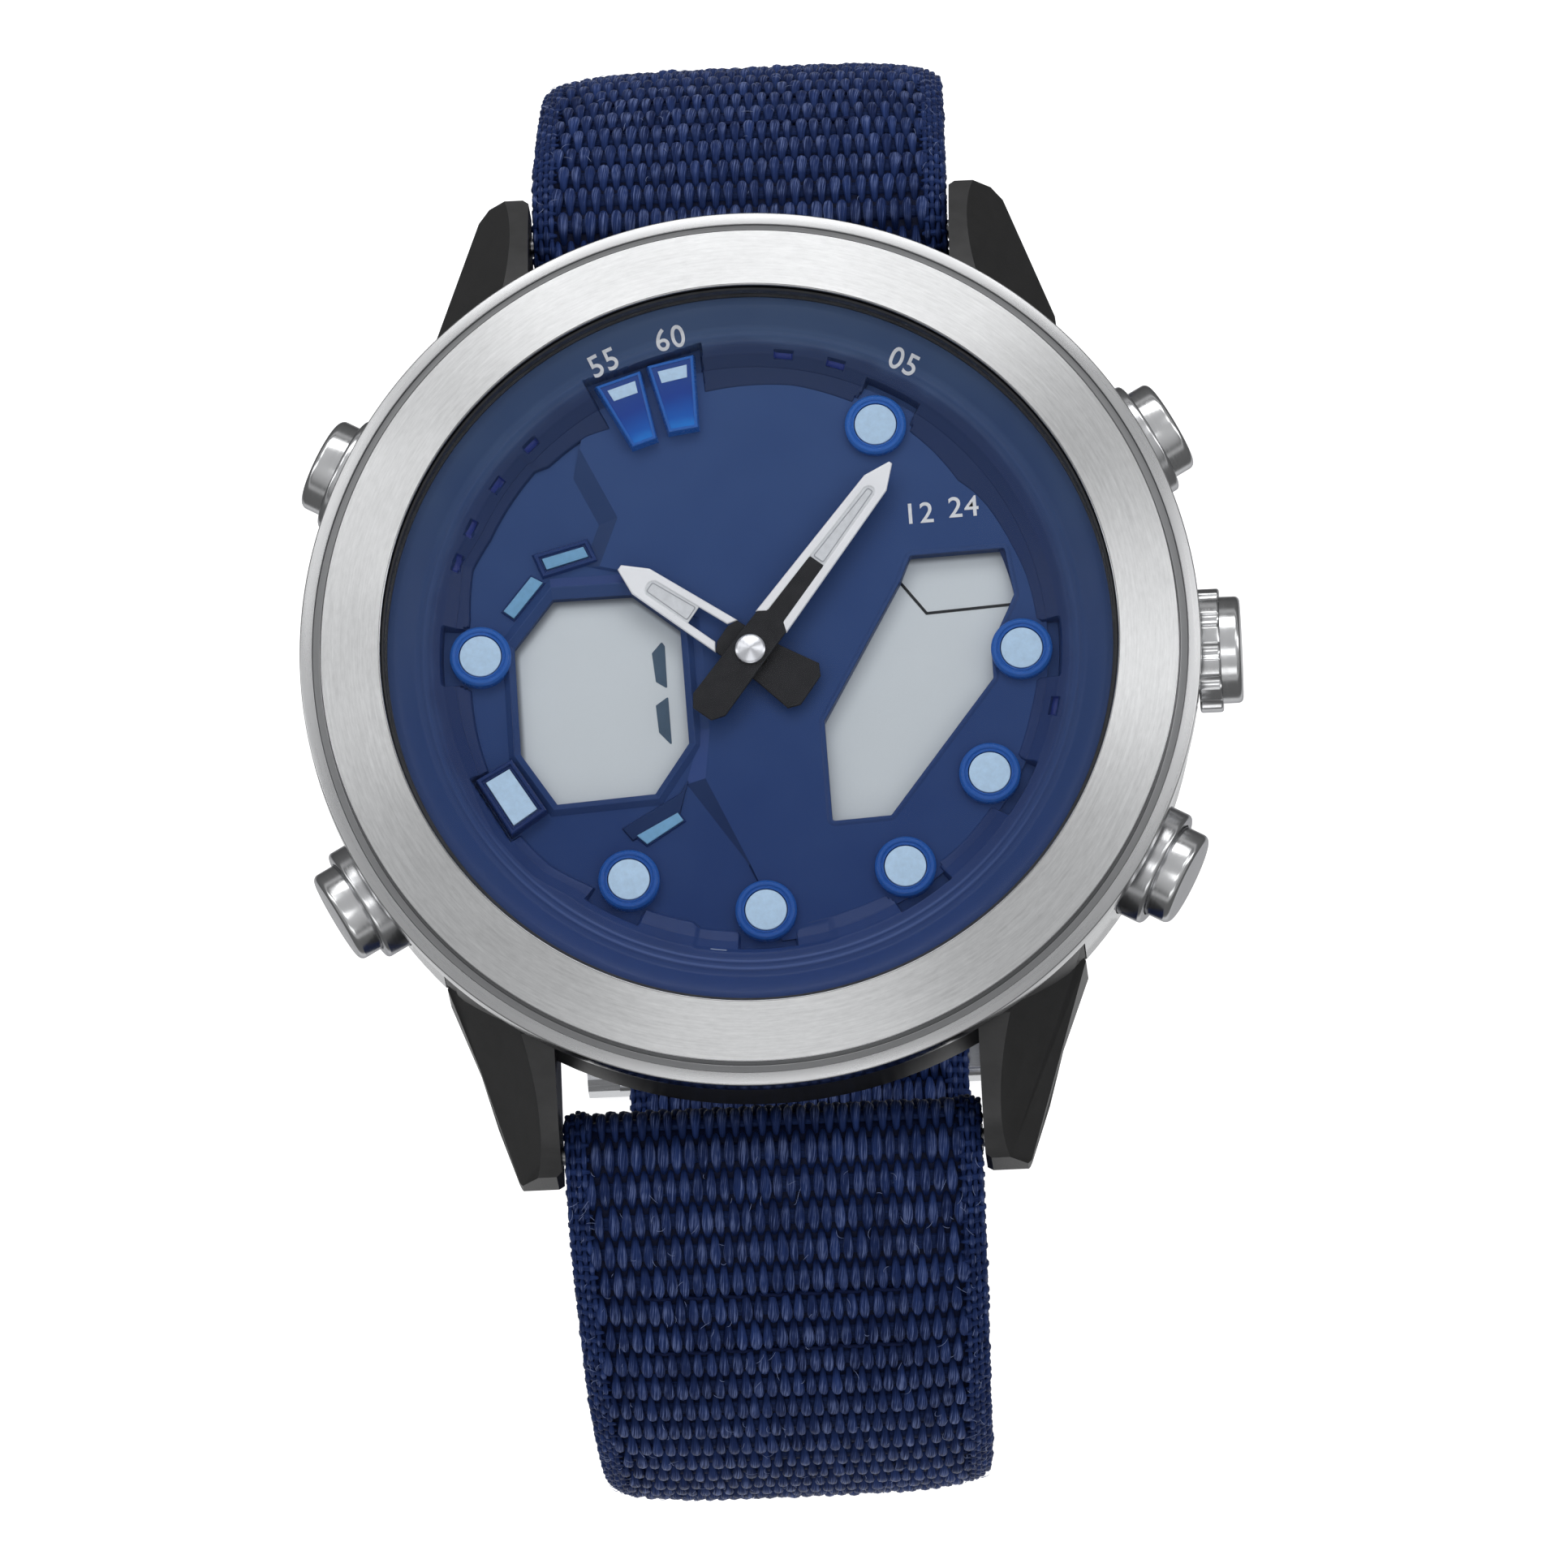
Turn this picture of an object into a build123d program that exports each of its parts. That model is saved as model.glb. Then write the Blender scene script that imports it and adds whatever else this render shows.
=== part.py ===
from build123d import *
import os
from math import cos, sin, radians, degrees, atan2, hypot, sqrt

os.makedirs("parts", exist_ok=True)

# Ana-digi wristwatch, buckled strap, millimetres.
# Origin: centre of the case back's outer face. +Z out of the dial, +Y to 12, +X to 3 (crown).

# ---------------------------------------------------------------- driving dimensions
BEZEL_R = 23.4          # largest radius of the bezel rim
GLASS_R = 19.15         # radius of the bezel's opening
Z_TOP = 12.4            # top of the bezel's inner edge
Z_SEAT = 8.5            # plane where the bezel sits on the case
BAND_R = 22.9           # steel side bands and black bridges
BARREL_R = 21.4         # black inner barrel of the case
CAVITY_R = 16.2         # movement cavity
BACK_R = 19.4           # case back
BACK_T = 1.2
LUG_GAP = 22.0          # between the lugs, the strap's nominal width
LUG_TIP_Y = 26.75
BAR_Y, BAR_Z = 24.5, 2.2    # lug spring bars
BAR_R, BAR_TIP_R = 0.90, 0.50
AX_Z = 6.2              # height of crown and pusher axes
PUSH_ANG = 29.0         # pushers lie this far above and below 3 and 9 o'clock
PUSH_TRAVEL = 0.8
CROWN_PULL = 0.9
Z_DIAL0, Z_DECK = 8.95, 9.50    # underside and face of the dial
Z_FLANGE = 11.05        # top of the flange ring, under the crystal gasket
RHO_BAND = 43.5         # half angle of a steel side band
GEAR_M = 0.15           # module of the motion works
GEAR_A = 3.0            # centre distance, 20 modules
STRAP_T = 1.40          # webbing thickness
TAIL_GAP = 0.05         # between the tail and the layer it lies on
Z_FLAT = -41.0          # outer face of the single strap at the bottom of the loop
CB = (15.0, -16.4)      # centre of the strap's side arc, in Y and Z
RA = 34.0               # radius of the arc between the flat bottom and the side arc
BUCK_Y, BUCK_Z = 0.5, -38.8     # buckle spring bar
BUCK_R, BUCK_TIP_R = 0.75, 0.40
FRAME_IN, FRAME_OUT = 9.65, 11.35   # inside and outside half width of the buckle frame
MIN_ANG = 51.8          # minute hand, degrees from +X
HOUR_ANG = 144.0        # hour hand, degrees from +X

RB = hypot(BAR_Y - CB[0], BAR_Z - CB[1]) + BAR_R + 0.05 + STRAP_T
_dz = CB[1] - (Z_FLAT + RA)
CA = (CB[0] - sqrt((RA - RB) ** 2 - _dz ** 2), Z_FLAT + RA)
PHI_AB = degrees(atan2(CB[1] - CA[1], CB[0] - CA[0]))           # arc A meets arc B here
PHI_BAR = degrees(atan2(BAR_Z - CB[1], BAR_Y - CB[0]))          # side arc meets the lug fold here
print("strap arcs: RB", round(RB, 3), "CA", CA, "phi", round(PHI_AB, 2), round(PHI_BAR, 2))

# face positions of the dial's furniture, in X and Y
ROUND_AT = [(6.90, 11.95), (14.05, -0.40), (12.15, -7.00), (7.60, -11.80), (0.30, -13.80), (-6.75, -11.85), (-14.05, 0.45)]
TWIN_L = [(-7.47, 14.57), (-5.28, 15.26), (-4.56, 11.72), (-5.72, 11.34)]
TWIN_R = [(-4.76, 15.54), (-2.50, 16.01), (-2.38, 12.23), (-3.79, 12.03)]
RECT_AT = [(-13.99, -6.35), (-12.74, -5.66), (-11.37, -7.87), (-12.62, -8.70)]
BAR_A = [(-10.70, 5.63), (-8.52, 6.19), (-8.28, 5.65), (-10.47, 5.05)]
BAR_B = [(-11.29, 4.70), (-10.70, 4.36), (-12.26, 2.51), (-12.78, 2.92)]
BAR_C = [(-6.27, -9.43), (-4.11, -8.30), (-3.83, -8.71), (-5.75, -9.90)]
LCD_L = [(-10.21, 3.46), (-6.09, 3.53), (-3.65, 1.58), (-3.40, -4.57), (-5.24, -7.20), (-10.34, -7.53), (-12.15, -4.77), (-12.29, 0.89)]
LCD_R = [(8.43, 4.91), (13.35, 5.10), (13.75, 2.58), (13.35, 1.70), (12.46, -0.10), (12.52, -1.85), (6.96, -8.95), (3.90, -9.12), (3.67, -3.76), (7.88, 3.58)]


def radial_plane(deg, w=0.0, z=AX_Z):
    """Plane across the radius at an angle, its normal pointing outward."""
    c, s = cos(radians(deg)), sin(radians(deg))
    return Plane(origin=(c * w, s * w, z), x_dir=(-s, c, 0), z_dir=(c, s, 0))


def half_plane(deg):
    """Plane through the Z axis at an angle, local x outward and local y up."""
    c, s = cos(radians(deg)), sin(radians(deg))
    return Plane(origin=(0, 0, 0), x_dir=(c, s, 0), z_dir=(s, -c, 0))


def grown(pts, d):
    """A convex polygon moved outward by d from its centre, near enough for a clearance cut."""
    cx = sum(p[0] for p in pts) / len(pts)
    cy = sum(p[1] for p in pts) / len(pts)
    out = []
    for x, y in pts:
        r = hypot(x - cx, y - cy)
        out.append((cx + (x - cx) * (r + d) / r, cy + (y - cy) * (r + d) / r))
    return out


def finish(block, name):
    block.part.label = name
    export_step(block.part, "parts/" + name + ".step")


PUSHERS = {"2h": PUSH_ANG, "4h": -PUSH_ANG, "8h": 180 + PUSH_ANG, "10h": 180 - PUSH_ANG}

# ---------------------------------------------------------------- bezel, crystal, gasket
with BuildPart() as bezel:
    with BuildSketch(Plane.XZ):
        with BuildLine():
            Polyline((GLASS_R, Z_SEAT), (22.90, Z_SEAT), (22.90, 9.50), (23.10, 9.55), (23.10, 9.92), (23.25, 9.97),
                     (BEZEL_R, 10.12), (BEZEL_R, 11.08), (23.32, 11.20), (23.20, 11.25), (22.90, 11.25), (22.80, 11.20),
                     (22.76, 11.05), (22.36, 11.05), (22.31, 11.10), (22.31, 11.66), (22.27, 11.75), (22.18, 11.81),
                     (19.34, 12.39), (19.22, 12.38), (GLASS_R, 12.30), close=True)
        make_face()
    revolve(axis=Axis.Z)
finish(bezel, "bezel")

with BuildPart() as crystal:
    with BuildSketch(Plane.XY.offset(11.30)):
        Circle(18.95)
    extrude(amount=1.00)
    chamfer(crystal.edges().group_by(Axis.Z)[-1], 0.15)
finish(crystal, "crystal")

with BuildPart() as crystal_gasket:
    with BuildSketch(Plane.XZ):
        with BuildLine():
            Polyline((18.40, 11.06), (19.12, 11.06), (19.12, 12.05), (18.98, 12.05), (18.98, 11.28), (18.40, 11.28), close=True)
        make_face()
    revolve(axis=Axis.Z)
finish(crystal_gasket, "crystal_gasket")

# ---------------------------------------------------------------- one lug, then the case body
LUG_PLAN = [(LUG_GAP / 2, 17.9), (LUG_GAP / 2, 26.45), (11.3, LUG_TIP_Y), (13.15, LUG_TIP_Y), (13.75, 26.2),
            (16.25, 19.6), (BAND_R * cos(radians(RHO_BAND)), BAND_R * sin(radians(RHO_BAND))),
            ((BARREL_R - 0.2) * cos(radians(RHO_BAND)), (BARREL_R - 0.2) * sin(radians(RHO_BAND)))]
with BuildPart() as lug:
    with BuildSketch(Plane.XY.offset(0.3)):
        with BuildLine():
            Polyline(*LUG_PLAN, close=True)
        make_face()
    extrude(amount=8.1)
    # sloping outer facet
    split(bisect_by=Plane(origin=(12.6, 20.0, 8.0), z_dir=(43.8, 18.62, 24.74)), keep=Keep.BOTTOM)
    # top face, falling to the tip
    with BuildSketch(Plane.YZ.offset(9.0)):
        with BuildLine():
            ThreePointArc((19.4, 8.30), (23.4, 6.55), (27.2, 2.90))
            Polyline((27.2, 2.90), (28.5, 2.90), (28.5, 10.0), (14.0, 10.0), (14.0, 8.35), (19.4, 8.30))
        make_face()
    extrude(amount=10.0, mode=Mode.SUBTRACT)
    # underside rises a little towards the tip
    with BuildSketch(Plane.YZ.offset(9.0)):
        with BuildLine():
            Polyline((22.5, 0.0), (28.0, 0.0), (28.0, 1.1), (26.6, 0.75), (22.5, 0.3), close=True)
        make_face()
    extrude(amount=10.0, mode=Mode.SUBTRACT)

with BuildPart() as case_body:
    with BuildSketch(Plane.XZ):
        with BuildLine():
            Polyline((BACK_R + 0.05, 0.6), (20.6, 0.6), (21.25, 2.2), (BARREL_R, 3.2), (BARREL_R, Z_SEAT), (19.10, Z_SEAT),
                     (19.10, 8.30), (CAVITY_R, 8.30), (CAVITY_R, BACK_T + 0.05), (BACK_R + 0.05, BACK_T + 0.05), close=True)
        make_face()
    revolve(axis=Axis.Z)
    # black bridges at 12 and 6 o'clock
    for start in (RHO_BAND, 180 + RHO_BAND):
        with BuildSketch(half_plane(start)):
            with BuildLine():
                Polyline((21.0, 1.6), (BAND_R - 0.1, 4.6), (BAND_R, 5.0), (BAND_R, 8.30), (BAND_R - 0.15, Z_SEAT), (21.0, Z_SEAT), close=True)
            make_face()
        revolve(axis=Axis.Z, revolution_arc=180 - 2 * RHO_BAND)
    add(lug.part)
    add(mirror(lug.part, about=Plane.YZ, mode=Mode.PRIVATE))
    add(mirror(lug.part, about=Plane.XZ, mode=Mode.PRIVATE))
    add(mirror(mirror(lug.part, about=Plane.XZ, mode=Mode.PRIVATE), about=Plane.YZ, mode=Mode.PRIVATE))
    # spring-bar holes in the lugs
    for y in (-BAR_Y, BAR_Y):
        for side in (-1, 1):
            with BuildSketch(Plane(origin=(side * LUG_GAP / 2, y, BAR_Z), x_dir=(0, 1, 0), z_dir=(side, 0, 0))):
                Circle(BAR_TIP_R + 0.05)
            extrude(amount=1.3, mode=Mode.SUBTRACT)
    # holes for the pusher guides and the crown tube
    for ang in PUSHERS.values():
        with BuildSketch(radial_plane(ang, 14.0)):
            Circle(1.93)
        extrude(amount=12.0, mode=Mode.SUBTRACT)
    with BuildSketch(radial_plane(0, 14.0)):
        Circle(1.62)
    extrude(amount=12.0, mode=Mode.SUBTRACT)
    # tapped holes for the case-back screws
    with BuildSketch(Plane.XY.offset(BACK_T)):
        with PolarLocations(18.0, 4, start_angle=45):
            Circle(0.52)
    extrude(amount=3.4, mode=Mode.SUBTRACT)
finish(case_body, "case_body")

# ---------------------------------------------------------------- steel side bands
for name, mid in (("side_band_right", 0.0), ("side_band_left", 180.0)):
    with BuildPart() as side_band:
        with BuildSketch(half_plane(mid - RHO_BAND + 0.2)):
            with BuildLine():
                Polyline((BARREL_R + 0.05, 2.7), (22.3, 3.1), (22.75, 3.6), (BAND_R, 4.2), (BAND_R, 8.38), (BAND_R - 0.12, Z_SEAT),
                         (BARREL_R + 0.05, Z_SEAT), close=True)
            make_face()
        revolve(axis=Axis.Z, revolution_arc=2 * RHO_BAND - 0.4)
        for ang in (mid + PUSH_ANG, mid - PUSH_ANG):
            with BuildSketch(radial_plane(ang, 22.55)):
                Circle(3.15)
            extrude(amount=3.0, mode=Mode.SUBTRACT)
            with BuildSketch(radial_plane(ang, 19.0)):
                Circle(1.93)
            extrude(amount=4.0, mode=Mode.SUBTRACT)
        if mid == 0.0:
            with BuildSketch(radial_plane(0, 19.0)):
                Circle(1.65)
            extrude(amount=5.0, mode=Mode.SUBTRACT)
    finish(side_band, name)

# ---------------------------------------------------------------- case back, gasket, screws
with BuildPart() as case_back:
    with BuildSketch(Plane.XY):
        Circle(BACK_R)
    extrude(amount=BACK_T)
    chamfer(case_back.edges().group_by(Axis.Z)[0], 0.25)
    with BuildSketch(Plane.XY.offset(BACK_T)):
        Circle(CAVITY_R - 0.1)
        Circle(CAVITY_R - 1.1, mode=Mode.SUBTRACT)
    extrude(amount=0.7)
    # gasket groove
    with BuildSketch(Plane.XY.offset(BACK_T)):
        Circle(17.10)
        Circle(16.35, mode=Mode.SUBTRACT)
    extrude(amount=-0.55, mode=Mode.SUBTRACT)
    # turned step on the outer face
    with BuildSketch(Plane.XY):
        Circle(16.2)
        Circle(15.8, mode=Mode.SUBTRACT)
    extrude(amount=0.15, mode=Mode.SUBTRACT)
    with BuildSketch(Plane.XY):
        with PolarLocations(18.0, 4, start_angle=45):
            Circle(1.10)
    extrude(amount=0.65, mode=Mode.SUBTRACT)
    with BuildSketch(Plane.XY):
        with PolarLocations(18.0, 4, start_angle=45):
            Circle(0.60)
    extrude(amount=BACK_T, mode=Mode.SUBTRACT)
finish(case_back, "case_back")

with BuildPart() as case_back_gasket:
    with BuildSketch(Plane.XZ):
        with Locations((16.72, 0.96)):
            Circle(0.27)
    revolve(axis=Axis.Z)
finish(case_back_gasket, "case_back_gasket")

with BuildPart() as case_back_screws:
    with BuildSketch(Plane.XY.offset(0.05)):
        with PolarLocations(18.0, 4, start_angle=45):
            Circle(1.02)
    extrude(amount=0.58)
    with BuildSketch(Plane.XY.offset(0.05)):
        with PolarLocations(18.0, 4, start_angle=45):
            Circle(0.48)
    extrude(amount=4.2)
    with BuildSketch(Plane.XY.offset(0.05)):
        with PolarLocations(18.0, 4, start_angle=45):
            Rectangle(2.2, 0.26)
            Rectangle(0.26, 1.3)
    extrude(amount=0.3, mode=Mode.SUBTRACT)
finish(case_back_screws, "case_back_screws")

# ---------------------------------------------------------------- flange ring and dial
with BuildPart() as flange_ring:
    with BuildSketch(Plane.XZ):
        with BuildLine():
            Polyline((19.05, 8.35), (19.05, Z_FLANGE), (18.40, Z_FLANGE), (17.15, 10.62), (16.95, 10.38), (15.95, 10.28),
                     (15.75, 10.10), (15.25, Z_DECK), (17.60, Z_DECK), (17.60, 8.35), close=True)
        make_face()
    revolve(axis=Axis.Z)
    # room for the round markers and the framed ones
    with BuildSketch(Plane.XY.offset(Z_DECK)):
        with Locations(*ROUND_AT):
            Circle(1.72)
    extrude(amount=3.0, mode=Mode.SUBTRACT)
    for pts in (TWIN_L + TWIN_R, RECT_AT):
        with BuildSketch(Plane.XY.offset(Z_DECK)) as cut:
            Polygon(*grown(pts if len(pts) == 4 else [TWIN_L[3], TWIN_L[0], TWIN_R[1], TWIN_R[2]], 0.55), align=None)
        extrude(amount=3.0, mode=Mode.SUBTRACT)
finish(flange_ring, "flange_ring")

with BuildPart() as dial_plate:
    with BuildSketch(Plane.XY.offset(Z_DIAL0)):
        Circle(17.50)
        Polygon(*LCD_L, align=None, mode=Mode.SUBTRACT)
        Polygon(*LCD_R, align=None, mode=Mode.SUBTRACT)
        Circle(1.15, mode=Mode.SUBTRACT)
    extrude(amount=Z_DECK - Z_DIAL0)
finish(dial_plate, "dial_plate")

with BuildPart() as round_markers:
    with BuildSketch(Plane.XY.offset(Z_DECK)):
        with Locations(*ROUND_AT):
            Circle(1.60)
    extrude(amount=0.66)
    chamfer(round_markers.edges().group_by(Axis.Z)[-1], 0.12)
    with BuildSketch(Plane.XY.offset(Z_DECK + 0.2)):
        with Locations(*ROUND_AT):
            Circle(1.12)
    extrude(amount=1.0, mode=Mode.SUBTRACT)
finish(round_markers, "round_markers")

with BuildPart() as round_marker_lumes:
    with BuildSketch(Plane.XY.offset(Z_DECK + 0.2)):
        with Locations(*ROUND_AT):
            Circle(1.08)
    extrude(amount=0.42)
finish(round_marker_lumes, "round_marker_lumes")

with BuildPart() as framed_markers:
    for pts in (TWIN_L, TWIN_R):
        with BuildSketch(Plane.XY.offset(Z_DECK)):
            Polygon(*pts, align=None)
        extrude(amount=0.85)
    chamfer(framed_markers.edges().group_by(Axis.Z)[-1], 0.1)
    with BuildSketch(Plane.XY.offset(Z_DECK)):
        Polygon(*grown(RECT_AT, 0.35), align=None)
        Polygon(*grown(RECT_AT, 0.02), align=None, mode=Mode.SUBTRACT)
    extrude(amount=0.75)
finish(framed_markers, "framed_markers")

with BuildPart() as bar_markers:
    for pts, h in ((BAR_A, 0.22), (BAR_B, 0.22), (BAR_C, 0.22), (RECT_AT, 0.62)):
        with BuildSketch(Plane.XY.offset(Z_DECK)):
            Polygon(*pts, align=None)
        extrude(amount=h)
finish(bar_markers, "bar_markers")

# ---------------------------------------------------------------- displays and electronics
for name, box in (("lcd_left", (-13.4, -8.6, -3.1, 4.5)), ("lcd_right", (3.2, -10.1, 14.9, 6.0))):
    with BuildPart() as lcd:
        with BuildSketch(Plane.XY.offset(7.95)):
            with Locations(((box[0] + box[2]) / 2, (box[1] + box[3]) / 2)):
                Rectangle(box[2] - box[0], box[3] - box[1])
            Circle(14.75, mode=Mode.INTERSECT)
        extrude(amount=0.95)
    finish(lcd, name)

with BuildPart() as zebra_strips:
    with BuildSketch(Plane.XY.offset(6.32)):
        with Locations((-8.3, -7.6), (-8.3, 3.6)):
            Rectangle(8.4, 1.1)
        with Locations((8.2, -8.0), (8.2, 4.8)):
            Rectangle(7.4, 1.1)
    extrude(amount=1.60)
finish(zebra_strips, "zebra_strips")

with BuildPart() as circuit_board:
    with BuildSketch(Plane.XY.offset(5.60)):
        Circle(14.55)
        with Locations((13.6, 0)):
            Rectangle(4.8, 5.4, mode=Mode.SUBTRACT)
        with Locations((-9, 11.0), (9, 11.0), (-9, -11.0), (9, -11.0)):
            Circle(0.6, mode=Mode.SUBTRACT)
    extrude(amount=0.70)
    # display driver chip
    with BuildSketch(Plane.XY.offset(6.30)):
        with Locations((7.4, -1.2)):
            Rectangle(5.0, 5.0)
    extrude(amount=0.9)
finish(circuit_board, "circuit_board")

with BuildPart() as movement_holder:
    with BuildSketch(Plane.XY.offset(2.0)):
        Circle(15.90)
        Circle(14.90, mode=Mode.SUBTRACT)
    extrude(amount=6.93)
    # bearing bracket for the clutch pinion
    with BuildSketch(Plane.XY.offset(4.9)):
        with Locations((12.60, 0)):
            Rectangle(0.5, 4.6)
        with Locations((13.85, 1.95), (13.85, -1.95)):
            Rectangle(2.9, 0.7)
    extrude(amount=2.7)
    with BuildSketch(radial_plane(0, 12.0)):
        Circle(0.80)
    extrude(amount=2.0, mode=Mode.SUBTRACT)
    with BuildSketch(radial_plane(0, 14.0)):
        Circle(1.30)
    extrude(amount=3.0, mode=Mode.SUBTRACT)
    for ang in PUSHERS.values():
        with BuildSketch(radial_plane(ang, 14.0)):
            Circle(1.60)
        extrude(amount=3.0, mode=Mode.SUBTRACT)
finish(movement_holder, "movement_holder")

with BuildPart() as coin_cell:
    with BuildSketch(Plane.XY.offset(2.45)):
        with Locations((-1.5, -1.0)):
            Circle(10.0)
    extrude(amount=2.5)
    chamfer(coin_cell.edges(), 0.2)
finish(coin_cell, "coin_cell")

with BuildPart() as battery_clip:
    with BuildSketch(Plane.XY.offset(2.15)):
        with Locations((-1.5, -1.0)):
            Rectangle(25.0, 3.2)
    extrude(amount=0.25)
    for sx in (-13.75, 10.75):
        with BuildSketch(Plane.XY.offset(2.15)):
            with Locations((sx, -1.0)):
                Rectangle(0.5, 3.2)
        extrude(amount=3.4)
finish(battery_clip, "battery_clip")

with BuildPart() as main_plate:
    with BuildSketch(Plane.XY.offset(6.32)):
        with Locations((0.05, -3.75)):
            Rectangle(5.9, 21.0)
    extrude(amount=1.46)
    # pockets for coil and stator
    with BuildSketch(Plane.XY.offset(6.8)):
        with Locations((0.05, -11.6)):
            Rectangle(6.2, 3.4)
    extrude(amount=2.0, mode=Mode.SUBTRACT)
    # posts for cannon pinion and minute wheel
    with BuildSketch(Plane.XY.offset(7.70)):
        with Locations((0, 0), (0, GEAR_A)):
            Circle(0.30)
    extrude(amount=1.10)
finish(main_plate, "main_plate")

with BuildPart() as motor_coil:
    with BuildSketch(Plane.YZ.offset(-3.6)):
        with Locations((-11.9, 7.85)):
            Circle(0.95)
            Circle(0.42, mode=Mode.SUBTRACT)
    extrude(amount=7.2)
finish(motor_coil, "motor_coil")

with BuildPart() as motor_stator:
    with BuildSketch(Plane.YZ.offset(-5.2)):
        with Locations((-11.9, 7.85)):
            Circle(0.40)
    extrude(amount=10.4)
    for x0 in (-5.6, 4.8):
        with BuildSketch(Plane.YZ.offset(x0)):
            with Locations((-11.6, 7.35)):
                Rectangle(1.8, 1.8)
        extrude(amount=0.8)
finish(motor_stator, "motor_stator")


# ---------------------------------------------------------------- motion works
def gear_points(teeth, m, phase_deg, backlash=0.16, add=0.92, ded=1.20):
    """Outline of a straight-flanked watch gear: teeth narrowed for backlash."""
    rp, ra, rf = teeth * m / 2, teeth * m / 2 + add * m, teeth * m / 2 - ded * m
    half = 90.0 / teeth * (1 - backlash)
    root = half * 1.35
    tip = half * 0.42
    pts = []
    for i in range(teeth):
        a = phase_deg + i * 360.0 / teeth
        for r, off in ((rf, -root), (rp, -half), (ra, -tip), (ra, tip), (rp, half), (rf, root)):
            pts.append((r * cos(radians(a + off)), r * sin(radians(a + off))))
    return pts


# cannon pinion: 10 teeth, a gap faces the minute wheel's tooth at 90 degrees
with BuildPart() as cannon_pinion:
    with BuildSketch(Plane.XY.offset(7.95)):
        Polygon(*gear_points(10, GEAR_M, 90 + 18), align=None)
    extrude(amount=0.38)
    with BuildSketch(Plane.XY.offset(7.95)):
        Circle(0.55)
    extrude(amount=2.80)
    with BuildSketch(Plane.XY.offset(7.95)):
        Circle(0.34)
    extrude(amount=0.95, mode=Mode.SUBTRACT)
finish(cannon_pinion, "cannon_pinion")

with BuildPart() as minute_wheel:
    with BuildSketch(Plane.XY.offset(7.98)):
        with Locations((0, GEAR_A)):
            Polygon(*gear_points(30, GEAR_M, -90), align=None)
    extrude(amount=0.32)
    with BuildSketch(Plane.XY.offset(8.30)):
        with Locations((0, GEAR_A)):
            Polygon(*gear_points(8, GEAR_M, -90), align=None)
    extrude(amount=0.50)
    with BuildSketch(Plane.XY.offset(7.9)):
        with Locations((0, GEAR_A)):
            Circle(0.34)
    extrude(amount=1.2, mode=Mode.SUBTRACT)
finish(minute_wheel, "minute_wheel")

with BuildPart() as hour_wheel:
    with BuildSketch(Plane.XY.offset(8.42)):
        Polygon(*gear_points(32, GEAR_M, 90 + 360 / 64), align=None)
    extrude(amount=0.30)
    with BuildSketch(Plane.XY.offset(8.42)):
        Circle(0.92)
    extrude(amount=1.86)
    with BuildSketch(Plane.XY.offset(8.3)):
        Circle(0.60)
    extrude(amount=2.2, mode=Mode.SUBTRACT)
finish(hour_wheel, "hour_wheel")


# ---------------------------------------------------------------- hands
def hand_plane(deg, z):
    c, s = cos(radians(deg)), sin(radians(deg))
    return Plane(origin=(0, 0, z), x_dir=(c, s, 0), z_dir=(0, 0, 1))


with BuildPart() as hour_hand:
    with BuildSketch(hand_plane(HOUR_ANG, 10.08)):
        Polygon((1.5, -1.04), (6.9, -0.82), (8.25, -0.18), (8.25, 0.18), (6.9, 0.82), (1.5, 1.04), align=None)
        Polygon((-3.45, -1.35), (-3.05, -1.45), (-1.2, -1.15), (1.6, -1.0), (1.6, 1.0), (-1.2, 1.15), (-3.05, 1.45), (-3.45, 1.35),
                (-3.75, 0.95), (-3.75, -0.95), align=None)
        # slot between the rails and the bed of the insert
        Polygon((1.75, -0.66), (6.5, -0.50), (6.5, 0.50), (1.75, 0.66), align=None, mode=Mode.SUBTRACT)
        Circle(0.93, mode=Mode.SUBTRACT)
    extrude(amount=0.20)
finish(hour_hand, "hour_hand")

with BuildPart() as hour_hand_lume:
    with BuildSketch(hand_plane(HOUR_ANG, 10.10)):
        Polygon((3.35, -0.585), (6.47, -0.48), (6.47, 0.48), (3.35, 0.585), align=None)
    extrude(amount=0.16)
finish(hour_hand_lume, "hour_hand_lume")

with BuildPart() as minute_hand:
    with BuildSketch(hand_plane(MIN_ANG, 10.55)):
        Polygon((1.8, -1.00), (11.0, -0.72), (12.35, -0.10), (12.35, 0.10), (11.0, 0.72), (1.8, 1.00), align=None)
        Polygon((-3.9, -1.05), (-1.2, -1.0), (1.9, -0.95), (1.9, 0.95), (-1.2, 1.0), (-3.9, 1.05), (-4.25, 0.7), (-4.25, -0.7), align=None)
        Polygon((2.1, -0.64), (10.7, -0.42), (10.7, 0.42), (2.1, 0.64), align=None, mode=Mode.SUBTRACT)
        Circle(0.56, mode=Mode.SUBTRACT)
    extrude(amount=0.20)
finish(minute_hand, "minute_hand")

with BuildPart() as minute_hand_lume:
    with BuildSketch(hand_plane(MIN_ANG, 10.57)):
        Polygon((5.2, -0.54), (10.67, -0.40), (10.67, 0.40), (5.2, 0.54), align=None)
    extrude(amount=0.16)
finish(minute_hand_lume, "minute_hand_lume")

with BuildPart() as hand_cap:
    with BuildSketch(Plane.XY.offset(10.76)):
        Circle(0.78)
    extrude(amount=1.0)
    with Locations((0, 0, 11.20 - 1.04)):
        Sphere(1.04, mode=Mode.INTERSECT)
finish(hand_cap, "hand_cap")

# ---------------------------------------------------------------- crown and stem
with BuildPart() as crown_tube:
    with BuildSketch(radial_plane(0, 16.5)):
        Circle(1.60)
        Circle(0.85, mode=Mode.SUBTRACT)
    extrude(amount=8.10)
finish(crown_tube, "crown_tube")

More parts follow.
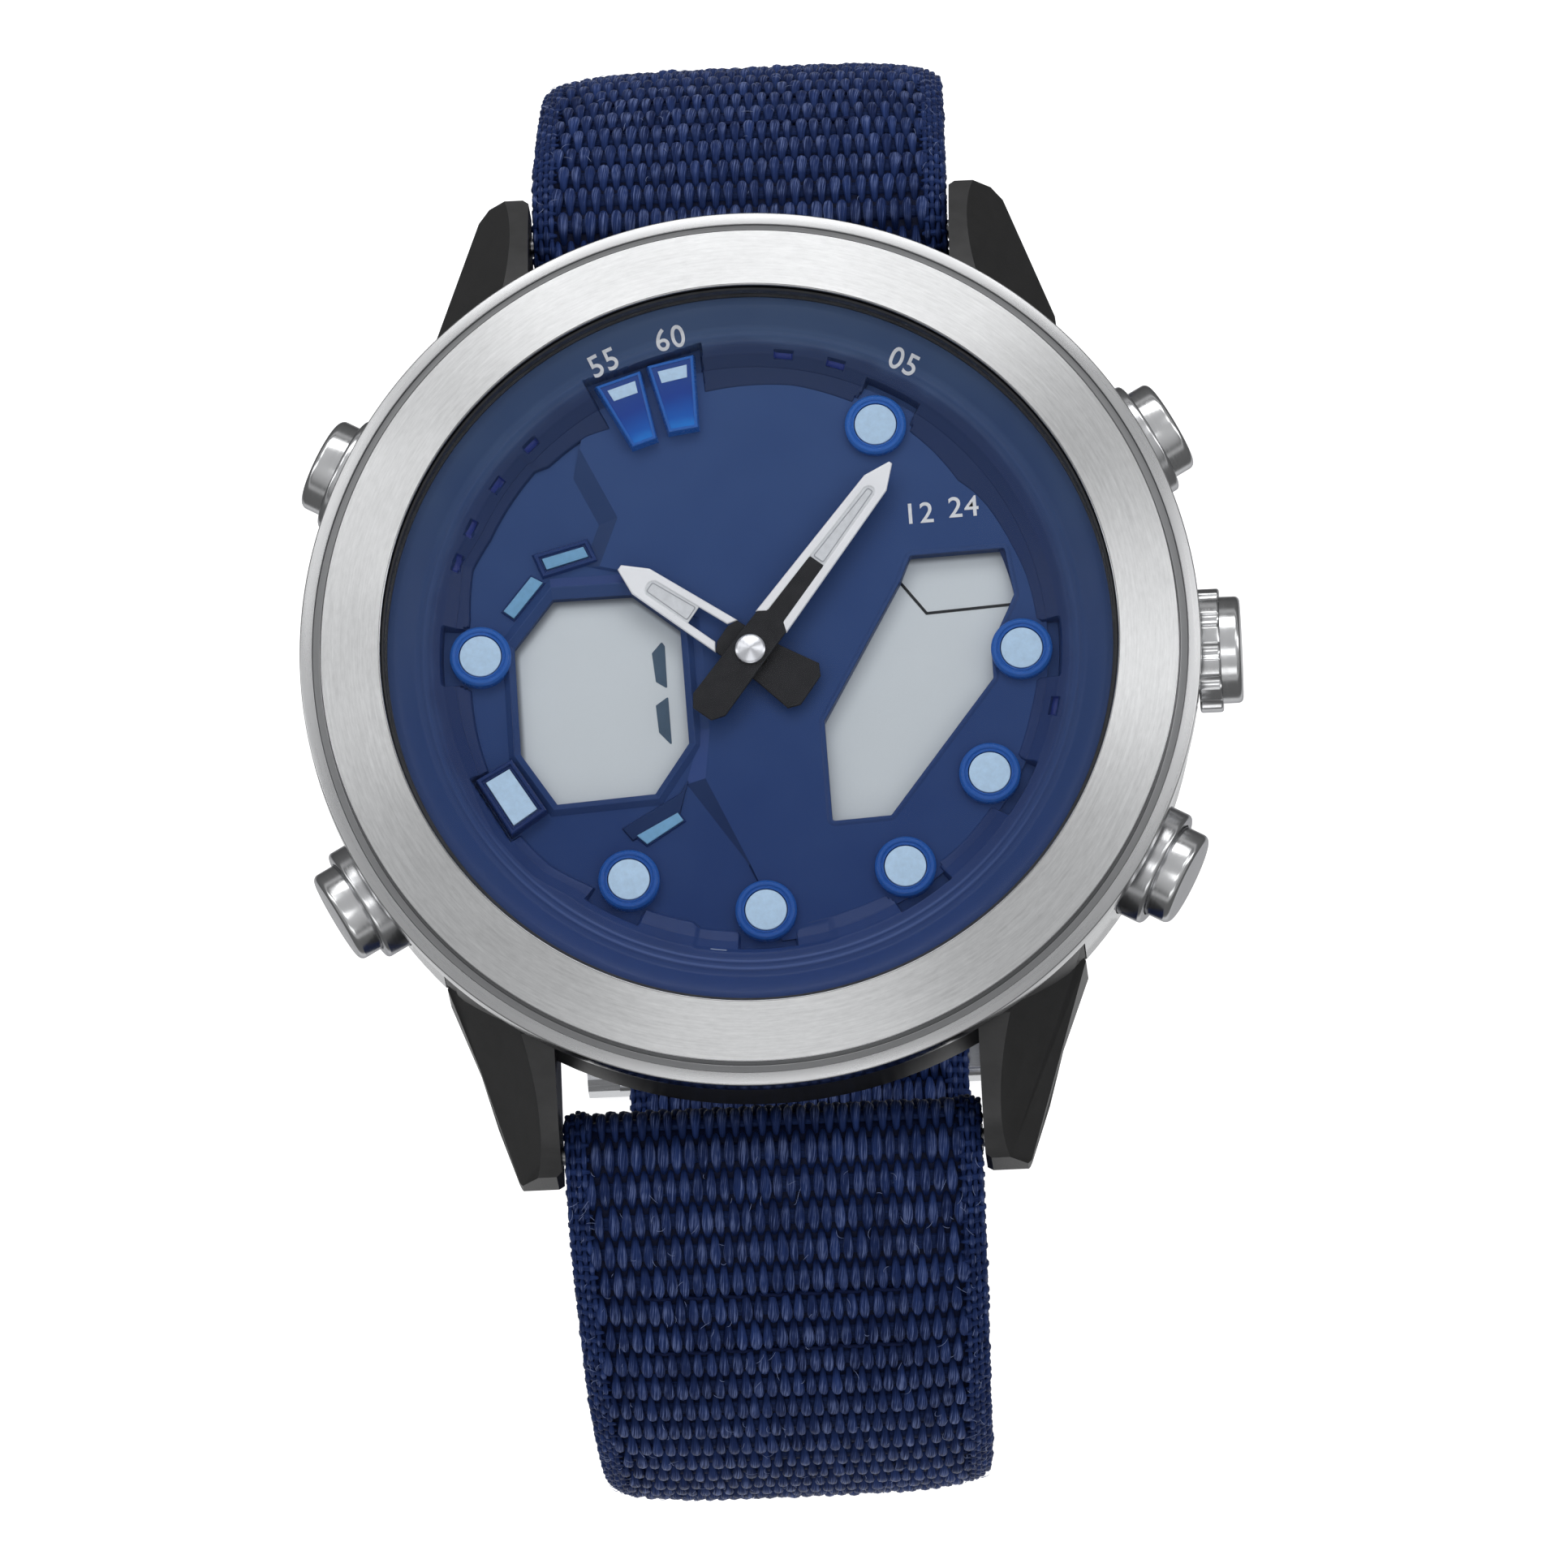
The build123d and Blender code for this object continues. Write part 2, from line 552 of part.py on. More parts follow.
with BuildPart() as crown:
    with BuildSketch(radial_plane(0, 23.12)):
        Circle(3.25)
    extrude(amount=1.20)
    chamfer(crown.edges(), 0.12)
    # shallow flutes between broad flats
    with BuildSketch(radial_plane(0, 23.0)):
        with PolarLocations(3.52, 12, start_angle=15):
            Circle(0.50)
    extrude(amount=1.4, mode=Mode.SUBTRACT)
    with BuildSketch(radial_plane(0, 24.2)):
        Circle(2.78)
    extrude(amount=1.17)
    chamfer(crown.faces().sort_by(Axis.X)[-1].edges(), 0.25)
    # bore over the tube, and the gasket's groove
    with BuildSketch(radial_plane(0, 23.0)):
        Circle(1.68)
    extrude(amount=1.75, mode=Mode.SUBTRACT)
    with BuildSketch(radial_plane(0, 23.34)):
        Circle(2.12)
    extrude(amount=0.46, mode=Mode.SUBTRACT)
    # stem socket
    with BuildSketch(radial_plane(0, 24.0)):
        Circle(0.50)
    extrude(amount=1.0, mode=Mode.SUBTRACT)
finish(crown, "crown")

with BuildPart() as crown_gasket:
    with BuildSketch(radial_plane(0, 23.37)):
        Circle(2.08)
        Circle(1.64, mode=Mode.SUBTRACT)
    extrude(amount=0.40)
finish(crown_gasket, "crown_gasket")

with BuildPart() as crown_stem:
    with BuildSketch(radial_plane(0, 14.6)):
        Circle(0.50)
    extrude(amount=10.4)
    with BuildSketch(radial_plane(0, 11.3)):
        Rectangle(0.70, 0.70)
    extrude(amount=3.4)
finish(crown_stem, "crown_stem")

with BuildPart() as clutch_pinion:
    with BuildSketch(radial_plane(0, 12.90)):
        Polygon(*gear_points(16, 0.14, 0), align=None)
    extrude(amount=0.70)
    with BuildSketch(radial_plane(0, 12.30)):
        Circle(0.75)
    extrude(amount=0.65)
    with BuildSketch(radial_plane(0, 12.0)):
        Rectangle(0.77, 0.77)
    extrude(amount=2.0, mode=Mode.SUBTRACT)
finish(clutch_pinion, "clutch_pinion")

# ---------------------------------------------------------------- pushers
with BuildPart() as pusher_guides:
    for ang in PUSHERS.values():
        with BuildSketch(radial_plane(ang, 22.58)):
            Circle(3.10)
        extrude(amount=1.47)
        with BuildSketch(radial_plane(ang, 16.5)):
            Circle(1.90)
        extrude(amount=6.2)
    chamfer(pusher_guides.edges().filter_by(GeomType.CIRCLE).filter_by(lambda e: abs(e.radius - 3.10) < 0.01 and hypot(e.arc_center.X, e.arc_center.Y) > 23.5), 0.18)
    for ang in PUSHERS.values():
        for w0, w1, r in ((23.0, 24.6, 2.56), (20.4, 23.2, 1.45), (16.0, 20.6, 0.79), (18.40, 19.0, 1.24)):
            with BuildSketch(radial_plane(ang, w0)):
                Circle(r)
            extrude(amount=w1 - w0, mode=Mode.SUBTRACT)
    # the heads clear the bezel's foot
    with BuildSketch(Plane.XY.offset(8.46)):
        Circle(22.98)
    extrude(amount=2.0, mode=Mode.SUBTRACT)
finish(pusher_guides, "pusher_guides")

with BuildPart() as pusher_seals:
    for ang in PUSHERS.values():
        with BuildSketch(radial_plane(ang, 18.45)):
            Circle(1.20)
            Circle(0.79, mode=Mode.SUBTRACT)
        extrude(amount=0.50)
finish(pusher_seals, "pusher_seals")

for tag, ang in PUSHERS.items():
    with BuildPart() as pusher:
        with BuildSketch(radial_plane(ang, 23.92)):
            Circle(2.50)
        extrude(amount=1.43)
        fillet(pusher.edges().filter_by(lambda e: hypot(e.center().X, e.center().Y) > 25.0), 0.30)
        with BuildSketch(radial_plane(ang, 15.6)):
            Circle(0.75)
        extrude(amount=8.4)
        # groove for the retaining clip
        with BuildSketch(radial_plane(ang, 16.14)):
            Circle(1.0)
            Circle(0.50, mode=Mode.SUBTRACT)
        extrude(amount=0.26, mode=Mode.SUBTRACT)
    finish(pusher, "pusher_" + tag)

    with BuildPart() as clip:
        with BuildSketch(radial_plane(ang, 16.17)):
            Circle(1.25)
            Circle(0.52, mode=Mode.SUBTRACT)
            with Locations((0, 1.0)):
                Rectangle(0.7, 1.4, mode=Mode.SUBTRACT)
        extrude(amount=0.20)
    finish(clip, "pusher_clip_" + tag)

    with BuildPart() as spring:
        seat = radial_plane(ang, 20.62)
        with BuildLine() as coil:
            Helix(pitch=0.775, height=3.10, radius=1.12, center=seat.origin, direction=seat.z_dir)
        with BuildSketch(Plane(origin=coil.line @ 0, z_dir=coil.line % 0)):
            Circle(0.12)
        sweep(is_frenet=True)
    finish(spring, "pusher_spring_" + tag)


# ---------------------------------------------------------------- strap: points on its tracks
def pt(c, r, phi, side):
    """Point on an arc in the YZ plane, mirrored for the 6 o'clock side."""
    return (side * (c[0] + r * cos(radians(phi))), c[1] + r * sin(radians(phi)))


def arc(c, r, a0, a1, side):
    am = (a0 + a1) / 2
    ThreePointArc(pt(c, r, a0, side), pt(c, r, am, side), pt(c, r, a1, side))


WIDTH_HALF = [(10.9, 6.0), (10.9, 2.5), (10.25, -16.4), (9.10, -37.0), (9.10, -45.0)]


def width_cut():
    """The strap's outline seen along Y: it narrows from the lugs to the buckle."""
    right = WIDTH_HALF
    left = [(-x, z) for x, z in reversed(WIDTH_HALF)]
    Polygon(*(right + left), align=None)


def along(r, phi):
    return pt(CB, r, phi, 1)


# 12 o'clock side: fold round the lug bar, one ply down to the buckle, fold round the buckle bar
FLAP_L = 9.5        # sewn flap behind each fold
with BuildPart() as strap_upper:
    with BuildSketch(Plane.YZ.offset(-12)):
        with BuildLine():
            Line((BUCK_Y, Z_FLAT), (CA[0], Z_FLAT))
            arc(CA, RA, -90, PHI_AB, 1)
            arc(CB, RB, PHI_AB, PHI_BAR, 1)
            Line(pt(CB, RB, PHI_BAR, 1), pt(CB, RB - STRAP_T, PHI_BAR, 1))
            arc(CB, RB - STRAP_T, PHI_AB, PHI_BAR, 1)
            arc(CA, RA - STRAP_T, -90, PHI_AB, 1)
            Line((CA[0], Z_FLAT + STRAP_T), (BUCK_Y, Z_FLAT + STRAP_T))
            Line((BUCK_Y, Z_FLAT + STRAP_T), (BUCK_Y, Z_FLAT))
        make_face()
        # lug fold and its flap
        with Locations((BAR_Y, BAR_Z)):
            Circle(BAR_R + 0.05 + STRAP_T)
        with BuildLine():
            p0 = pt(CB, RB - 0.7, PHI_BAR, 1)
            p1 = pt(CB, RB - 0.7, PHI_BAR - 30, 1)
            p2 = pt(CB, RB - 2 * STRAP_T, PHI_BAR - 30, 1)
            p3 = (BAR_Y - 1.9, BAR_Z - 1.35)
            p4 = (BAR_Y - 1.2, BAR_Z + 1.0)
            Polyline(p0, p1, p2, pt(CB, RB - 2 * STRAP_T - 0.15, PHI_BAR - 18, 1), p3, p4, p0)
        make_face()
        with Locations((BAR_Y, BAR_Z)):
            Circle(BAR_R + 0.05, mode=Mode.SUBTRACT)
        # buckle fold and its flap
        with Locations((BUCK_Y, BUCK_Z)):
            Circle(BUCK_R + 0.05 + STRAP_T)
        with BuildLine():
            Polyline((BUCK_Y, Z_FLAT + 0.7), (11.4, Z_FLAT + 0.75), (11.4, Z_FLAT + 2 * STRAP_T), (4.6, Z_FLAT + 2 * STRAP_T),
                     (BUCK_Y + 1.2, BUCK_Z + 1.83), (BUCK_Y, BUCK_Z + 1.5), close=True)
        make_face()
        with Locations((BUCK_Y, BUCK_Z)):
            Circle(BUCK_R + 0.05, mode=Mode.SUBTRACT)
    extrude(amount=24)
    with BuildSketch(Plane.XZ.offset(-60)):
        width_cut()
    extrude(amount=120, mode=Mode.INTERSECT)
    # slot for the tongue's eye
    with BuildSketch(Plane.XY.offset(-45)):
        with Locations((0, BUCK_Y - 0.2)):
            Rectangle(2.7, 6.2)
    extrude(amount=12, mode=Mode.SUBTRACT)
finish(strap_upper, "strap_upper")

# 6 o'clock side: fold, one ply to the buckle, then the tail lies on the other strap
TAIL_PHI = -34.0
D1 = TAIL_GAP
with BuildPart() as strap_lower:
    with BuildSketch(Plane.YZ.offset(-12)):
        with BuildLine():
            # outer face, from the lug down and over the buckle bar to the tail's end
            arc(CB, RB, PHI_BAR, PHI_AB, -1)
            arc(CA, RA, PHI_AB, -90, -1)
            Line((-CA[0], Z_FLAT), (-7.8, Z_FLAT))
            Line((-7.8, Z_FLAT), (-1.2, Z_FLAT - STRAP_T - D1))
            Line((-1.2, Z_FLAT - STRAP_T - D1), (CA[0], Z_FLAT - STRAP_T - D1))
            arc(CA, RA + STRAP_T + D1, -90, PHI_AB, 1)
            arc(CB, RB + STRAP_T + D1, PHI_AB, TAIL_PHI, 1)
            # end, then back along the inner face
            Line(pt(CB, RB + STRAP_T + D1, TAIL_PHI, 1), pt(CB, RB + D1, TAIL_PHI, 1))
            arc(CB, RB + D1, TAIL_PHI, PHI_AB, 1)
            arc(CA, RA + D1, PHI_AB, -90, 1)
            Line((CA[0], Z_FLAT - D1), (-1.35, Z_FLAT - D1))
            Line((-1.35, Z_FLAT - D1), (-7.65, Z_FLAT + STRAP_T))
            Line((-7.65, Z_FLAT + STRAP_T), (-CA[0], Z_FLAT + STRAP_T))
            arc(CA, RA - STRAP_T, -90, PHI_AB, -1)
            arc(CB, RB - STRAP_T, PHI_AB, PHI_BAR, -1)
            Line(pt(CB, RB - STRAP_T, PHI_BAR, -1), pt(CB, RB, PHI_BAR, -1))
        make_face()
        with Locations((-BAR_Y, BAR_Z)):
            Circle(BAR_R + 0.05 + STRAP_T)
        with BuildLine():
            q0 = pt(CB, RB - 0.7, PHI_BAR, -1)
            q1 = pt(CB, RB - 0.7, PHI_BAR - 30, -1)
            q2 = pt(CB, RB - 2 * STRAP_T, PHI_BAR - 30, -1)
            q3 = (-BAR_Y + 1.9, BAR_Z - 1.35)
            q4 = (-BAR_Y + 1.2, BAR_Z + 1.0)
            Polyline(q0, q1, q2, pt(CB, RB - 2 * STRAP_T - 0.15, PHI_BAR - 18, -1), q3, q4, q0)
        make_face()
        with Locations((-BAR_Y, BAR_Z)):
            Circle(BAR_R + 0.05, mode=Mode.SUBTRACT)
    extrude(amount=24)
    with BuildSketch(Plane.XZ.offset(-60)):
        width_cut()
    extrude(amount=120, mode=Mode.INTERSECT)
    # rounded end of the tail
    ey, ez = pt(CB, RB, TAIL_PHI, 1)
    en = (0, cos(radians(TAIL_PHI)), sin(radians(TAIL_PHI)))
    with BuildSketch(Plane(origin=(0, ey, ez), x_dir=(1, 0, 0), z_dir=en)):
        with Locations((0, 1.0)):
            Rectangle(24.0, 12.0)
        with Locations((0, 9.9)):
            Circle(9.75, mode=Mode.SUBTRACT)
    extrude(amount=2.2, mode=Mode.SUBTRACT)
    # the hole that the tongue is in, and the next ones along the tail
    with BuildSketch(Plane.XY.offset(-45)):
        with Locations((0, -3.4)):
            SlotOverall(6.4, 2.3, rotation=90)
        with Locations((0, 2.6)):
            Circle(1.0)
    extrude(amount=10, mode=Mode.SUBTRACT)
    for phi in (-52.0, -42.0):
        py, pz = pt(CB, RB - 2, phi, 1)
        with BuildSketch(Plane(origin=(0, py, pz), x_dir=(1, 0, 0), z_dir=(0, cos(radians(phi)), sin(radians(phi))))):
            Circle(1.0)
        extrude(amount=6, mode=Mode.SUBTRACT)
    # one more hole on the wrist side of the buckle
    phi = 10.0
    py, pz = -CA[0] - (RA - 4) * sin(radians(phi)), CA[1] - (RA - 4) * cos(radians(phi))
    with BuildSketch(Plane(origin=(0, py, pz), x_dir=(1, 0, 0), z_dir=(0, -sin(radians(phi)), -cos(radians(phi))))):
        Circle(1.0)
    extrude(amount=8, mode=Mode.SUBTRACT)
finish(strap_lower, "strap_lower")

# ---------------------------------------------------------------- spring bars
with BuildPart() as lug_spring_bars:
    for y in (-BAR_Y, BAR_Y):
        with BuildSketch(Plane.YZ.offset(-10.8)):
            with Locations((y, BAR_Z)):
                Circle(BAR_R)
        extrude(amount=21.6)
        with BuildSketch(Plane.YZ.offset(-12.15)):
            with Locations((y, BAR_Z)):
                Circle(BAR_TIP_R)
        extrude(amount=24.3)
finish(lug_spring_bars, "lug_spring_bars")

with BuildPart() as buckle_spring_bar:
    with BuildSketch(Plane.YZ.offset(-FRAME_IN + 0.1)):
        with Locations((BUCK_Y, BUCK_Z)):
            Circle(BUCK_R)
    extrude(amount=2 * FRAME_IN - 0.2)
    with BuildSketch(Plane.YZ.offset(-FRAME_IN - 0.95)):
        with Locations((BUCK_Y, BUCK_Z)):
            Circle(BUCK_TIP_R)
    extrude(amount=2 * FRAME_IN + 1.9)
finish(buckle_spring_bar, "buckle_spring_bar")

# ---------------------------------------------------------------- buckle frame and tongue
CROSS_Y0, CROSS_Y1 = -10.2, -8.0        # front bar of the frame
CROSS_Z0, CROSS_Z1 = -43.35, -41.18
with BuildPart() as buckle_frame:
    for x0 in (-FRAME_OUT, FRAME_IN):
        with BuildSketch(Plane.YZ.offset(x0)):
            with BuildLine():
                a0 = (BUCK_Y + 1.05, BUCK_Z - 1.05)
                a1 = (BUCK_Y - 1.05, BUCK_Z + 1.05)
                ThreePointArc(a0, (BUCK_Y + 1.06, BUCK_Z + 1.06), a1)
                Polyline(a1, (CROSS_Y0 + 0.5, CROSS_Z1 + 0.35), (CROSS_Y0, CROSS_Z1 - 0.25), (CROSS_Y0, CROSS_Z0 + 0.5),
                         (CROSS_Y0 + 0.5, CROSS_Z0), (CROSS_Y1 + 0.2, CROSS_Z0), a0)
            make_face()
        extrude(amount=FRAME_OUT - FRAME_IN)
    with BuildSketch(Plane.YZ.offset(-FRAME_IN - 0.1)):
        with Locations(((CROSS_Y0 + CROSS_Y1) / 2, (CROSS_Z0 + CROSS_Z1) / 2)):
            RectangleRounded(CROSS_Y1 - CROSS_Y0, CROSS_Z1 - CROSS_Z0, 0.55)
    extrude(amount=2 * FRAME_IN + 0.2)
    # notch for the tongue
    with BuildSketch(Plane.XY.offset(CROSS_Z0 - 1)):
        with Locations((0, (CROSS_Y0 + CROSS_Y1) / 2)):
            Rectangle(2.1, 4.0)
    extrude(amount=2.0, mode=Mode.SUBTRACT)
    # holes for the bar's tips
    for side in (-1, 1):
        with BuildSketch(Plane(origin=(side * FRAME_IN, BUCK_Y, BUCK_Z), x_dir=(0, 1, 0), z_dir=(side, 0, 0))):
            Circle(BUCK_TIP_R + 0.05)
        extrude(amount=1.1, mode=Mode.SUBTRACT)
finish(buckle_frame, "buckle_frame")

TONGUE = [(-0.35, -39.65), (-4.1, -41.05), (-7.5, -42.84), (-10.35, -42.84)]
with BuildPart() as buckle_tongue:
    with BuildSketch(Plane.YZ.offset(-0.9)):
        with Locations((BUCK_Y, BUCK_Z)):
            Circle(1.55)
        Polygon((-0.10, -40.20), (-0.75, -39.20), (-3.9, -40.55), (-7.45, -42.40), (-9.9, -42.40), (-10.35, -42.70), (-10.35, -43.05), (-9.95, -43.28),
                (-7.6, -43.28), (-4.3, -41.55), align=None)
        with Locations((BUCK_Y, BUCK_Z)):
            Circle(BUCK_R + 0.05, mode=Mode.SUBTRACT)
    extrude(amount=1.8)
finish(buckle_tongue, "buckle_tongue")

# ---------------------------------------------------------------- keepers
KX0, KX1 = 9.22, 10.1
with BuildPart() as fixed_keeper:
    with BuildSketch(Plane.XZ.offset(-4.9)):
        with Locations((0, (-43.35 - 37.2) / 2)):
            RectangleRounded(2 * KX1, 43.35 - 37.2, 0.8)
        with Locations((0, (-42.52 - 38.1) / 2)):
            Rectangle(2 * KX0, 42.52 - 38.1, mode=Mode.SUBTRACT)
    extrude(amount=-4.4)
finish(fixed_keeper, "fixed_keeper")

FK0, FK1 = -90 + 7.4, -90 + 14.6        # free keeper on arc A
FKX0, FKX1 = 9.36, 10.2
with BuildPart() as free_keeper:
    with BuildSketch(Plane.YZ.offset(-FKX1)):
        with BuildLine():
            arc(CA, RA + 2.45, FK0, FK1, 1)
            Line(pt(CA, RA + 2.45, FK1, 1), pt(CA, RA - 2.4, FK1, 1))
            arc(CA, RA - 2.4, FK1, FK0, 1)
            Line(pt(CA, RA - 2.4, FK0, 1), pt(CA, RA + 2.45, FK0, 1))
        make_face()
    extrude(amount=2 * FKX1)
    chamfer(free_keeper.edges().filter_by(lambda e: abs(abs(e.center().X) - FKX1) < 1e-3 and (e @ 0 - e @ 1).length > 3.5 and abs(hypot(e.center().Y - CA[0], e.center().Z - CA[1]) - RA) > 2.3), 0.35)
    with BuildSketch(Plane.YZ.offset(-FKX0)):
        with BuildLine():
            arc(CA, RA + STRAP_T + 0.15, FK0 - 2, FK1 + 2, 1)
            Line(pt(CA, RA + STRAP_T + 0.15, FK1 + 2, 1), pt(CA, RA - STRAP_T - 0.1, FK1 + 2, 1))
            arc(CA, RA - STRAP_T - 0.1, FK1 + 2, FK0 - 2, 1)
            Line(pt(CA, RA - STRAP_T - 0.1, FK0 - 2, 1), pt(CA, RA + STRAP_T + 0.15, FK0 - 2, 1))
        make_face()
    extrude(amount=2 * FKX0, mode=Mode.SUBTRACT)
finish(free_keeper, "free_keeper")
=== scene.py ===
import bpy, bmesh, math
import numpy as np
from mathutils import Vector, Matrix


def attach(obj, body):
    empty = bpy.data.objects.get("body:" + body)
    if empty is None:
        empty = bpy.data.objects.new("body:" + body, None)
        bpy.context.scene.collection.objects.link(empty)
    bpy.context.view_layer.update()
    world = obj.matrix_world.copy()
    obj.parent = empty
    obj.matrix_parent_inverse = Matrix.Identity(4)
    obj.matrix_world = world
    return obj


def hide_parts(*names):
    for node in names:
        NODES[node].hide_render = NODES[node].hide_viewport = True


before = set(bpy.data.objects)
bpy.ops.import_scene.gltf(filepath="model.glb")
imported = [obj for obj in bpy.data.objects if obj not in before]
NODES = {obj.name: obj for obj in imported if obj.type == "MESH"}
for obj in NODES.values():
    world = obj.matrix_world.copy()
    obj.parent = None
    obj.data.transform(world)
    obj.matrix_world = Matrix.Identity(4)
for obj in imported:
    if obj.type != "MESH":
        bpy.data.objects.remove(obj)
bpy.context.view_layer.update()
MM = 0.001
RNG = np.random.default_rng(11)
sin, cos, sqrt, hypot, pi = math.sin, math.cos, math.sqrt, math.hypot, math.pi
rad, deg = math.radians, math.degrees
scene = bpy.context.scene
COLL = scene.collection

# ================================================================ camera
B = Vector((0.033, -0.252, 0.967)).normalized()
R0 = Vector((B.z, 0, -B.x)).normalized()
U0 = B.cross(R0)
ROLL = rad(2.1)
RX = R0 * cos(ROLL) - U0 * sin(ROLL)
UY = R0 * sin(ROLL) + U0 * cos(ROLL)
AIM = (RX * 1.28 - UY * 4.30) * MM
cam_data = bpy.data.cameras.new("camera")
cam = bpy.data.objects.new("camera", cam_data)
COLL.objects.link(cam)
CAM_DIST = 1.6
cam_data.sensor_width = 36.0
cam_data.lens = 36.0 * CAM_DIST / 0.08186
cam_data.clip_start, cam_data.clip_end = 0.05, 20.0
m3 = Matrix((RX, UY, B)).transposed()
cam.matrix_world = Matrix.Translation(AIM + B * CAM_DIST) @ m3.to_4x4()
scene.camera = cam

# ================================================================ light
scene.view_settings.view_transform = "Standard"
scene.view_settings.look = "None"
scene.cycles.use_denoising = True

world = bpy.data.worlds.new("studio")
scene.world = world
world.use_nodes = True
wt = world.node_tree
wt.nodes.clear()
w_out = wt.nodes.new("ShaderNodeOutputWorld")
w_bg = wt.nodes.new("ShaderNodeBackground")
w_tc = wt.nodes.new("ShaderNodeTexCoord")
w_sep = wt.nodes.new("ShaderNodeSeparateXYZ")
w_ramp = wt.nodes.new("ShaderNodeValToRGB")
wt.links.new(w_tc.outputs["Generated"], w_sep.inputs[0])
w_half = wt.nodes.new("ShaderNodeMath")
w_half.operation = "MULTIPLY_ADD"
w_half.inputs[1].default_value = w_half.inputs[2].default_value = 0.5
wt.links.new(w_sep.outputs["Z"], w_half.inputs[0])
wt.links.new(w_half.outputs[0], w_ramp.inputs[0])
els = w_ramp.color_ramp.elements
els[0].position, els[0].color = 0.0, (0.85, 0.855, 0.86, 1)
els[1].position, els[1].color = 1.0, (0.48, 0.483, 0.488, 1)
for pos, g in ((-0.86, 0.85), (-0.76, 0.125), (0.0, 0.125), (0.06, 0.13), (0.15, 0.46), (0.25, 0.44), (0.36, 0.12), (0.58, 0.37), (0.84, 0.54)):
    els.new(0.5 + 0.5 * pos).color = (g, g * 1.005, g * 1.012, 1)
w_bg.inputs["Strength"].default_value = 1.0
wt.links.new(w_ramp.outputs[0], w_bg.inputs["Color"])
wt.links.new(w_bg.outputs[0], w_out.inputs["Surface"])


def area(name, direction, dist, size, size_y, radiance, target=(0, 0, 0)):
    """A soft box that faces the object, given the radiance of its face."""
    ld = bpy.data.lights.new(name, "AREA")
    ld.shape = "RECTANGLE"
    ld.size, ld.size_y = size, size_y
    ld.energy = radiance * pi * size * size_y
    ob = bpy.data.objects.new(name, ld)
    COLL.objects.link(ob)
    d = Vector(direction).normalized()
    ob.location = Vector(target) + d * dist
    ob.rotation_mode = "QUATERNION"
    ob.rotation_quaternion = d.to_track_quat("Z", "Y")
    ob.visible_camera = False
    return ob


area("softbox_back", (0.0, 0.75, 0.67), 0.60, 0.50, 0.24, 2.35)
area("softbox_left", (-0.86, 0.12, 0.50), 0.60, 0.16, 0.46, 1.5)
area("softbox_right", (0.88, 0.10, 0.46), 0.60, 0.16, 0.46, 1.9)
area("softbox_front", (0.0, -0.87, 0.49), 0.70, 0.50, 0.18, 1.2)
area("softbox_over_left", (-0.46, 0.43, 0.777), 0.80, 0.20, 0.34, 1.32)
area("softbox_over_right", (0.44, 0.26, 0.858), 0.80, 0.18, 0.40, 1.36)
area("softbox_over_front", (-0.02, -0.32, 0.95), 0.80, 0.34, 0.18, 1.5)

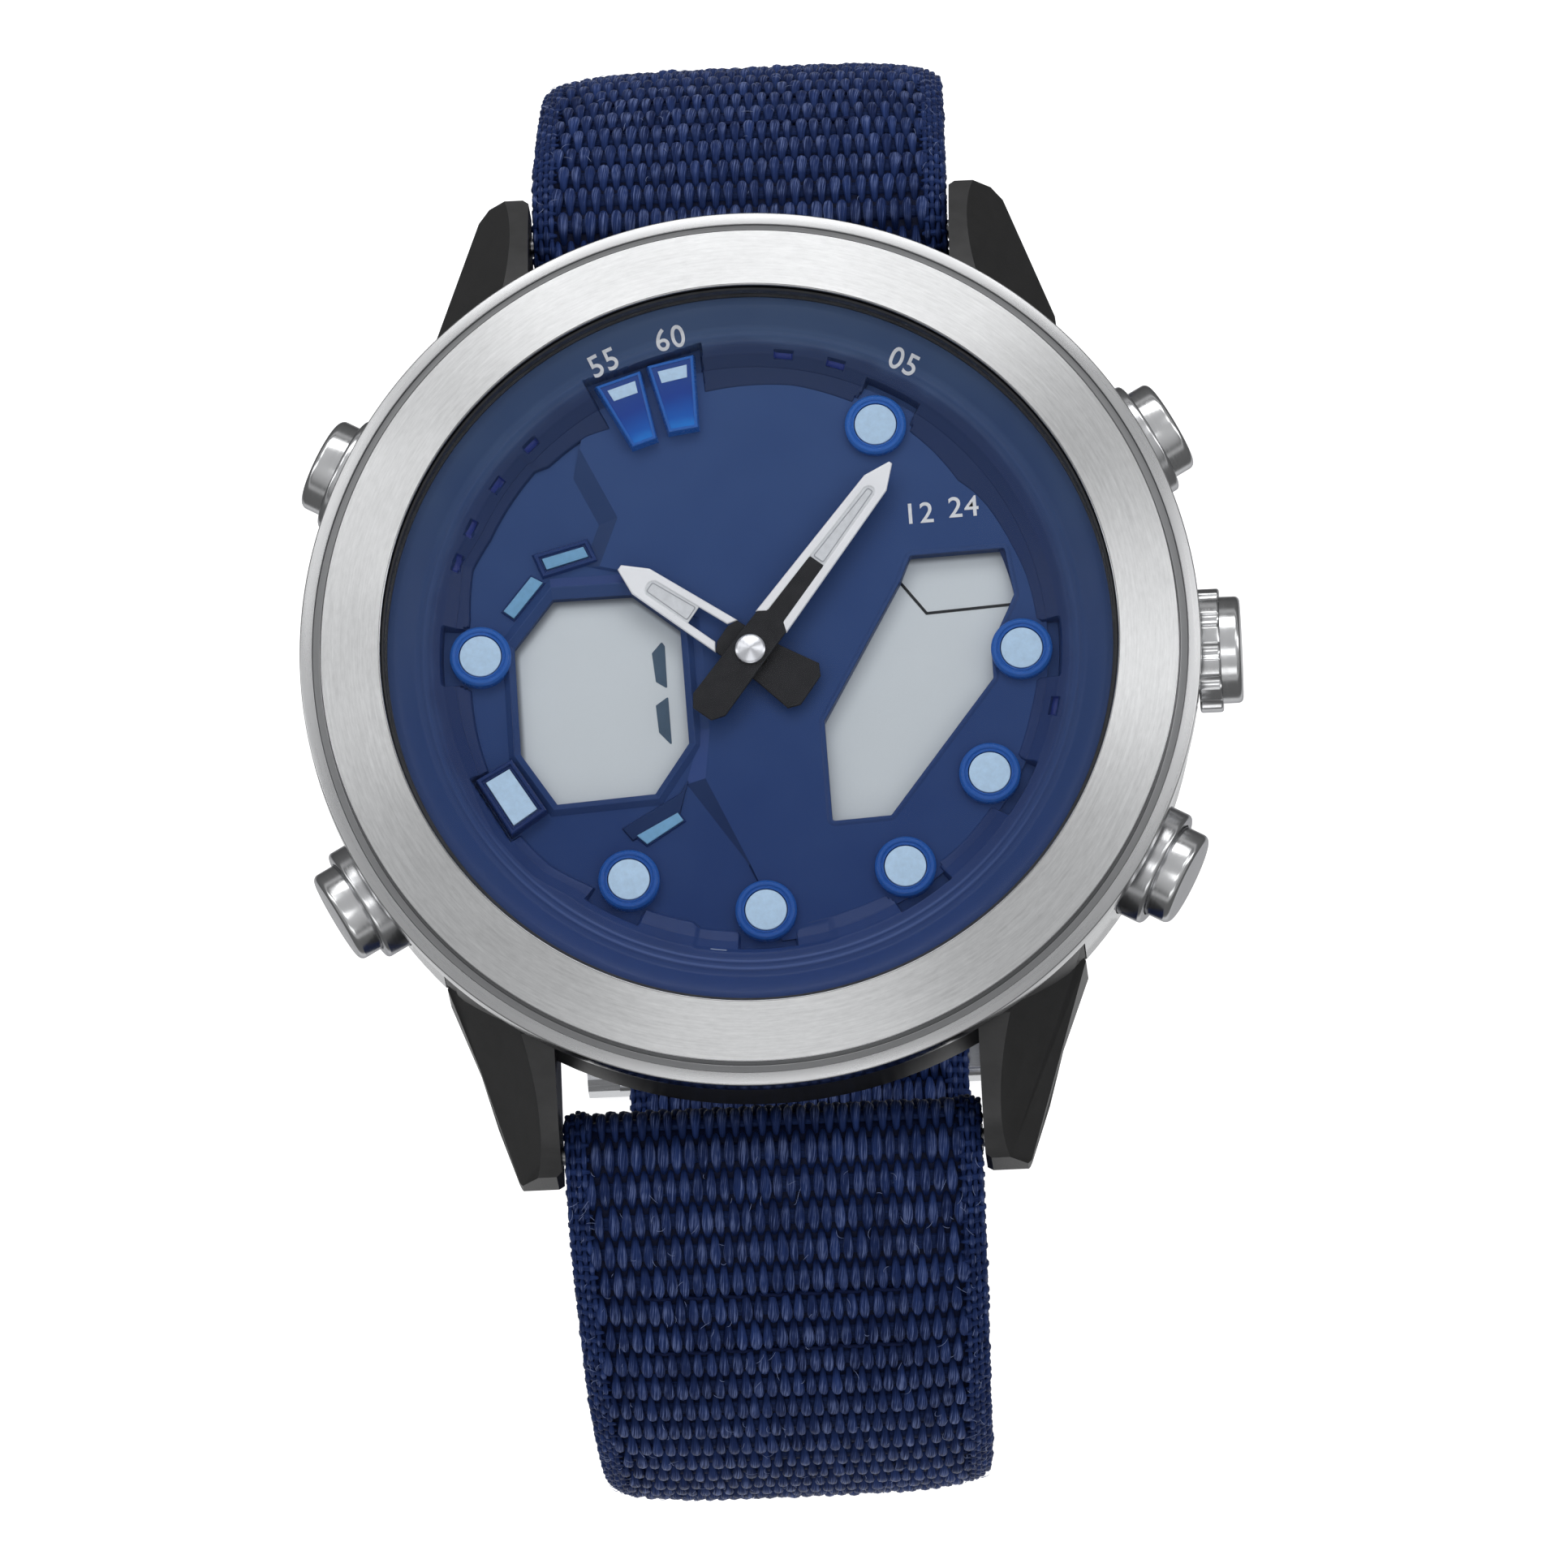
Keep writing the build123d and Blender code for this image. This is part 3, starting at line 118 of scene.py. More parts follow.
# ================================================================ shader helpers
class Mat:
    def __init__(s, name):
        s.m = bpy.data.materials.new(name)
        s.m.use_nodes = True
        s.nt = s.m.node_tree
        s.nt.nodes.clear()
        s.out = s.nt.nodes.new("ShaderNodeOutputMaterial")
        s.p = s.nt.nodes.new("ShaderNodeBsdfPrincipled")
        s.nt.links.new(s.p.outputs[0], s.out.inputs[0])
        s._tc = None

    def put(s, sock, val):
        if hasattr(val, "is_output") or isinstance(val, bpy.types.NodeSocket):
            s.nt.links.new(val, sock)
        else:
            sock.default_value = val

    def set(s, **kw):
        for k, v in kw.items():
            s.put(s.p.inputs[k.replace("_", " ")], v)
        return s

    def tc(s):
        if s._tc is None:
            s._tc = s.nt.nodes.new("ShaderNodeTexCoord")
        return s._tc.outputs["Object"]

    def mm(s):
        """Object coordinates in millimetres."""
        return s.vmath("SCALE", s.tc(), scale=1000.0)

    def vmath(s, op, a, b=None, scale=None):
        n = s.nt.nodes.new("ShaderNodeVectorMath")
        n.operation = op
        s.put(n.inputs[0], a)
        if b is not None:
            s.put(n.inputs[1], b)
        if scale is not None:
            n.inputs["Scale"].default_value = scale
        return n.outputs["Value"] if op in ("LENGTH", "DOT_PRODUCT", "DISTANCE") else n.outputs["Vector"]

    def math(s, op, a, b=None, c=None, clamp=False):
        n = s.nt.nodes.new("ShaderNodeMath")
        n.operation = op
        n.use_clamp = clamp
        s.put(n.inputs[0], a)
        if b is not None:
            s.put(n.inputs[1], b)
        if c is not None:
            s.put(n.inputs[2], c)
        return n.outputs[0]

    def sep(s, v):
        n = s.nt.nodes.new("ShaderNodeSeparateXYZ")
        s.put(n.inputs[0], v)
        return n.outputs[0], n.outputs[1], n.outputs[2]

    def comb(s, x=0.0, y=0.0, z=0.0):
        n = s.nt.nodes.new("ShaderNodeCombineXYZ")
        for i, q in enumerate((x, y, z)):
            s.put(n.inputs[i], q)
        return n.outputs[0]

    def noise(s, vec, scale=1.0, detail=2.0, rough=0.5, dist=0.0):
        n = s.nt.nodes.new("ShaderNodeTexNoise")
        s.put(n.inputs["Vector"], vec)
        n.inputs["Scale"].default_value = scale
        n.inputs["Detail"].default_value = detail
        n.inputs["Roughness"].default_value = rough
        n.inputs["Distortion"].default_value = dist
        return n.outputs[0]

    def voronoi(s, vec, scale=1.0, feature="F1", out="Distance"):
        n = s.nt.nodes.new("ShaderNodeTexVoronoi")
        n.feature = feature
        s.put(n.inputs["Vector"], vec)
        n.inputs["Scale"].default_value = scale
        return n.outputs[out]

    def ramp(s, fac, stops, interp="LINEAR"):
        n = s.nt.nodes.new("ShaderNodeValToRGB")
        n.color_ramp.interpolation = interp
        el = n.color_ramp.elements
        as4 = lambda c: (*c, 1) if hasattr(c, "__len__") else (c, c, c, 1)
        el[-1].position, el[-1].color = stops[-1][0], as4(stops[-1][1])
        el[0].position, el[0].color = stops[0][0], as4(stops[0][1])
        for pos, col in stops[1:-1]:
            el.new(pos).color = as4(col)
        s.put(n.inputs[0], fac)
        return n.outputs[0]

    def maprange(s, v, a, b, c, d, smooth=False):
        n = s.nt.nodes.new("ShaderNodeMapRange")
        if smooth:
            n.interpolation_type = "SMOOTHSTEP"
        s.put(n.inputs["Value"], v)
        for k, q in (("From Min", a), ("From Max", b), ("To Min", c), ("To Max", d)):
            n.inputs[k].default_value = q
        return n.outputs[0]

    def mix(s, fac, a, b, blend="MIX"):
        n = s.nt.nodes.new("ShaderNodeMix")
        n.data_type = "RGBA"
        n.blend_type = blend
        s.put(n.inputs[0], fac)
        s.put(n.inputs[6], (*a, 1) if isinstance(a, tuple) and len(a) == 3 else a)
        s.put(n.inputs[7], (*b, 1) if isinstance(b, tuple) and len(b) == 3 else b)
        return n.outputs[2]

    def bump(s, height, strength=0.3, distance=0.01, normal=None):
        """distance in millimetres."""
        n = s.nt.nodes.new("ShaderNodeBump")
        n.inputs["Strength"].default_value = strength
        n.inputs["Distance"].default_value = distance * MM
        s.put(n.inputs["Height"], height)
        if normal is not None:
            s.put(n.inputs["Normal"], normal)
        return n.outputs[0]

    def attr(s, name):
        n = s.nt.nodes.new("ShaderNodeAttribute")
        n.attribute_name = name
        return n.outputs["Fac"]

    def attr_vec(s, name):
        n = s.nt.nodes.new("ShaderNodeAttribute")
        n.attribute_name = name
        return n.outputs["Vector"]

    def tangent(s, axis="Z"):
        n = s.nt.nodes.new("ShaderNodeTangent")
        n.direction_type = "RADIAL"
        n.axis = axis
        return n.outputs[0]


def srgb(r, g, b):
    f = lambda c: c / 12.92 if c <= 0.04045 else ((c + 0.055) / 1.055) ** 2.4
    return (f(r / 255), f(g / 255), f(b / 255))


def c4(c):
    return (*c, 1.0)


# ---------------------------------------------------------------- metals
def turned_steel(name, base, rough, aniso=0.75, fine=14.0, bump=0.25, streak=0.16, centre=None, axis="Z"):
    """Steel brushed in circles round an axis through centre (mm)."""
    m = Mat(name)
    v = m.mm()
    if centre is not None:
        v = m.vmath("SUBTRACT", v, centre)
    x, y, z = m.sep(v)
    if axis == "X":
        x, y, z = y, z, x
    r = m.math("SQRT", m.math("ADD", m.math("MULTIPLY", x, x), m.math("MULTIPLY", y, y)))
    inv = m.math("DIVIDE", 1.0, m.math("MAXIMUM", r, 0.05))
    cx, cy = m.math("MULTIPLY", x, inv), m.math("MULTIPLY", y, inv)
    long_v = m.comb(m.math("MULTIPLY", cx, 5.0), m.math("MULTIPLY", cy, 5.0), m.math("ADD", m.math("MULTIPLY", r, fine), m.math("MULTIPLY", z, fine)))
    n1 = m.noise(long_v, 1.0, 4.0, 0.65)
    mid_v = m.comb(m.math("MULTIPLY", cx, 11.0), m.math("MULTIPLY", cy, 11.0), m.math("ADD", m.math("MULTIPLY", r, fine * 0.35), m.math("MULTIPLY", z, fine * 0.35)))
    n2 = m.noise(mid_v, 1.0, 3.0, 0.6)
    broad = m.noise(v, 0.16, 2.0, 0.5)
    fine_v = m.comb(m.math("MULTIPLY", cx, 34.0), m.math("MULTIPLY", cy, 34.0), m.math("ADD", m.math("MULTIPLY", r, fine * 0.85), m.math("MULTIPLY", z, fine * 0.85)))
    n3 = m.noise(fine_v, 1.0, 2.0, 0.6)
    tone = m.math("ADD", m.math("MULTIPLY", n1, 0.50), m.math("ADD", m.math("MULTIPLY", n2, 0.15), m.math("MULTIPLY", n3, 0.35)))
    lo = tuple(c * (1 - streak) for c in base)
    hi = tuple(min(1.0, c * (1 + streak)) for c in base)
    m.set(Base_Color=m.ramp(tone, [(0.30, lo), (0.70, hi)]), Metallic=1.0)
    m.set(Roughness=m.maprange(m.math("ADD", m.math("MULTIPLY", n1, 0.6), m.math("MULTIPLY", broad, 0.4)), 0.3, 0.7, rough * 0.86, rough * 1.16))
    if aniso:
        m.set(Anisotropic=aniso, Anisotropic_Rotation=0.25, Tangent=m.tangent(axis))
    m.set(Normal=m.bump(tone, bump, 0.02))
    return m.m


def plain_metal(name, base, rough, grain=0.0, scale=9.0, spots=0.05):
    m = Mat(name)
    v = m.mm()
    n = m.noise(v, scale, 3.0, 0.6)
    b = m.noise(v, 0.4, 2.0, 0.5)
    lo = tuple(c * (1 - spots) for c in base)
    hi = tuple(min(1, c * (1 + spots)) for c in base)
    m.set(Base_Color=m.ramp(b, [(0.35, lo), (0.65, hi)]), Metallic=1.0,
          Roughness=m.maprange(m.math("ADD", m.math("MULTIPLY", n, 0.5), m.math("MULTIPLY", b, 0.5)), 0.3, 0.7, rough * 0.8, rough * 1.25))
    if grain:
        m.set(Normal=m.bump(n, grain, 0.02))
    return m.m


def straight_brushed(name, base, rough, along=(1, 0, 0), fine=12.0, slow=0.5, bump=0.2):
    """Brushing in straight lines along one axis."""
    m = Mat(name)
    k = tuple(slow if a else fine for a in along)
    v = m.vmath("MULTIPLY", m.mm(), k)
    n = m.noise(v, 1.0, 3.0, 0.6)
    m.set(Base_Color=m.ramp(n, [(0.3, tuple(c * 0.88 for c in base)), (0.7, tuple(min(1, c * 1.08) for c in base))]), Metallic=1.0,
          Roughness=m.maprange(n, 0.3, 0.7, rough * 0.85, rough * 1.2), Normal=m.bump(n, bump, 0.02))
    return m.m


def plastic(name, base, rough, vary=0.12, scale=1.2, grain=0.05, grain_scale=14.0, spec=0.5, coat=0.0):
    m = Mat(name)
    v = m.mm()
    n = m.noise(v, scale, 3.0, 0.55)
    g = m.noise(v, grain_scale, 2.0, 0.6)
    m.set(Base_Color=m.ramp(n, [(0.3, tuple(c * (1 - vary) for c in base)), (0.7, tuple(min(1, c * (1 + vary)) for c in base))]),
          Roughness=m.maprange(g, 0.3, 0.7, rough * 0.9, rough * 1.12), Normal=m.bump(g, grain, 0.03))
    m.p.inputs["Specular IOR Level"].default_value = spec
    if coat:
        m.p.inputs["Coat Weight"].default_value = coat
        m.p.inputs["Coat Roughness"].default_value = 0.08
    return m.m


STEEL = (0.66, 0.67, 0.685)
M_BEZEL = turned_steel("bezel_brushed_steel", (0.66, 0.665, 0.67), 0.34, fine=11.0, bump=0.34, streak=0.16)
# painted shade: the groove's steel has a darker base colour than the bezel face, for the shade in the recess
M_GROOVE_PAINTED_SHADE = turned_steel("groove_turned_steel_painted_shade", (0.34, 0.343, 0.35), 0.32, aniso=0.3, fine=6.0, bump=0.05, streak=0.05)
M_RIM = turned_steel("rim_turned_steel", (0.53, 0.533, 0.54), 0.28, aniso=0.6, fine=8.0, bump=0.05, streak=0.04)
M_BAND = turned_steel("band_turned_steel", (0.40, 0.403, 0.412), 0.16, aniso=0.2, fine=5.0, bump=0.03, streak=0.05)
M_POLISH = plain_metal("polished_steel", (0.70, 0.705, 0.72), 0.13, grain=0.03)
M_BACK = turned_steel("case_back_steel", (0.62, 0.63, 0.645), 0.30, aniso=0.7, fine=10.0)
M_SCREW = plain_metal("screw_steel", (0.66, 0.67, 0.69), 0.22, grain=0.05)
M_BUCKLE = straight_brushed("buckle_steel", (0.66, 0.67, 0.69), 0.24, along=(1, 0, 0), bump=0.10)
M_BLACK = plastic("black_coated_case", (0.0135, 0.0135, 0.0139), 0.40, vary=0.16, scale=0.8, grain=0.12, grain_scale=22.0, spec=0.26)
M_RUBBER = plastic("black_rubber", (0.012, 0.012, 0.013), 0.62, vary=0.2, grain=0.2, spec=0.3)
M_GASKET = plastic("crystal_gasket_rubber", (0.030, 0.031, 0.035), 0.5, vary=0.2, grain=0.1, spec=0.35)
M_HOLDER = plastic("holder_black_plastic", (0.018, 0.018, 0.02), 0.5)
M_BOARD = plastic("board_green", (0.012, 0.075, 0.035), 0.45, vary=0.25, scale=3.0)
M_ZEBRA = plastic("zebra_connector", (0.10, 0.06, 0.07), 0.6, vary=0.5, scale=5.0)
M_BRASS = plain_metal("brass_parts", (0.62, 0.43, 0.17), 0.28, grain=0.06)
M_COPPER = straight_brushed("copper_coil", (0.63, 0.27, 0.13), 0.34, along=(0, 1, 0), fine=8.0, bump=0.5)
M_CELL = plain_metal("cell_steel", (0.60, 0.60, 0.61), 0.3, grain=0.08)
M_STEELPART = plain_metal("stamped_steel", (0.55, 0.56, 0.58), 0.3, grain=0.08)

# ---------------------------------------------------------------- mesh helpers
def link(ob):
    COLL.objects.link(ob)
    return ob


def give(ob, mat, body, replaces=()):
    ob.data.materials.clear()
    ob.data.materials.append(mat)
    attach(ob, body)
    if replaces:
        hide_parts(*replaces)
    return ob


def mesh_np(name, co_mm, quads, caps=None, uv=None, attrs=None, smooth=True):
    """Mesh from numpy arrays: quads (m,4) and a list of n-gon caps."""
    me = bpy.data.meshes.new(name)
    co = np.ascontiguousarray(co_mm, dtype=np.float32) * np.float32(MM)
    me.vertices.add(len(co))
    me.vertices.foreach_set("co", co.ravel())
    loops = quads.ravel().astype(np.int32)
    starts = np.arange(len(quads), dtype=np.int32) * 4
    if caps is not None and len(caps):
        caps = np.asarray(caps, np.int32)
        k = caps.shape[1]
        starts = np.concatenate([starts, len(loops) + np.arange(len(caps), dtype=np.int32) * k])
        loops = np.concatenate([loops, caps.ravel()])
    me.loops.add(len(loops))
    me.loops.foreach_set("vertex_index", loops)
    me.polygons.add(len(starts))
    me.polygons.foreach_set("loop_start", starts)
    if uv is not None:
        lay = me.uv_layers.new(name="yarn_uv")
        full = np.zeros((len(loops), 2), np.float32)
        full[:len(uv)] = uv
        lay.data.foreach_set("uv", full.ravel())
    if attrs:
        for k, a in attrs.items():
            t = me.attributes.new(k, "FLOAT", "POINT")
            t.data.foreach_set("value", np.asarray(a, np.float32))
    me.update(calc_edges=True)
    me.validate()
    if smooth:
        me.shade_smooth()
    return link(bpy.data.objects.new(name, me))


def sharp_by_angle(me, angle):
    bm = bmesh.new()
    bm.from_mesh(me)
    a = rad(angle)
    for ed in bm.edges:
        if len(ed.link_faces) == 2:
            ed.smooth = ed.calc_face_angle(0.0) < a
        else:
            ed.smooth = False
    for f in bm.faces:
        f.smooth = True
    bm.to_mesh(me)
    bm.free()


def weighted(ob):
    m = ob.modifiers.new("weighted_normals", "WEIGHTED_NORMAL")
    m.keep_sharp = True
    m.weight = 50


def fillet(pts, radii, seg=5, closed=True):
    """Rounds the corners of a 2-D outline."""
    n = len(pts)
    out = []
    for i, p in enumerate(pts):
        r = radii[i] if hasattr(radii, "__len__") else radii
        if (not closed and i in (0, n - 1)) or r <= 0:
            out.append(p)
            continue
        a, b = pts[i - 1], pts[(i + 1) % n]
        va = Vector((a[0] - p[0], a[1] - p[1])); vb = Vector((b[0] - p[0], b[1] - p[1]))
        la, lb = va.length, vb.length
        va.normalize(); vb.normalize()
        ang = math.acos(max(-1, min(1, va.dot(vb))))
        if ang > rad(176) or ang < rad(4):
            out.append(p)
            continue
        t = min(r / math.tan(ang / 2), la * 0.45, lb * 0.45)
        rr = t * math.tan(ang / 2)
        pa = Vector(p) + va * t
        pb = Vector(p) + vb * t
        bis = (va + vb).normalized()
        c = Vector(p) + bis * (rr / math.sin(ang / 2))
        a0 = math.atan2(pa.y - c.y, pa.x - c.x)
        a1 = math.atan2(pb.y - c.y, pb.x - c.x)
        d = (a1 - a0 + pi) % (2 * pi) - pi
        for k in range(seg + 1):
            q = a0 + d * k / seg
            out.append((c.x + rr * cos(q), c.y + rr * sin(q)))
    return out


def revolve(name, prof, seg=256, closed=True, origin=(0, 0, 0), axis="Z", angle=0.0, sharp=38):
    """Revolves (radius, height) points. axis Z, or a radial direction in XY at angle degrees."""
    n = len(prof)
    P = np.array(prof, float)
    th = np.arange(seg) * 2 * pi / seg
    r, h = P[:, 0], P[:, 1]
    c, s = np.cos(th)[:, None], np.sin(th)[:, None]
    if axis == "Z":
        co = np.stack([r * c, r * s, np.broadcast_to(h, (seg, n))], -1)
    else:
        d = np.array([cos(rad(angle)), sin(rad(angle)), 0.0])
        e1 = np.array([-sin(rad(angle)), cos(rad(angle)), 0.0])
        e2 = np.array([0.0, 0.0, 1.0])
        co = (h[None, :, None] * d + (r * c)[..., None] * e1 + (r * s)[..., None] * e2)
    co = co.reshape(-1, 3) + np.array(origin)
    quads = []
    last = n if closed else n - 1
    i = np.arange(seg)
    for k in range(last):
        k2 = (k + 1) % n
        quads.append(np.stack([i * n + k, ((i + 1) % seg) * n + k, ((i + 1) % seg) * n + k2, i * n + k2], -1))
    quads = np.concatenate(quads)
    ob = mesh_np(name, co, quads)
    me = ob.data
    bm = bmesh.new()
    bm.from_mesh(me)
    bmesh.ops.remove_doubles(bm, verts=bm.verts, dist=1e-7)
    bmesh.ops.recalc_face_normals(bm, faces=bm.faces)
    a = rad(sharp)
    for ed in bm.edges:
        ed.smooth = len(ed.link_faces) == 2 and ed.calc_face_angle(0.0) < a
    for f in bm.faces:
        f.smooth = True
    bm.to_mesh(me)
    bm.free()
    return ob


def plate(name, outlines, z0, z1, bevel=0.05, res=2, sharp=40):
    """A flat plate with holes and rounded edges: outlines in XY (mm), first the outside."""
    cu = bpy.data.curves.new(name + "_cu", "CURVE")
    cu.dimensions = "2D"
    cu.fill_mode = "BOTH"
    for o in outlines:
        sp = cu.splines.new("POLY")
        sp.points.add(len(o) - 1)
        sp.points.foreach_set("co", np.array([(x * MM, y * MM, 0, 1) for x, y in o], np.float32).ravel())
        sp.use_cyclic_u = True
    cu.extrude = max(1e-9, ((z1 - z0) / 2 - bevel) * MM)
    cu.bevel_depth = bevel * MM
    cu.bevel_resolution = res
    cu.offset = -bevel * MM
    tmp = bpy.data.objects.new(name + "_cu", cu)
    link(tmp)
    bpy.context.view_layer.update()
    me = bpy.data.meshes.new_from_object(tmp.evaluated_get(bpy.context.evaluated_depsgraph_get()))
    bpy.data.objects.remove(tmp)
    me.name = name
    me.transform(Matrix.Translation((0, 0, (z0 + z1) / 2 * MM)))
    bm = bmesh.new()
    bm.from_mesh(me)
    bmesh.ops.remove_doubles(bm, verts=bm.verts, dist=1e-7)
    bmesh.ops.recalc_face_normals(bm, faces=bm.faces)
    a = rad(sharp)
    for ed in bm.edges:
        ed.smooth = len(ed.link_faces) == 2 and ed.calc_face_angle(0.0) < a
    for f in bm.faces:
        f.smooth = True
    bm.to_mesh(me)
    bm.free()
    ob = link(bpy.data.objects.new(name, me))
    weighted(ob)
    return ob


def circle_pts(x, y, r, n=96):
    return [(x + r * cos(2 * pi * k / n), y + r * sin(2 * pi * k / n)) for k in range(n)]


def cad_copy(name, node, width=0.08, seg=2, angle=32, dissolve=0.6, merge=2e-6):
    """A finer copy of a CAD node: flat faces joined, then its edges rounded."""
    src = NODES[node].data
    me = bpy.data.meshes.new(name)
    me.from_pydata([tuple(v.co) for v in src.vertices], [], [tuple(p.vertices) for p in src.polygons])
    bm = bmesh.new()
    bm.from_mesh(me)
    bmesh.ops.remove_doubles(bm, verts=bm.verts, dist=merge)
    bmesh.ops.dissolve_limit(bm, angle_limit=rad(dissolve), verts=bm.verts, edges=bm.edges)
    bmesh.ops.recalc_face_normals(bm, faces=bm.faces)
    for f in bm.faces:
        f.smooth = True
    a = rad(angle)
    for ed in bm.edges:
        ed.smooth = len(ed.link_faces) == 2 and ed.calc_face_angle(0.0) < a
    bm.to_mesh(me)
    bm.free()
    ob = link(bpy.data.objects.new(name, me))
    if width > 0:
        b = ob.modifiers.new("edge", "BEVEL")
        b.limit_method = "ANGLE"
        b.angle_limit = rad(angle)
        b.width = width * MM
        b.segments = seg
        b.use_clamp_overlap = True
        b.miter_outer = "MITER_ARC"
        b.harden_normals = True
    return ob

# ================================================================ strap
BAR, BAR_R = (24.5, 2.2), 0.9
BUCK, BUCK_R = (0.5, -38.8), 0.75
PLY, ZF, RA = 1.40, -41.0, 34.0
CB = (15.0, -16.4)
RB = hypot(BAR[0] - CB[0], BAR[1] - CB[1]) + BAR_R + 0.05 + PLY
CA = (CB[0] - sqrt((RA - RB) ** 2 - (CB[1] - (ZF + RA)) ** 2), ZF + RA)
P_AB = deg(math.atan2(CB[1] - CA[1], CB[0] - CA[0]))
P_BAR = deg(math.atan2(BAR[1] - CB[1], BAR[0] - CB[0]))
TAIL_PHI = -34.0
RIB = 1.78              # one rib of the weave, along the strap
PICK = RIB / 3          # fine picks of the woven edge
EDGE_W = 1.12           # woven edge


def arc_pts(c, r, a0, a1, side=1, step=0.6):
    n = max(2, int(abs(a1 - a0) / step))
    return [(side * (c[0] + r * cos(rad(a0 + (a1 - a0) * k / n))), c[1] + r * sin(rad(a0 + (a1 - a0) * k / n))) for k in range(n + 1)]


class Track:
    """The middle line of one strap length, by distance along it."""
    def __init__(s, pts, side, sigma=0.28):
        p = np.array(pts, float)
        d = np.concatenate([[0], np.cumsum(np.hypot(*np.diff(p, axis=0).T))])
        keep = np.concatenate([[True], np.diff(d) > 1e-6])
        p, d = p[keep], d[keep]
        h = 0.05
        q = np.arange(0, d[-1], h)
        y, z = np.interp(q, d, p[:, 0]), np.interp(q, d, p[:, 1])
        k = int(4 * sigma / h)
        w = np.exp(-0.5 * (np.arange(-k, k + 1) * h / sigma) ** 2)
        w /= w.sum()
        def smooth(v):
            a = 2 * v[0] - v[k:0:-1]
            b = 2 * v[-1] - v[-2:-k - 2:-1]
            return np.convolve(np.concatenate([a, v, b]), w, "valid")
        y, z = smooth(y), smooth(z)
        dy, dz = np.gradient(y), np.gradient(z)
        l = np.hypot(dy, dz)
        s.s = np.concatenate([[0], np.cumsum(np.hypot(np.diff(y), np.diff(z)))])
        s.y, s.z = y, z
        s.ny, s.nz = side * -dz / l, side * dy / l
        s.length = s.s[-1]

    def at(s, q):
        f = lambda a: np.interp(q, s.s, a)
        ny, nz = f(s.ny), f(s.nz)
        l = np.hypot(ny, nz)
        return f(s.y), f(s.z), ny / l, nz / l

    def near(s, y, z):
        return float(s.s[np.argmin((s.y - y) ** 2 + (s.z - z) ** 2)])


def half_width(z):
    return np.interp(z, [-37.0, -16.4, 2.5], [9.06, 10.20, 10.84])


mb = BAR_R + 0.05 + PLY / 2 + 0.03
flap = arc_pts(CB, RB - 1.5 * PLY, P_BAR - 30, P_BAR - 17)
fold = [(BAR[0] + mb * cos(rad(a)), BAR[1] + mb * sin(rad(a))) for a in np.arange(228, P_BAR, -4)]
down = arc_pts(CB, RB - PLY / 2, P_BAR, P_AB) + arc_pts(CA, RA - PLY / 2, P_AB, -90)[1:]
kb = BUCK_R + 0.05 + PLY / 2 + 0.02
up_pts = flap + fold + down + [(BUCK[0] + 0.4, ZF + PLY / 2)]
up_pts += [(BUCK[0] + kb * cos(rad(a)), BUCK[1] + kb * sin(rad(a))) for a in np.arange(-92, -262, -5)]
up_pts += [(BUCK[0] + 0.9, BUCK[1] + 1.40), (BUCK[0] + 4.1, ZF + 1.5 * PLY), (11.4, ZF + 1.5 * PLY)]
UP = Track(up_pts, 1)
D1 = PLY / 2 + 0.05
lo_pts = [(-y, z) for y, z in flap + fold + down]
lo_pts += [(-7.72, ZF + PLY / 2), (-1.28, ZF - D1), (CA[0], ZF - D1)]
lo_pts += arc_pts(CA, RA + D1, -90, P_AB)[1:] + arc_pts(CB, RB + D1, P_AB, TAIL_PHI)[1:]
# the lower strap runs the other way round, so its outward side is on the other hand
LO = Track(lo_pts, -1)


def lean(tr, s):
    """How far the strap's edges curl inward, 0 to 1, along a track: the straight runs between the folds only."""
    y, z, _, _ = tr.at(s)
    r = np.hypot(np.abs(y) - BAR[0], z - BAR[1])
    a = np.clip((r - 2.6) / 7.0, 0, 1)
    b = np.clip((z + 37.5) / 9.0, 0, 1)
    w = a * a * (3 - 2 * a) * b * b * (3 - 2 * b)
    return w


def opening(tr, holes):
    """Each hole is (s, x, radius): warp yarns part round it."""
    def push(x, s):
        for hs, hx, hr in holes:
            ds = (s - hs)
            rr = hr + 0.22
            h2 = np.clip(rr ** 2 - (ds * 0.82) ** 2, 0, None)
            dx = x - hx
            sg = np.where(dx >= 0, 1.0, -1.0)
            x = hx + sg * np.sqrt(dx * dx + h2 * np.exp(-(np.abs(dx) / 3.0) ** 2))
        return x
    return push


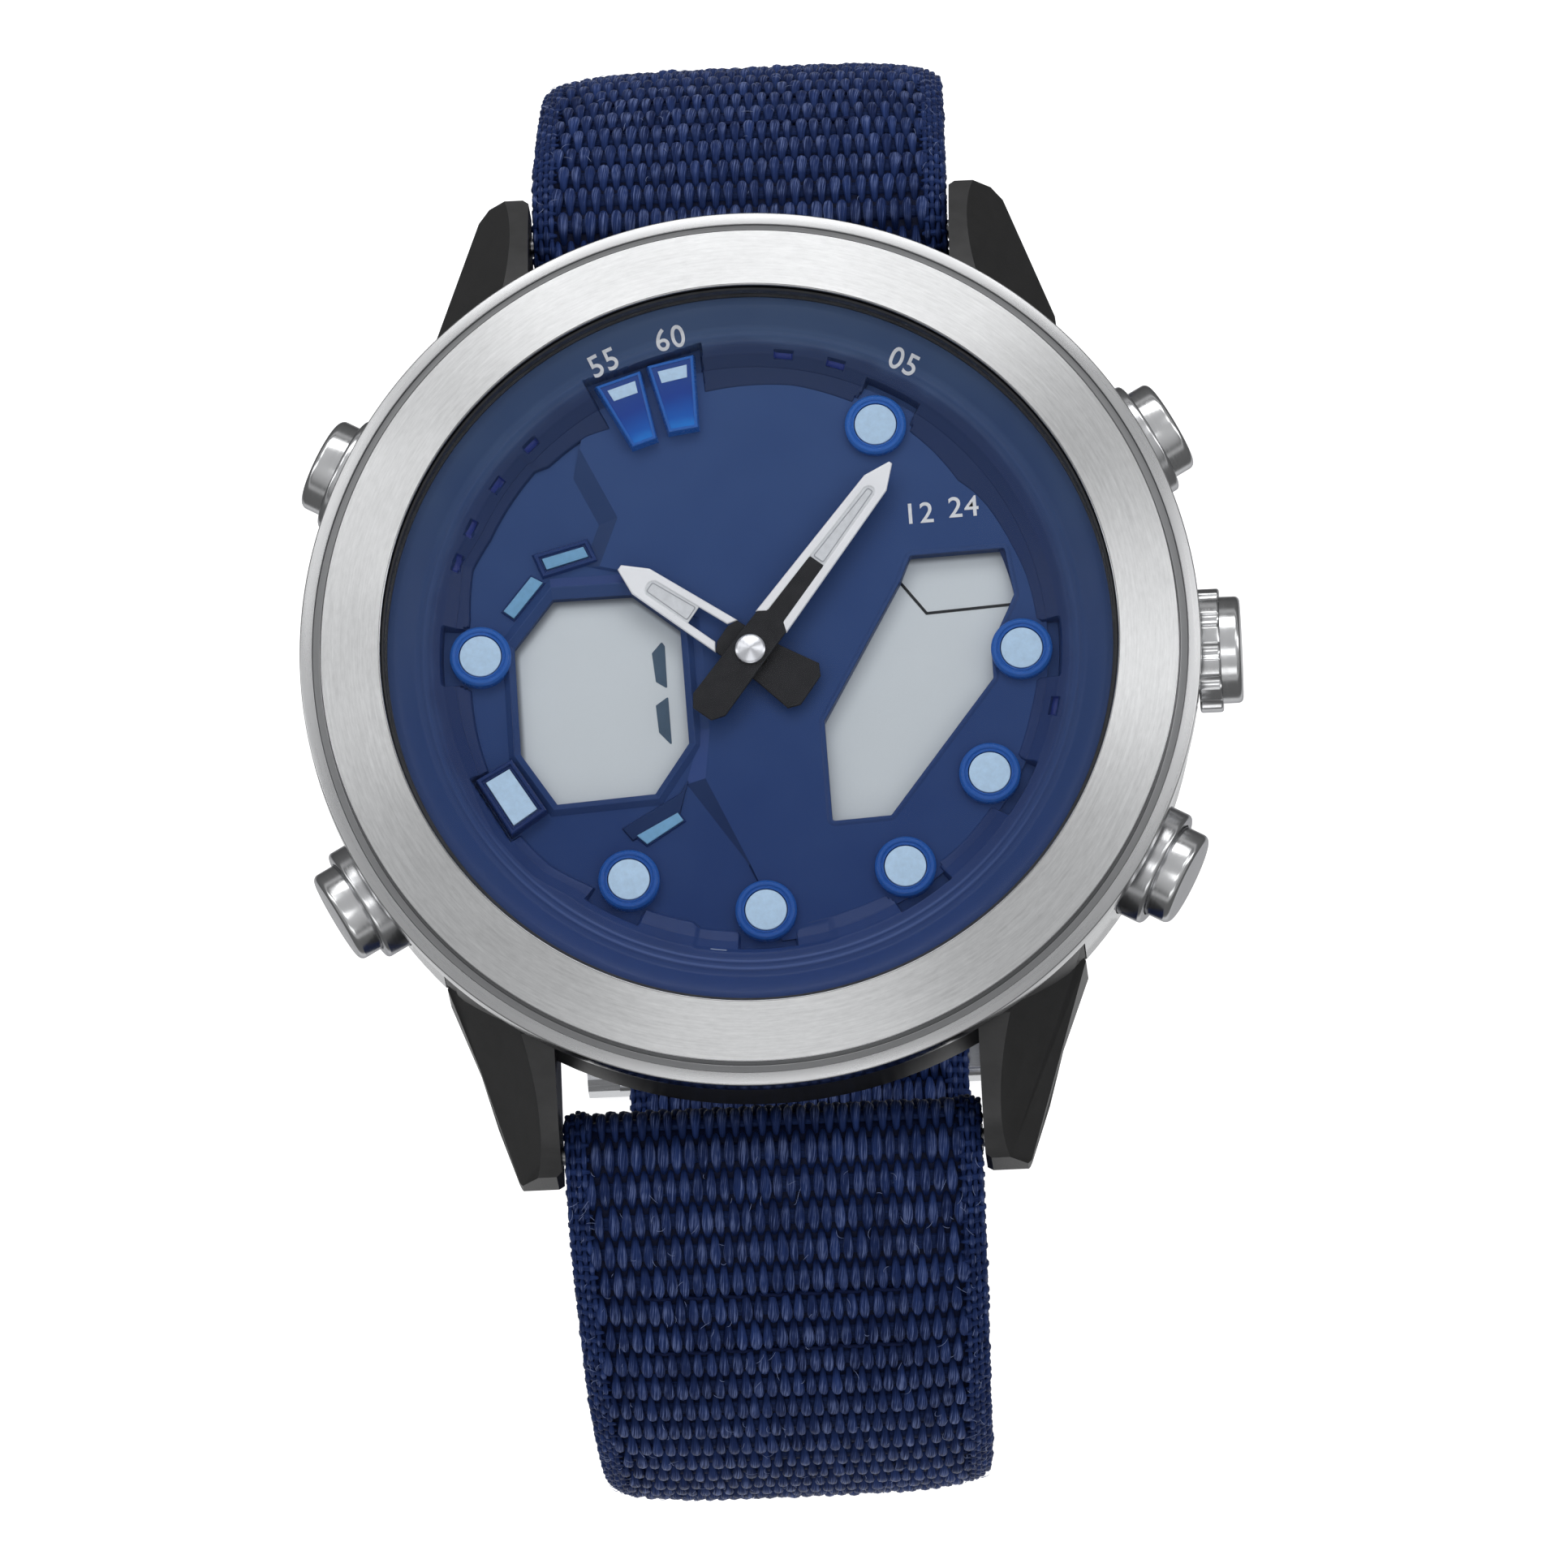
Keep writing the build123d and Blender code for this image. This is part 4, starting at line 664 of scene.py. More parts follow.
def yarn_mesh(name, yarns, nsec, caps=True):
    """yarns: list of (centre (n,3), side axis (n,3), up axis (n,3), half width (n), half height (n), tone, id)."""
    cos_, quads, cap, uv, tone, yid, hgt = [], [], [], [], [], [], []
    base = 0
    th = 2 * pi * np.arange(nsec) / nsec
    ct, st = np.cos(th)[None, :, None], np.sin(th)[None, :, None]
    for C, A, Bv, a, b, tn, iid, hh, sv in yarns:
        n = len(C)
        V = C[:, None, :] + a[:, None, None] * ct * A[:, None, :] + b[:, None, None] * st * Bv[:, None, :]
        cos_.append(V.reshape(-1, 3))
        j, k = np.meshgrid(np.arange(n - 1), np.arange(nsec), indexing="ij")
        k2 = (k + 1) % nsec
        q = np.stack([j * nsec + k, j * nsec + k2, (j + 1) * nsec + k2, (j + 1) * nsec + k], -1).reshape(-1, 4) + base
        quads.append(q)
        u0, u1 = (k / nsec).ravel(), ((k + 1) / nsec).ravel()
        v0, v1 = sv[j].ravel(), sv[j + 1].ravel()
        uv.append(np.stack([np.stack([u0, v0], -1), np.stack([u1, v0], -1), np.stack([u1, v1], -1), np.stack([u0, v1], -1)], 1).reshape(-1, 2))
        if caps:
            cap.append(base + np.arange(nsec)[::-1])
            cap.append(base + (n - 1) * nsec + np.arange(nsec))
        tone.append(np.repeat(tn, nsec))
        hgt.append(np.repeat(hh, nsec))
        yid.append(np.full(n * nsec, iid))
        base += n * nsec
    co = np.concatenate(cos_)
    ob = mesh_np(name, co, np.concatenate(quads), cap if caps else None, uv=np.concatenate(uv).astype(np.float32),
                 attrs={"tone": np.concatenate(tone), "yid": np.concatenate(yid), "deep": np.concatenate(hgt)})
    return ob


def frame_of(tr, s, x, n, crown):
    """Places a yarn's centre line given x (mm) and n (mm off the middle line), and gives its side and up axes."""
    hw = half_width(tr.at(s)[1])
    y, z, ny, nz = tr.at(s)
    nn = n - crown * lean(tr, s) * (np.abs(x) / hw) ** 5
    C = np.stack([x, y + nn * ny, z + nn * nz], -1)
    T = np.gradient(C, axis=0)
    T /= np.linalg.norm(T, axis=1)[:, None] + 1e-12
    N = np.stack([np.zeros_like(s), ny, nz], -1)
    A = np.cross(T, N)
    A /= np.linalg.norm(A, axis=1)[:, None] + 1e-12
    Bv = np.cross(A, T)
    return C, A, Bv


CROWN = 0.75


def weave(tag, tr, s_end, holes, slot, n_main, body, rng):
    """All yarns of one strap length. s_end(x) gives where the warp ends; slot (s0, s1, half width) is left open."""
    push = opening(tr, holes)
    groups = []
    per = 9
    step = RIB / per
    A0, thick = 0.535, 0.165
    made = []
    for i in range(n_main):
        u = 2 * (i + 0.5) / n_main - 1
        smax = s_end(u)
        s = np.arange(0.02, smax + step * 0.5, step)
        s[-1] = smax
        runs = [s]
        hw_mid = 9.1
        if slot and abs(u) * (hw_mid - EDGE_W) < slot[2] + 0.1:
            runs = [s[s < slot[0]], s[s > slot[1]]]
        for s in runs:
            if len(s) < 4:
                continue
            hw = half_width(tr.at(s)[1])
            ph = pi * s / RIB + i * pi
            c = np.cos(ph)
            k = np.floor(s / RIB + 0.5).astype(int)
            jit = rng.normal(0, 1, (k.max() + 2,))
            jit2 = rng.normal(0, 1, (k.max() + 2,))
            f = 0.45 * c + 0.55 * np.sin(pi * c / 2)
            amp = A0 * (1 + 0.05 * jit2[k])
            n = amp * f
            x = u * (hw - EDGE_W) + 0.030 * jit[k] * np.abs(c)
            x = push(x, s)
            crest = np.abs(c)
            a = 0.165 + 0.125 * crest ** 1.5
            a = a * (1 + 0.07 * jit[k])
            b = thick * (1.10 - 0.16 * crest)
            squeeze = np.ones_like(s)
            for hs, hx, hr in holes:
                d = np.hypot((s - hs) / 1.25, (x - hx))
                squeeze = np.minimum(squeeze, np.clip(0.45 + 0.55 * (d - hr) / 1.3, 0.5, 1.0))
            a = a * squeeze
            end = np.minimum(np.clip((s - s[0]) / 0.25, 0.25, 1), np.clip((s[-1] - s) / 0.25, 0.25, 1))
            C, Ax, Bv = frame_of(tr, s, x, n * (0.35 + 0.65 * end), CROWN)
            tn = np.clip(0.5 + 0.20 * jit2[k], 0, 1)
            made.append((C, Ax, Bv, a * end, b * end, tn, i * 1.37, (f * 0.5 + 0.5), s))
    third = (len(made) + 3) // 4
    for g in range(4):
        part = made[g * third:(g + 1) * third]
        if part:
            groups.append(yarn_mesh(f"strap_{tag}_warp_{'abcd'[g]}", part, 8))
    # weft cores, one in each rib
    cores = []
    for k in range(1, int(tr.length / RIB + 1)):
        s0 = k * RIB
        if s0 > s_end(0.0) - 0.3:
            break
        y, z, ny, nz = tr.at(np.array([s0]))
        hw = float(half_width(z[0]))
        lim = hw - EDGE_W * 0.8
        for q in np.linspace(0.3, 0.98, 20):
            if s_end(q) < s0 + 0.3:
                lim = min(lim, q * (hw - EDGE_W) - 0.1)
                break
        spans = [(-lim, lim)]
        if slot and slot[0] - 0.3 < s0 < slot[1] + 0.3:
            spans = [(-lim, -slot[2] - 0.15), (slot[2] + 0.15, lim)]
        for hs, hx, hr in holes:
            if abs(s0 - hs) < hr + 0.25:
                spans = [(-lim, hx - hr - 0.2), (hx + hr + 0.2, lim)]
        for x0, x1 in spans:
            xs = np.linspace(x0, x1, 26)
            ln = float(lean(tr, np.array([s0]))[0])
            nn = -CROWN * ln * (np.abs(xs) / hw) ** 5
            C = np.stack([xs, y[0] + nn * ny[0], z[0] + nn * nz[0]], -1)
            Ax = np.tile(np.array([0.0, -nz[0], ny[0]]), (26, 1))
            Bv = np.tile(np.array([0.0, ny[0], nz[0]]), (26, 1))
            w = np.ones(26)
            w[0] = w[-1] = 0.3
            w[1] = w[-2] = 0.85
            cores.append((C, Ax, Bv, 0.50 * w, 0.33 * w, np.full(26, 0.35), 900.0 + k, np.full(26, 0.5), xs))
    groups.append(yarn_mesh(f"strap_{tag}_weft", cores, 8))
    # woven edges: fine yarns over small picks
    edge = []
    est = PICK / 4
    for sd in (-1, 1):
        for j in range(4):
            for face in (-1, 1):
                smax = s_end(sd * 0.999)
                s = np.arange(0.05, smax, est)
                hw = half_width(tr.at(s)[1])
                jit = rng.normal(0, 1, (int(s[-1] / PICK) + 3,))
                k = np.floor(s / PICK + 0.5).astype(int)
                c = np.cos(pi * s / PICK + j * pi)
                x = sd * (hw - 0.16 - 0.285 * j)
                base_n = (0.26, 0.40, 0.46, 0.48)[j]
                n = face * (base_n + 0.115 * c * (1 + 0.1 * jit[k]))
                end = np.minimum(np.clip((s - s[0]) / 0.2, 0.25, 1), np.clip((s[-1] - s) / 0.2, 0.25, 1))
                C, Ax, Bv = frame_of(tr, s, x, n * end, CROWN)
                a = (0.125 + 0.035 * np.clip(face * c * face, 0, 1)) * end
                edge.append((C, Ax, Bv, a, 0.105 * end, np.clip(0.5 + 0.2 * jit[k], 0, 1), 300.0 + j + 10 * face + 50 * sd, 0.5 + 0.5 * c, s))
    groups.append(yarn_mesh(f"strap_{tag}_edge_warp", edge, 6))
    loops = []
    for sd in (-1, 1):
        smax = s_end(sd * 0.999)
        for m in range(1, int(smax / PICK)):
            s0 = m * PICK
            y, z, ny, nz = tr.at(np.array([s0]))
            hw = float(half_width(z[0]))
            t = np.linspace(-0.15, pi + 0.15, 11)
            wob = 0.03 * rng.normal()
            xo = sd * (hw - 1.30 + (1.24 + wob) * np.sin(t).clip(0, 1) ** 0.75)
            nn = 0.47 * np.cos(t)
            ln = float(lean(tr, np.array([s0]))[0])
            nc = nn - CROWN * ln * (np.abs(xo) / hw) ** 5
            C = np.stack([xo, y[0] + nc * ny[0], z[0] + nc * nz[0]], -1)
            T = np.gradient(C, axis=0)
            T /= np.linalg.norm(T, axis=1)[:, None] + 1e-12
            along = np.tile(np.array([0.0, -nz[0], ny[0]]), (11, 1))
            Bv = np.cross(T, along)
            Bv /= np.linalg.norm(Bv, axis=1)[:, None] + 1e-12
            w = np.ones(11); w[0] = w[-1] = 0.4
            loops.append((C, along, Bv, 0.205 * w, 0.12 * w, np.full(11, np.clip(0.5 + 0.2 * rng.normal(), 0, 1)), 600.0 + m, np.full(11, 0.5), t))
    groups.append(yarn_mesh(f"strap_{tag}_edge_picks", loops, 6))
    return groups


def bead(name, pts, r, nsec=8, closed=True):
    """A thin cord of melted or bound edge along points (mm)."""
    P = np.array(pts, float)
    if closed:
        T = np.roll(P, -1, 0) - np.roll(P, 1, 0)
    else:
        T = np.gradient(P, axis=0)
    T /= np.linalg.norm(T, axis=1)[:, None] + 1e-12
    ref = np.tile([1.0, 0, 0], (len(P), 1))
    ref[np.abs(T[:, 0]) > 0.9] = [0, 0, 1.0]
    A = np.cross(T, ref); A /= np.linalg.norm(A, axis=1)[:, None]
    # carry the frame along smoothly
    for i in range(1, len(P)):
        a = A[i - 1] - T[i] * np.dot(A[i - 1], T[i])
        A[i] = a / np.linalg.norm(a)
    Bv = np.cross(T, A)
    th = 2 * pi * np.arange(nsec) / nsec
    rr = np.broadcast_to(np.asarray(r, float), (len(P),))[:, None, None]
    V = P[:, None, :] + rr * (np.cos(th)[None, :, None] * A[:, None, :] + np.sin(th)[None, :, None] * Bv[:, None, :])
    n = len(P)
    j, k = np.meshgrid(np.arange(n if closed else n - 1), np.arange(nsec), indexing="ij")
    k2, j2 = (k + 1) % nsec, (j + 1) % n
    if closed:
        # match the last ring to the first
        d = [np.sum((V[-1] - np.roll(V[0], -q, 0)) ** 2) for q in range(nsec)]
        off = int(np.argmin(d))
        kk = np.where(j == n - 1, (k + off) % nsec, k)
        kk2 = np.where(j == n - 1, (k2 + off) % nsec, k2)
        q = np.stack([j * nsec + k, j * nsec + k2, j2 * nsec + kk2, j2 * nsec + kk], -1).reshape(-1, 4)
        return V.reshape(-1, 3), q, None
    q = np.stack([j * nsec + k, j * nsec + k2, j2 * nsec + k2, j2 * nsec + k], -1).reshape(-1, 4)
    return V.reshape(-1, 3), q, [list(range(nsec))[::-1], list((n - 1) * nsec + np.arange(nsec))]


def join_tubes(name, parts):
    co, quads, caps, base = [], [], [], 0
    for V, q, c in parts:
        co.append(V)
        quads.append(q + base)
        if c:
            caps += [[i + base for i in f] for f in c]
        base += len(V)
    return mesh_np(name, np.concatenate(co), np.concatenate(quads), caps or None)


def on_strap(tr, x, s, n):
    """World points for (x, s, n) on a strap track, with its curled edges."""
    x, s, n = np.broadcast_arrays(np.asarray(x, float), np.asarray(s, float), np.asarray(n, float))
    y, z, ny, nz = tr.at(s)
    hw = half_width(z)
    nn = n - CROWN * lean(tr, s) * (np.abs(x) / hw) ** 5
    return np.stack([x, y + nn * ny, z + nn * nz], -1)


# holes of the long strap, by their place on the track
def s_on(tr, side, c, r, phi):
    return tr.near(side * (c[0] + r * cos(rad(phi))), c[1] + r * sin(rad(phi)))


s_hole0 = LO.near(2.6, ZF - D1)
s_hole1 = s_on(LO, 1, CB, RB + D1, -52.0)
s_hole2 = s_on(LO, 1, CB, RB + D1, -42.0)
s_hole3 = LO.near(-CA[0] - (RA - PLY / 2) * sin(rad(10.0)), CA[1] - (RA - PLY / 2) * cos(rad(10.0)))
HOLES = [(s_hole0, 0.0, 0.95), (s_hole1, 0.0, 0.95), (s_hole2, 0.0, 0.95), (s_hole3, 0.0, 0.95)]
SLOT_LO = (LO.near(-6.45, ZF + 0.35), LO.near(-0.35, ZF - D1), 1.10)
SLOT_UP = (UP.near(3.2, ZF + PLY / 2), UP.near(3.4, BUCK[1] + 0.6), 1.30)


def end_flat(tr):
    return lambda u: tr.length - 0.05


def end_tail(u):
    hw = 9.45
    x = abs(u) * (hw - EDGE_W) if abs(u) < 0.99 else hw - 0.25
    return LO.length - 0.12 - (9.9 - sqrt(max(0.0, 9.75 ** 2 - x * x)))


up_parts = weave("upper", UP, end_flat(UP), [], SLOT_UP, 56, "watch", RNG)
lo_parts = weave("lower", LO, end_tail, HOLES, SLOT_LO, 56, "watch", RNG)

# ---------------------------------------------------------------- nylon
def nylon(name, dark, lightc, painted_glint, rough=0.42):
    m = Mat(name)
    uvn = m.nt.nodes.new("ShaderNodeUVMap")
    uvn.uv_map = "yarn_uv"
    u, v, _ = m.sep(uvn.outputs[0])
    yid, tone, deep = m.attr("yid"), m.attr("tone"), m.attr("deep")
    ang = m.math("ADD", m.math("MULTIPLY", u, 2 * pi), m.math("MULTIPLY", v, 0.5))
    cu, su = m.math("COSINE", ang), m.math("SINE", ang)
    # single filaments run along the yarn with a slow twist
    fib = m.comb(m.math("MULTIPLY", cu, 4.6), m.math("MULTIPLY", su, 4.6), m.math("ADD", m.math("MULTIPLY", v, 0.55), m.math("MULTIPLY", yid, 3.7)))
    f1 = m.noise(fib, 1.0, 2.0, 0.65, 0.1)
    fine = m.comb(m.math("MULTIPLY", cu, 9.5), m.math("MULTIPLY", su, 9.5), m.math("ADD", m.math("MULTIPLY", v, 1.3), m.math("MULTIPLY", yid, 1.3)))
    f2 = m.noise(fine, 1.0, 1.0, 0.5)
    big = m.noise(m.mm(), 0.22, 2.0, 0.5)
    t = m.math("ADD", m.math("MULTIPLY", f1, 0.60), m.math("MULTIPLY", tone, 0.25))
    t = m.math("ADD", t, m.math("MULTIPLY", big, 0.15))
    col = m.ramp(t, [(0.33, dark), (0.50, tuple(a * 0.6 + b * 0.4 for a, b in zip(dark, lightc))), (0.68, lightc)])
    # painted highlight: filaments on the tops of the floats are lightened towards a pale blue as glints
    crest = m.math("ABSOLUTE", m.math("SUBTRACT", m.math("MULTIPLY", deep, 2.0), 1.0))
    crest = m.maprange(crest, 0.55, 0.98, 0.0, 1.0, smooth=True)
    painted_glint_noise = m.noise(m.mm(), 1.1, 2.0, 0.6)
    fil = m.math("ADD", m.math("MULTIPLY", f1, 0.45), m.math("ADD", m.math("MULTIPLY", f2, 0.35), m.math("MULTIPLY", painted_glint_noise, 0.20)))
    painted_glint_mask = m.math("MULTIPLY", m.maprange(fil, 0.490, 0.60, 0.0, 1.0, smooth=True), crest)
    col = m.mix(m.math("MULTIPLY", painted_glint_mask, 0.72), col, painted_glint)
    m.set(Base_Color=col, Roughness=m.maprange(f1, 0.3, 0.7, rough * 0.85, rough * 1.2))
    h = m.math("ADD", m.math("MULTIPLY", f1, 0.65), m.math("MULTIPLY", f2, 0.35))
    m.set(Normal=m.bump(h, 0.75, 0.06))
    m.p.inputs["Specular IOR Level"].default_value = 0.22
    m.p.inputs["Specular Tint"].default_value = (0.42, 0.56, 1.0, 1)
    return m.m


# the third colour is the painted glint on the tops of the floats
M_NYLON = nylon("navy_nylon_weave", (0.0055, 0.0120, 0.056), (0.0235, 0.0500, 0.185), (0.165, 0.215, 0.430), rough=0.45)
M_SEAL = plastic("melted_nylon", (0.007, 0.013, 0.052), 0.42, vary=0.3, scale=3.0, grain=0.25, grain_scale=6.0, spec=0.15)
M_THREAD = plastic("sewing_thread", (0.0055, 0.0120, 0.055), 0.6, vary=0.3, scale=6.0, grain=0.4, grain_scale=18.0, spec=0.10)
for k, ob in enumerate(up_parts):
    give(ob, M_NYLON, "watch", ["strap_upper"])
for k, ob in enumerate(lo_parts):
    give(ob, M_NYLON, "watch", ["strap_lower"])

def ground_sheet(name, tr, s_end, holes, slot):
    s = np.linspace(0.12, tr.length - 0.12, int(tr.length / 0.25))
    hw = half_width(tr.at(s)[1])
    u = np.linspace(-1, 1, 76)
    S, U = np.meshgrid(s, u, indexing="ij")
    X = U * (hw[:, None] - 0.30)
    P = on_strap(tr, X, S, np.zeros_like(X))
    sc = (S[:-1, :-1] + S[1:, 1:]) / 2
    xc = (X[:-1, :-1] + X[1:, 1:]) / 2
    lim = np.array([s_end(abs(q)) for q in np.clip(np.abs(xc).ravel() / 9.45, 0, 0.98)]).reshape(xc.shape)
    keep = sc < lim - 0.10
    for hs, hx, hr in holes:
        keep &= np.hypot(sc - hs, xc - hx) > hr + 0.06
    if slot:
        keep &= ~((np.abs(xc) < slot[2] + 0.08) & (sc > slot[0]) & (sc < slot[1]))
    n = len(u)
    j, k = np.nonzero(keep)
    q = j * n + k
    quads = np.stack([q, q + 1, q + n + 1, q + n], -1)
    used = np.unique(quads)
    remap = np.full(P.shape[0] * n, -1)
    remap[used] = np.arange(len(used))
    ob = mesh_np(name, P.reshape(-1, 3)[used], remap[quads])
    md = ob.modifiers.new("thickness", "SOLIDIFY")
    md.thickness = 0.20 * MM
    md.offset = 0.0
    return ob


M_GROUND = plastic("strap_ground_weave", (0.0045, 0.0085, 0.036), 0.6, vary=0.3, scale=3.0, grain=0.4, grain_scale=5.0, spec=0.15)
give(ground_sheet("strap_upper_ground", UP, end_flat(UP), [], SLOT_UP), M_GROUND, "watch", ["strap_upper"])
give(ground_sheet("strap_lower_ground", LO, end_tail, HOLES, SLOT_LO), M_GROUND, "watch", ["strap_lower"])

# sealed ends, hole rims and slot rims
seals_up, seals_lo = [], []
for tr, lst, ends in ((UP, seals_up, ((0.0, None), (UP.length, None))), (LO, seals_lo, ((0.0, None),))):
    for s0, _ in ends:
        hw = float(half_width(tr.at(np.array([s0]))[1][0]))
        xs = np.linspace(-hw + 0.15, hw - 0.15, 60)
        for nn in (-0.36, 0.0, 0.36):
            wob = 0.03 * np.sin(xs * 5.1 + nn * 9) + 0.02 * np.sin(xs * 11.7)
            ss = np.clip(s0 + wob, 0, tr.length)
            lst.append(bead("b", on_strap(tr, xs, ss, nn), 0.22, 8, closed=False))
t = np.linspace(-1, 1, 90)
xt = t * 9.15
st_ = np.array([LO.length - 0.10 - (9.9 - sqrt(9.75 ** 2 - x * x)) for x in xt])
for nn in (-0.38, 0.0, 0.38):
    seals_lo.append(bead("b", on_strap(LO, xt, st_ + 0.03 * np.sin(xt * 6.0 + nn * 7), nn), 0.23, 8, closed=False))


def ring_on(tr, s0, x0, r, n, wob=0.03, ph=0.0, count=48):
    a = 2 * pi * np.arange(count) / count
    rr = r * (1 + wob * np.sin(3 * a + ph) + 0.5 * wob * np.sin(7 * a + 2 * ph))
    return on_strap(tr, x0 + rr * np.cos(a), s0 + rr * np.sin(a), n)


for q, (hs, hx, hr) in enumerate(HOLES):
    for nn, r in ((0.50, hr + 0.16), (0.28, hr + 0.03), (0.0, hr + 0.0), (-0.28, hr + 0.03), (-0.50, hr + 0.16)):
        seals_lo.append(bead("b", ring_on(LO, hs, hx, r, nn, ph=q * 1.7 + nn), 0.17, 8))


def slot_ring(tr, s0, s1, hw, n, count=18):
    pts = []
    rr = hw
    c0, c1 = s0 + rr, s1 - rr
    for k in range(count + 1):
        a = pi + pi * k / count
        pts.append((rr * cos(a), c0 + rr * sin(a)))
    for k in range(1, 8):
        pts.append((rr, c0 + (c1 - c0) * k / 8))
    for k in range(count + 1):
        a = pi * k / count
        pts.append((rr * cos(a), c1 + rr * sin(a)))
    for k in range(1, 8):
        pts.append((-rr, c1 + (c0 - c1) * k / 8))
    p = np.array(pts)
    return on_strap(tr, p[:, 0], p[:, 1], n)


for nn in (0.40, 0.0, -0.40):
    seals_lo.append(bead("b", slot_ring(LO, SLOT_LO[0], SLOT_LO[1], SLOT_LO[2] + 0.12, nn), 0.21, 8))
    seals_up.append(bead("b", slot_ring(UP, SLOT_UP[0], SLOT_UP[1], SLOT_UP[2] + 0.12, nn), 0.21, 8))
give(join_tubes("strap_upper_seals", seals_up), M_SEAL, "watch", ["strap_upper"])
give(join_tubes("strap_lower_seals", seals_lo), M_SEAL, "watch", ["strap_lower"])


# stitches through the flaps: sunk in the grooves outside, plain to see inside
def stitch_rows(tr, rows, out_n, in_n, half, body):
    parts = []
    for s0 in rows:
        x = -half
        while x < half - 1.2:
            L = 1.5
            q = np.linspace(0, 1, 9)
            for nn, lift in ((out_n, 0.10), (in_n, 0.16)):
                pts = on_strap(tr, x + q * L, s0 + 0.10 * (q - 0.5), nn + np.sign(nn) * lift * np.sin(pi * q))
                parts.append(bead("b", pts, 0.13, 7, closed=False))
            x += 2.0
    return parts


def groove(s):
    return (round(s / RIB - 0.5) + 0.5) * RIB


def rows_at(tr, side, phis):
    return [groove(s_on(tr, side, CB, RB - PLY / 2, f)) for f in phis]


for tr, side, nm in ((UP, 1, "upper"), (LO, -1, "lower")):
    rows = rows_at(tr, side, (P_BAR - 19.5, P_BAR - 28.0))
    parts = stitch_rows(tr, rows, 0.16, -2.16, 7.2, "watch")
    if nm == "upper":
        rb = [groove(UP.near(6.2, ZF + PLY / 2)), groove(UP.near(10.2, ZF + PLY / 2))]
        parts += stitch_rows(UP, rb, 0.16, -2.16, 7.2, "watch")
    give(join_tubes(f"strap_{nm}_stitches", parts), M_THREAD, "watch", [f"strap_{nm}"])

# loose single filaments that stand a little off the weave
def stray_hairs(name, tr, s0, s1, count, outward, rng):
    parts = []
    for _ in range(count):
        sc = rng.uniform(s0, s1)
        hw = float(half_width(tr.at(np.array([sc]))[1][0]))
        xc = rng.uniform(-hw + 0.3, hw - 0.3)
        if rng.random() < 0.35:
            xc = np.sign(xc) * (hw - abs(rng.normal(0, 0.5)) - 0.2)
        L = rng.uniform(0.25, 0.85)
        a = rng.normal(pi / 2, 0.55) if rng.random() < 0.6 else rng.uniform(0, pi)
        bend = rng.normal(0, 0.5)
        q = np.linspace(-0.5, 0.5, 6)
        aa = a + bend * q
        x = np.clip(xc + L * q * np.cos(aa), -hw + 0.06, hw - 0.06)
        ss = np.clip(sc + L * q * np.sin(aa), s0, s1)
        n = outward * (0.60 + 0.03 * rng.random() + 0.07 * np.cos(pi * q))
        parts.append(bead("h", on_strap(tr, x, ss, n), np.array([0.5, 0.9, 1, 1, 0.9, 0.5]) * 0.013, 4, closed=False))
    return join_tubes(name, parts)


M_HAIR = plastic("stray_filament", (0.20, 0.25, 0.45), 0.4, vary=0.25, scale=2.0, grain=0.0, spec=0.4)
HRNG = np.random.default_rng(5)
give(stray_hairs("strap_lower_filaments", LO, LO.near(-BAR[0] - 0.5, BAR[1] + 1.0), LO.near(-14.0, -36.0), 420, 1, HRNG), M_HAIR, "watch", ["strap_lower"])
give(stray_hairs("strap_upper_filaments", UP, UP.near(BAR[0] + 0.5, BAR[1] + 1.0), UP.near(14.0, -36.0), 300, 1, HRNG), M_HAIR, "watch", ["strap_upper"])

# ================================================================ case
BEZ = [((19.15, 8.5), 0.03), ((22.90, 8.5), 0.05), ((22.90, 9.53), 0.03), ((23.10, 9.53), 0.03), ((23.10, 9.95), 0.03), ((23.40, 9.97), 0.17),
       ((23.40, 11.13), 0.09), ((22.74, 11.27), 0.05), ((22.72, 11.05), 0.03), ((22.33, 11.05), 0.05), ((22.31, 11.783), 0.10), ((19.15, 12.429), 0.09)]
bezel = revolve("bezel_ring", fillet([p for p, _ in BEZ], [r for _, r in BEZ], 6), 512, sharp=24)
weighted(bezel)
bezel.data.materials.append(M_BEZEL)
bezel.data.materials.append(M_BAND)
bezel.data.materials.append(M_GROOVE_PAINTED_SHADE)
bezel.data.materials.append(M_RIM)
for f in bezel.data.polygons:
    c = f.center
    r = hypot(c.x, c.y) / MM
    f.material_index = 0 if (19.25 < r < 22.20 and c.z > 11.7 * MM) else 2 if (22.29 < r < 22.745 and 11.0 * MM < c.z < 11.70 * MM) else 3 if (r > 22.745 and c.z > 11.05 * MM) else 1
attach(bezel, "watch"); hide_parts("bezel")

gasket = revolve("crystal_gasket_ring", fillet([(18.84, 11.06), (19.12, 11.06), (19.12, 12.05), (18.98, 12.05), (18.98, 11.28), (18.84, 11.28)], 0.03, 3), 384, sharp=24)
weighted(gasket)
give(gasket, M_GASKET, "watch", ["crystal_gasket"])

mg = Mat("sapphire_crystal")
mg.nt.nodes.remove(mg.p)
tr_n = mg.nt.nodes.new("ShaderNodeBsdfTransparent")
gl_n = mg.nt.nodes.new("ShaderNodeBsdfGlossy")
fr_n = mg.nt.nodes.new("ShaderNodeLayerWeight")
mx_n = mg.nt.nodes.new("ShaderNodeMixShader")
tr_n.inputs["Color"].default_value = (0.985, 0.99, 1.0, 1)
gl_n.inputs["Color"].default_value = (1, 1, 1, 1)
fr_n.inputs["Blend"].default_value = 0.045
mg.put(gl_n.inputs["Roughness"], mg.maprange(mg.noise(mg.mm(), 0.35, 2.0), 0.3, 0.7, 0.02, 0.045))
mg.nt.links.new(fr_n.outputs["Facing"], mx_n.inputs[0])
mg.nt.links.new(tr_n.outputs[0], mx_n.inputs[1])
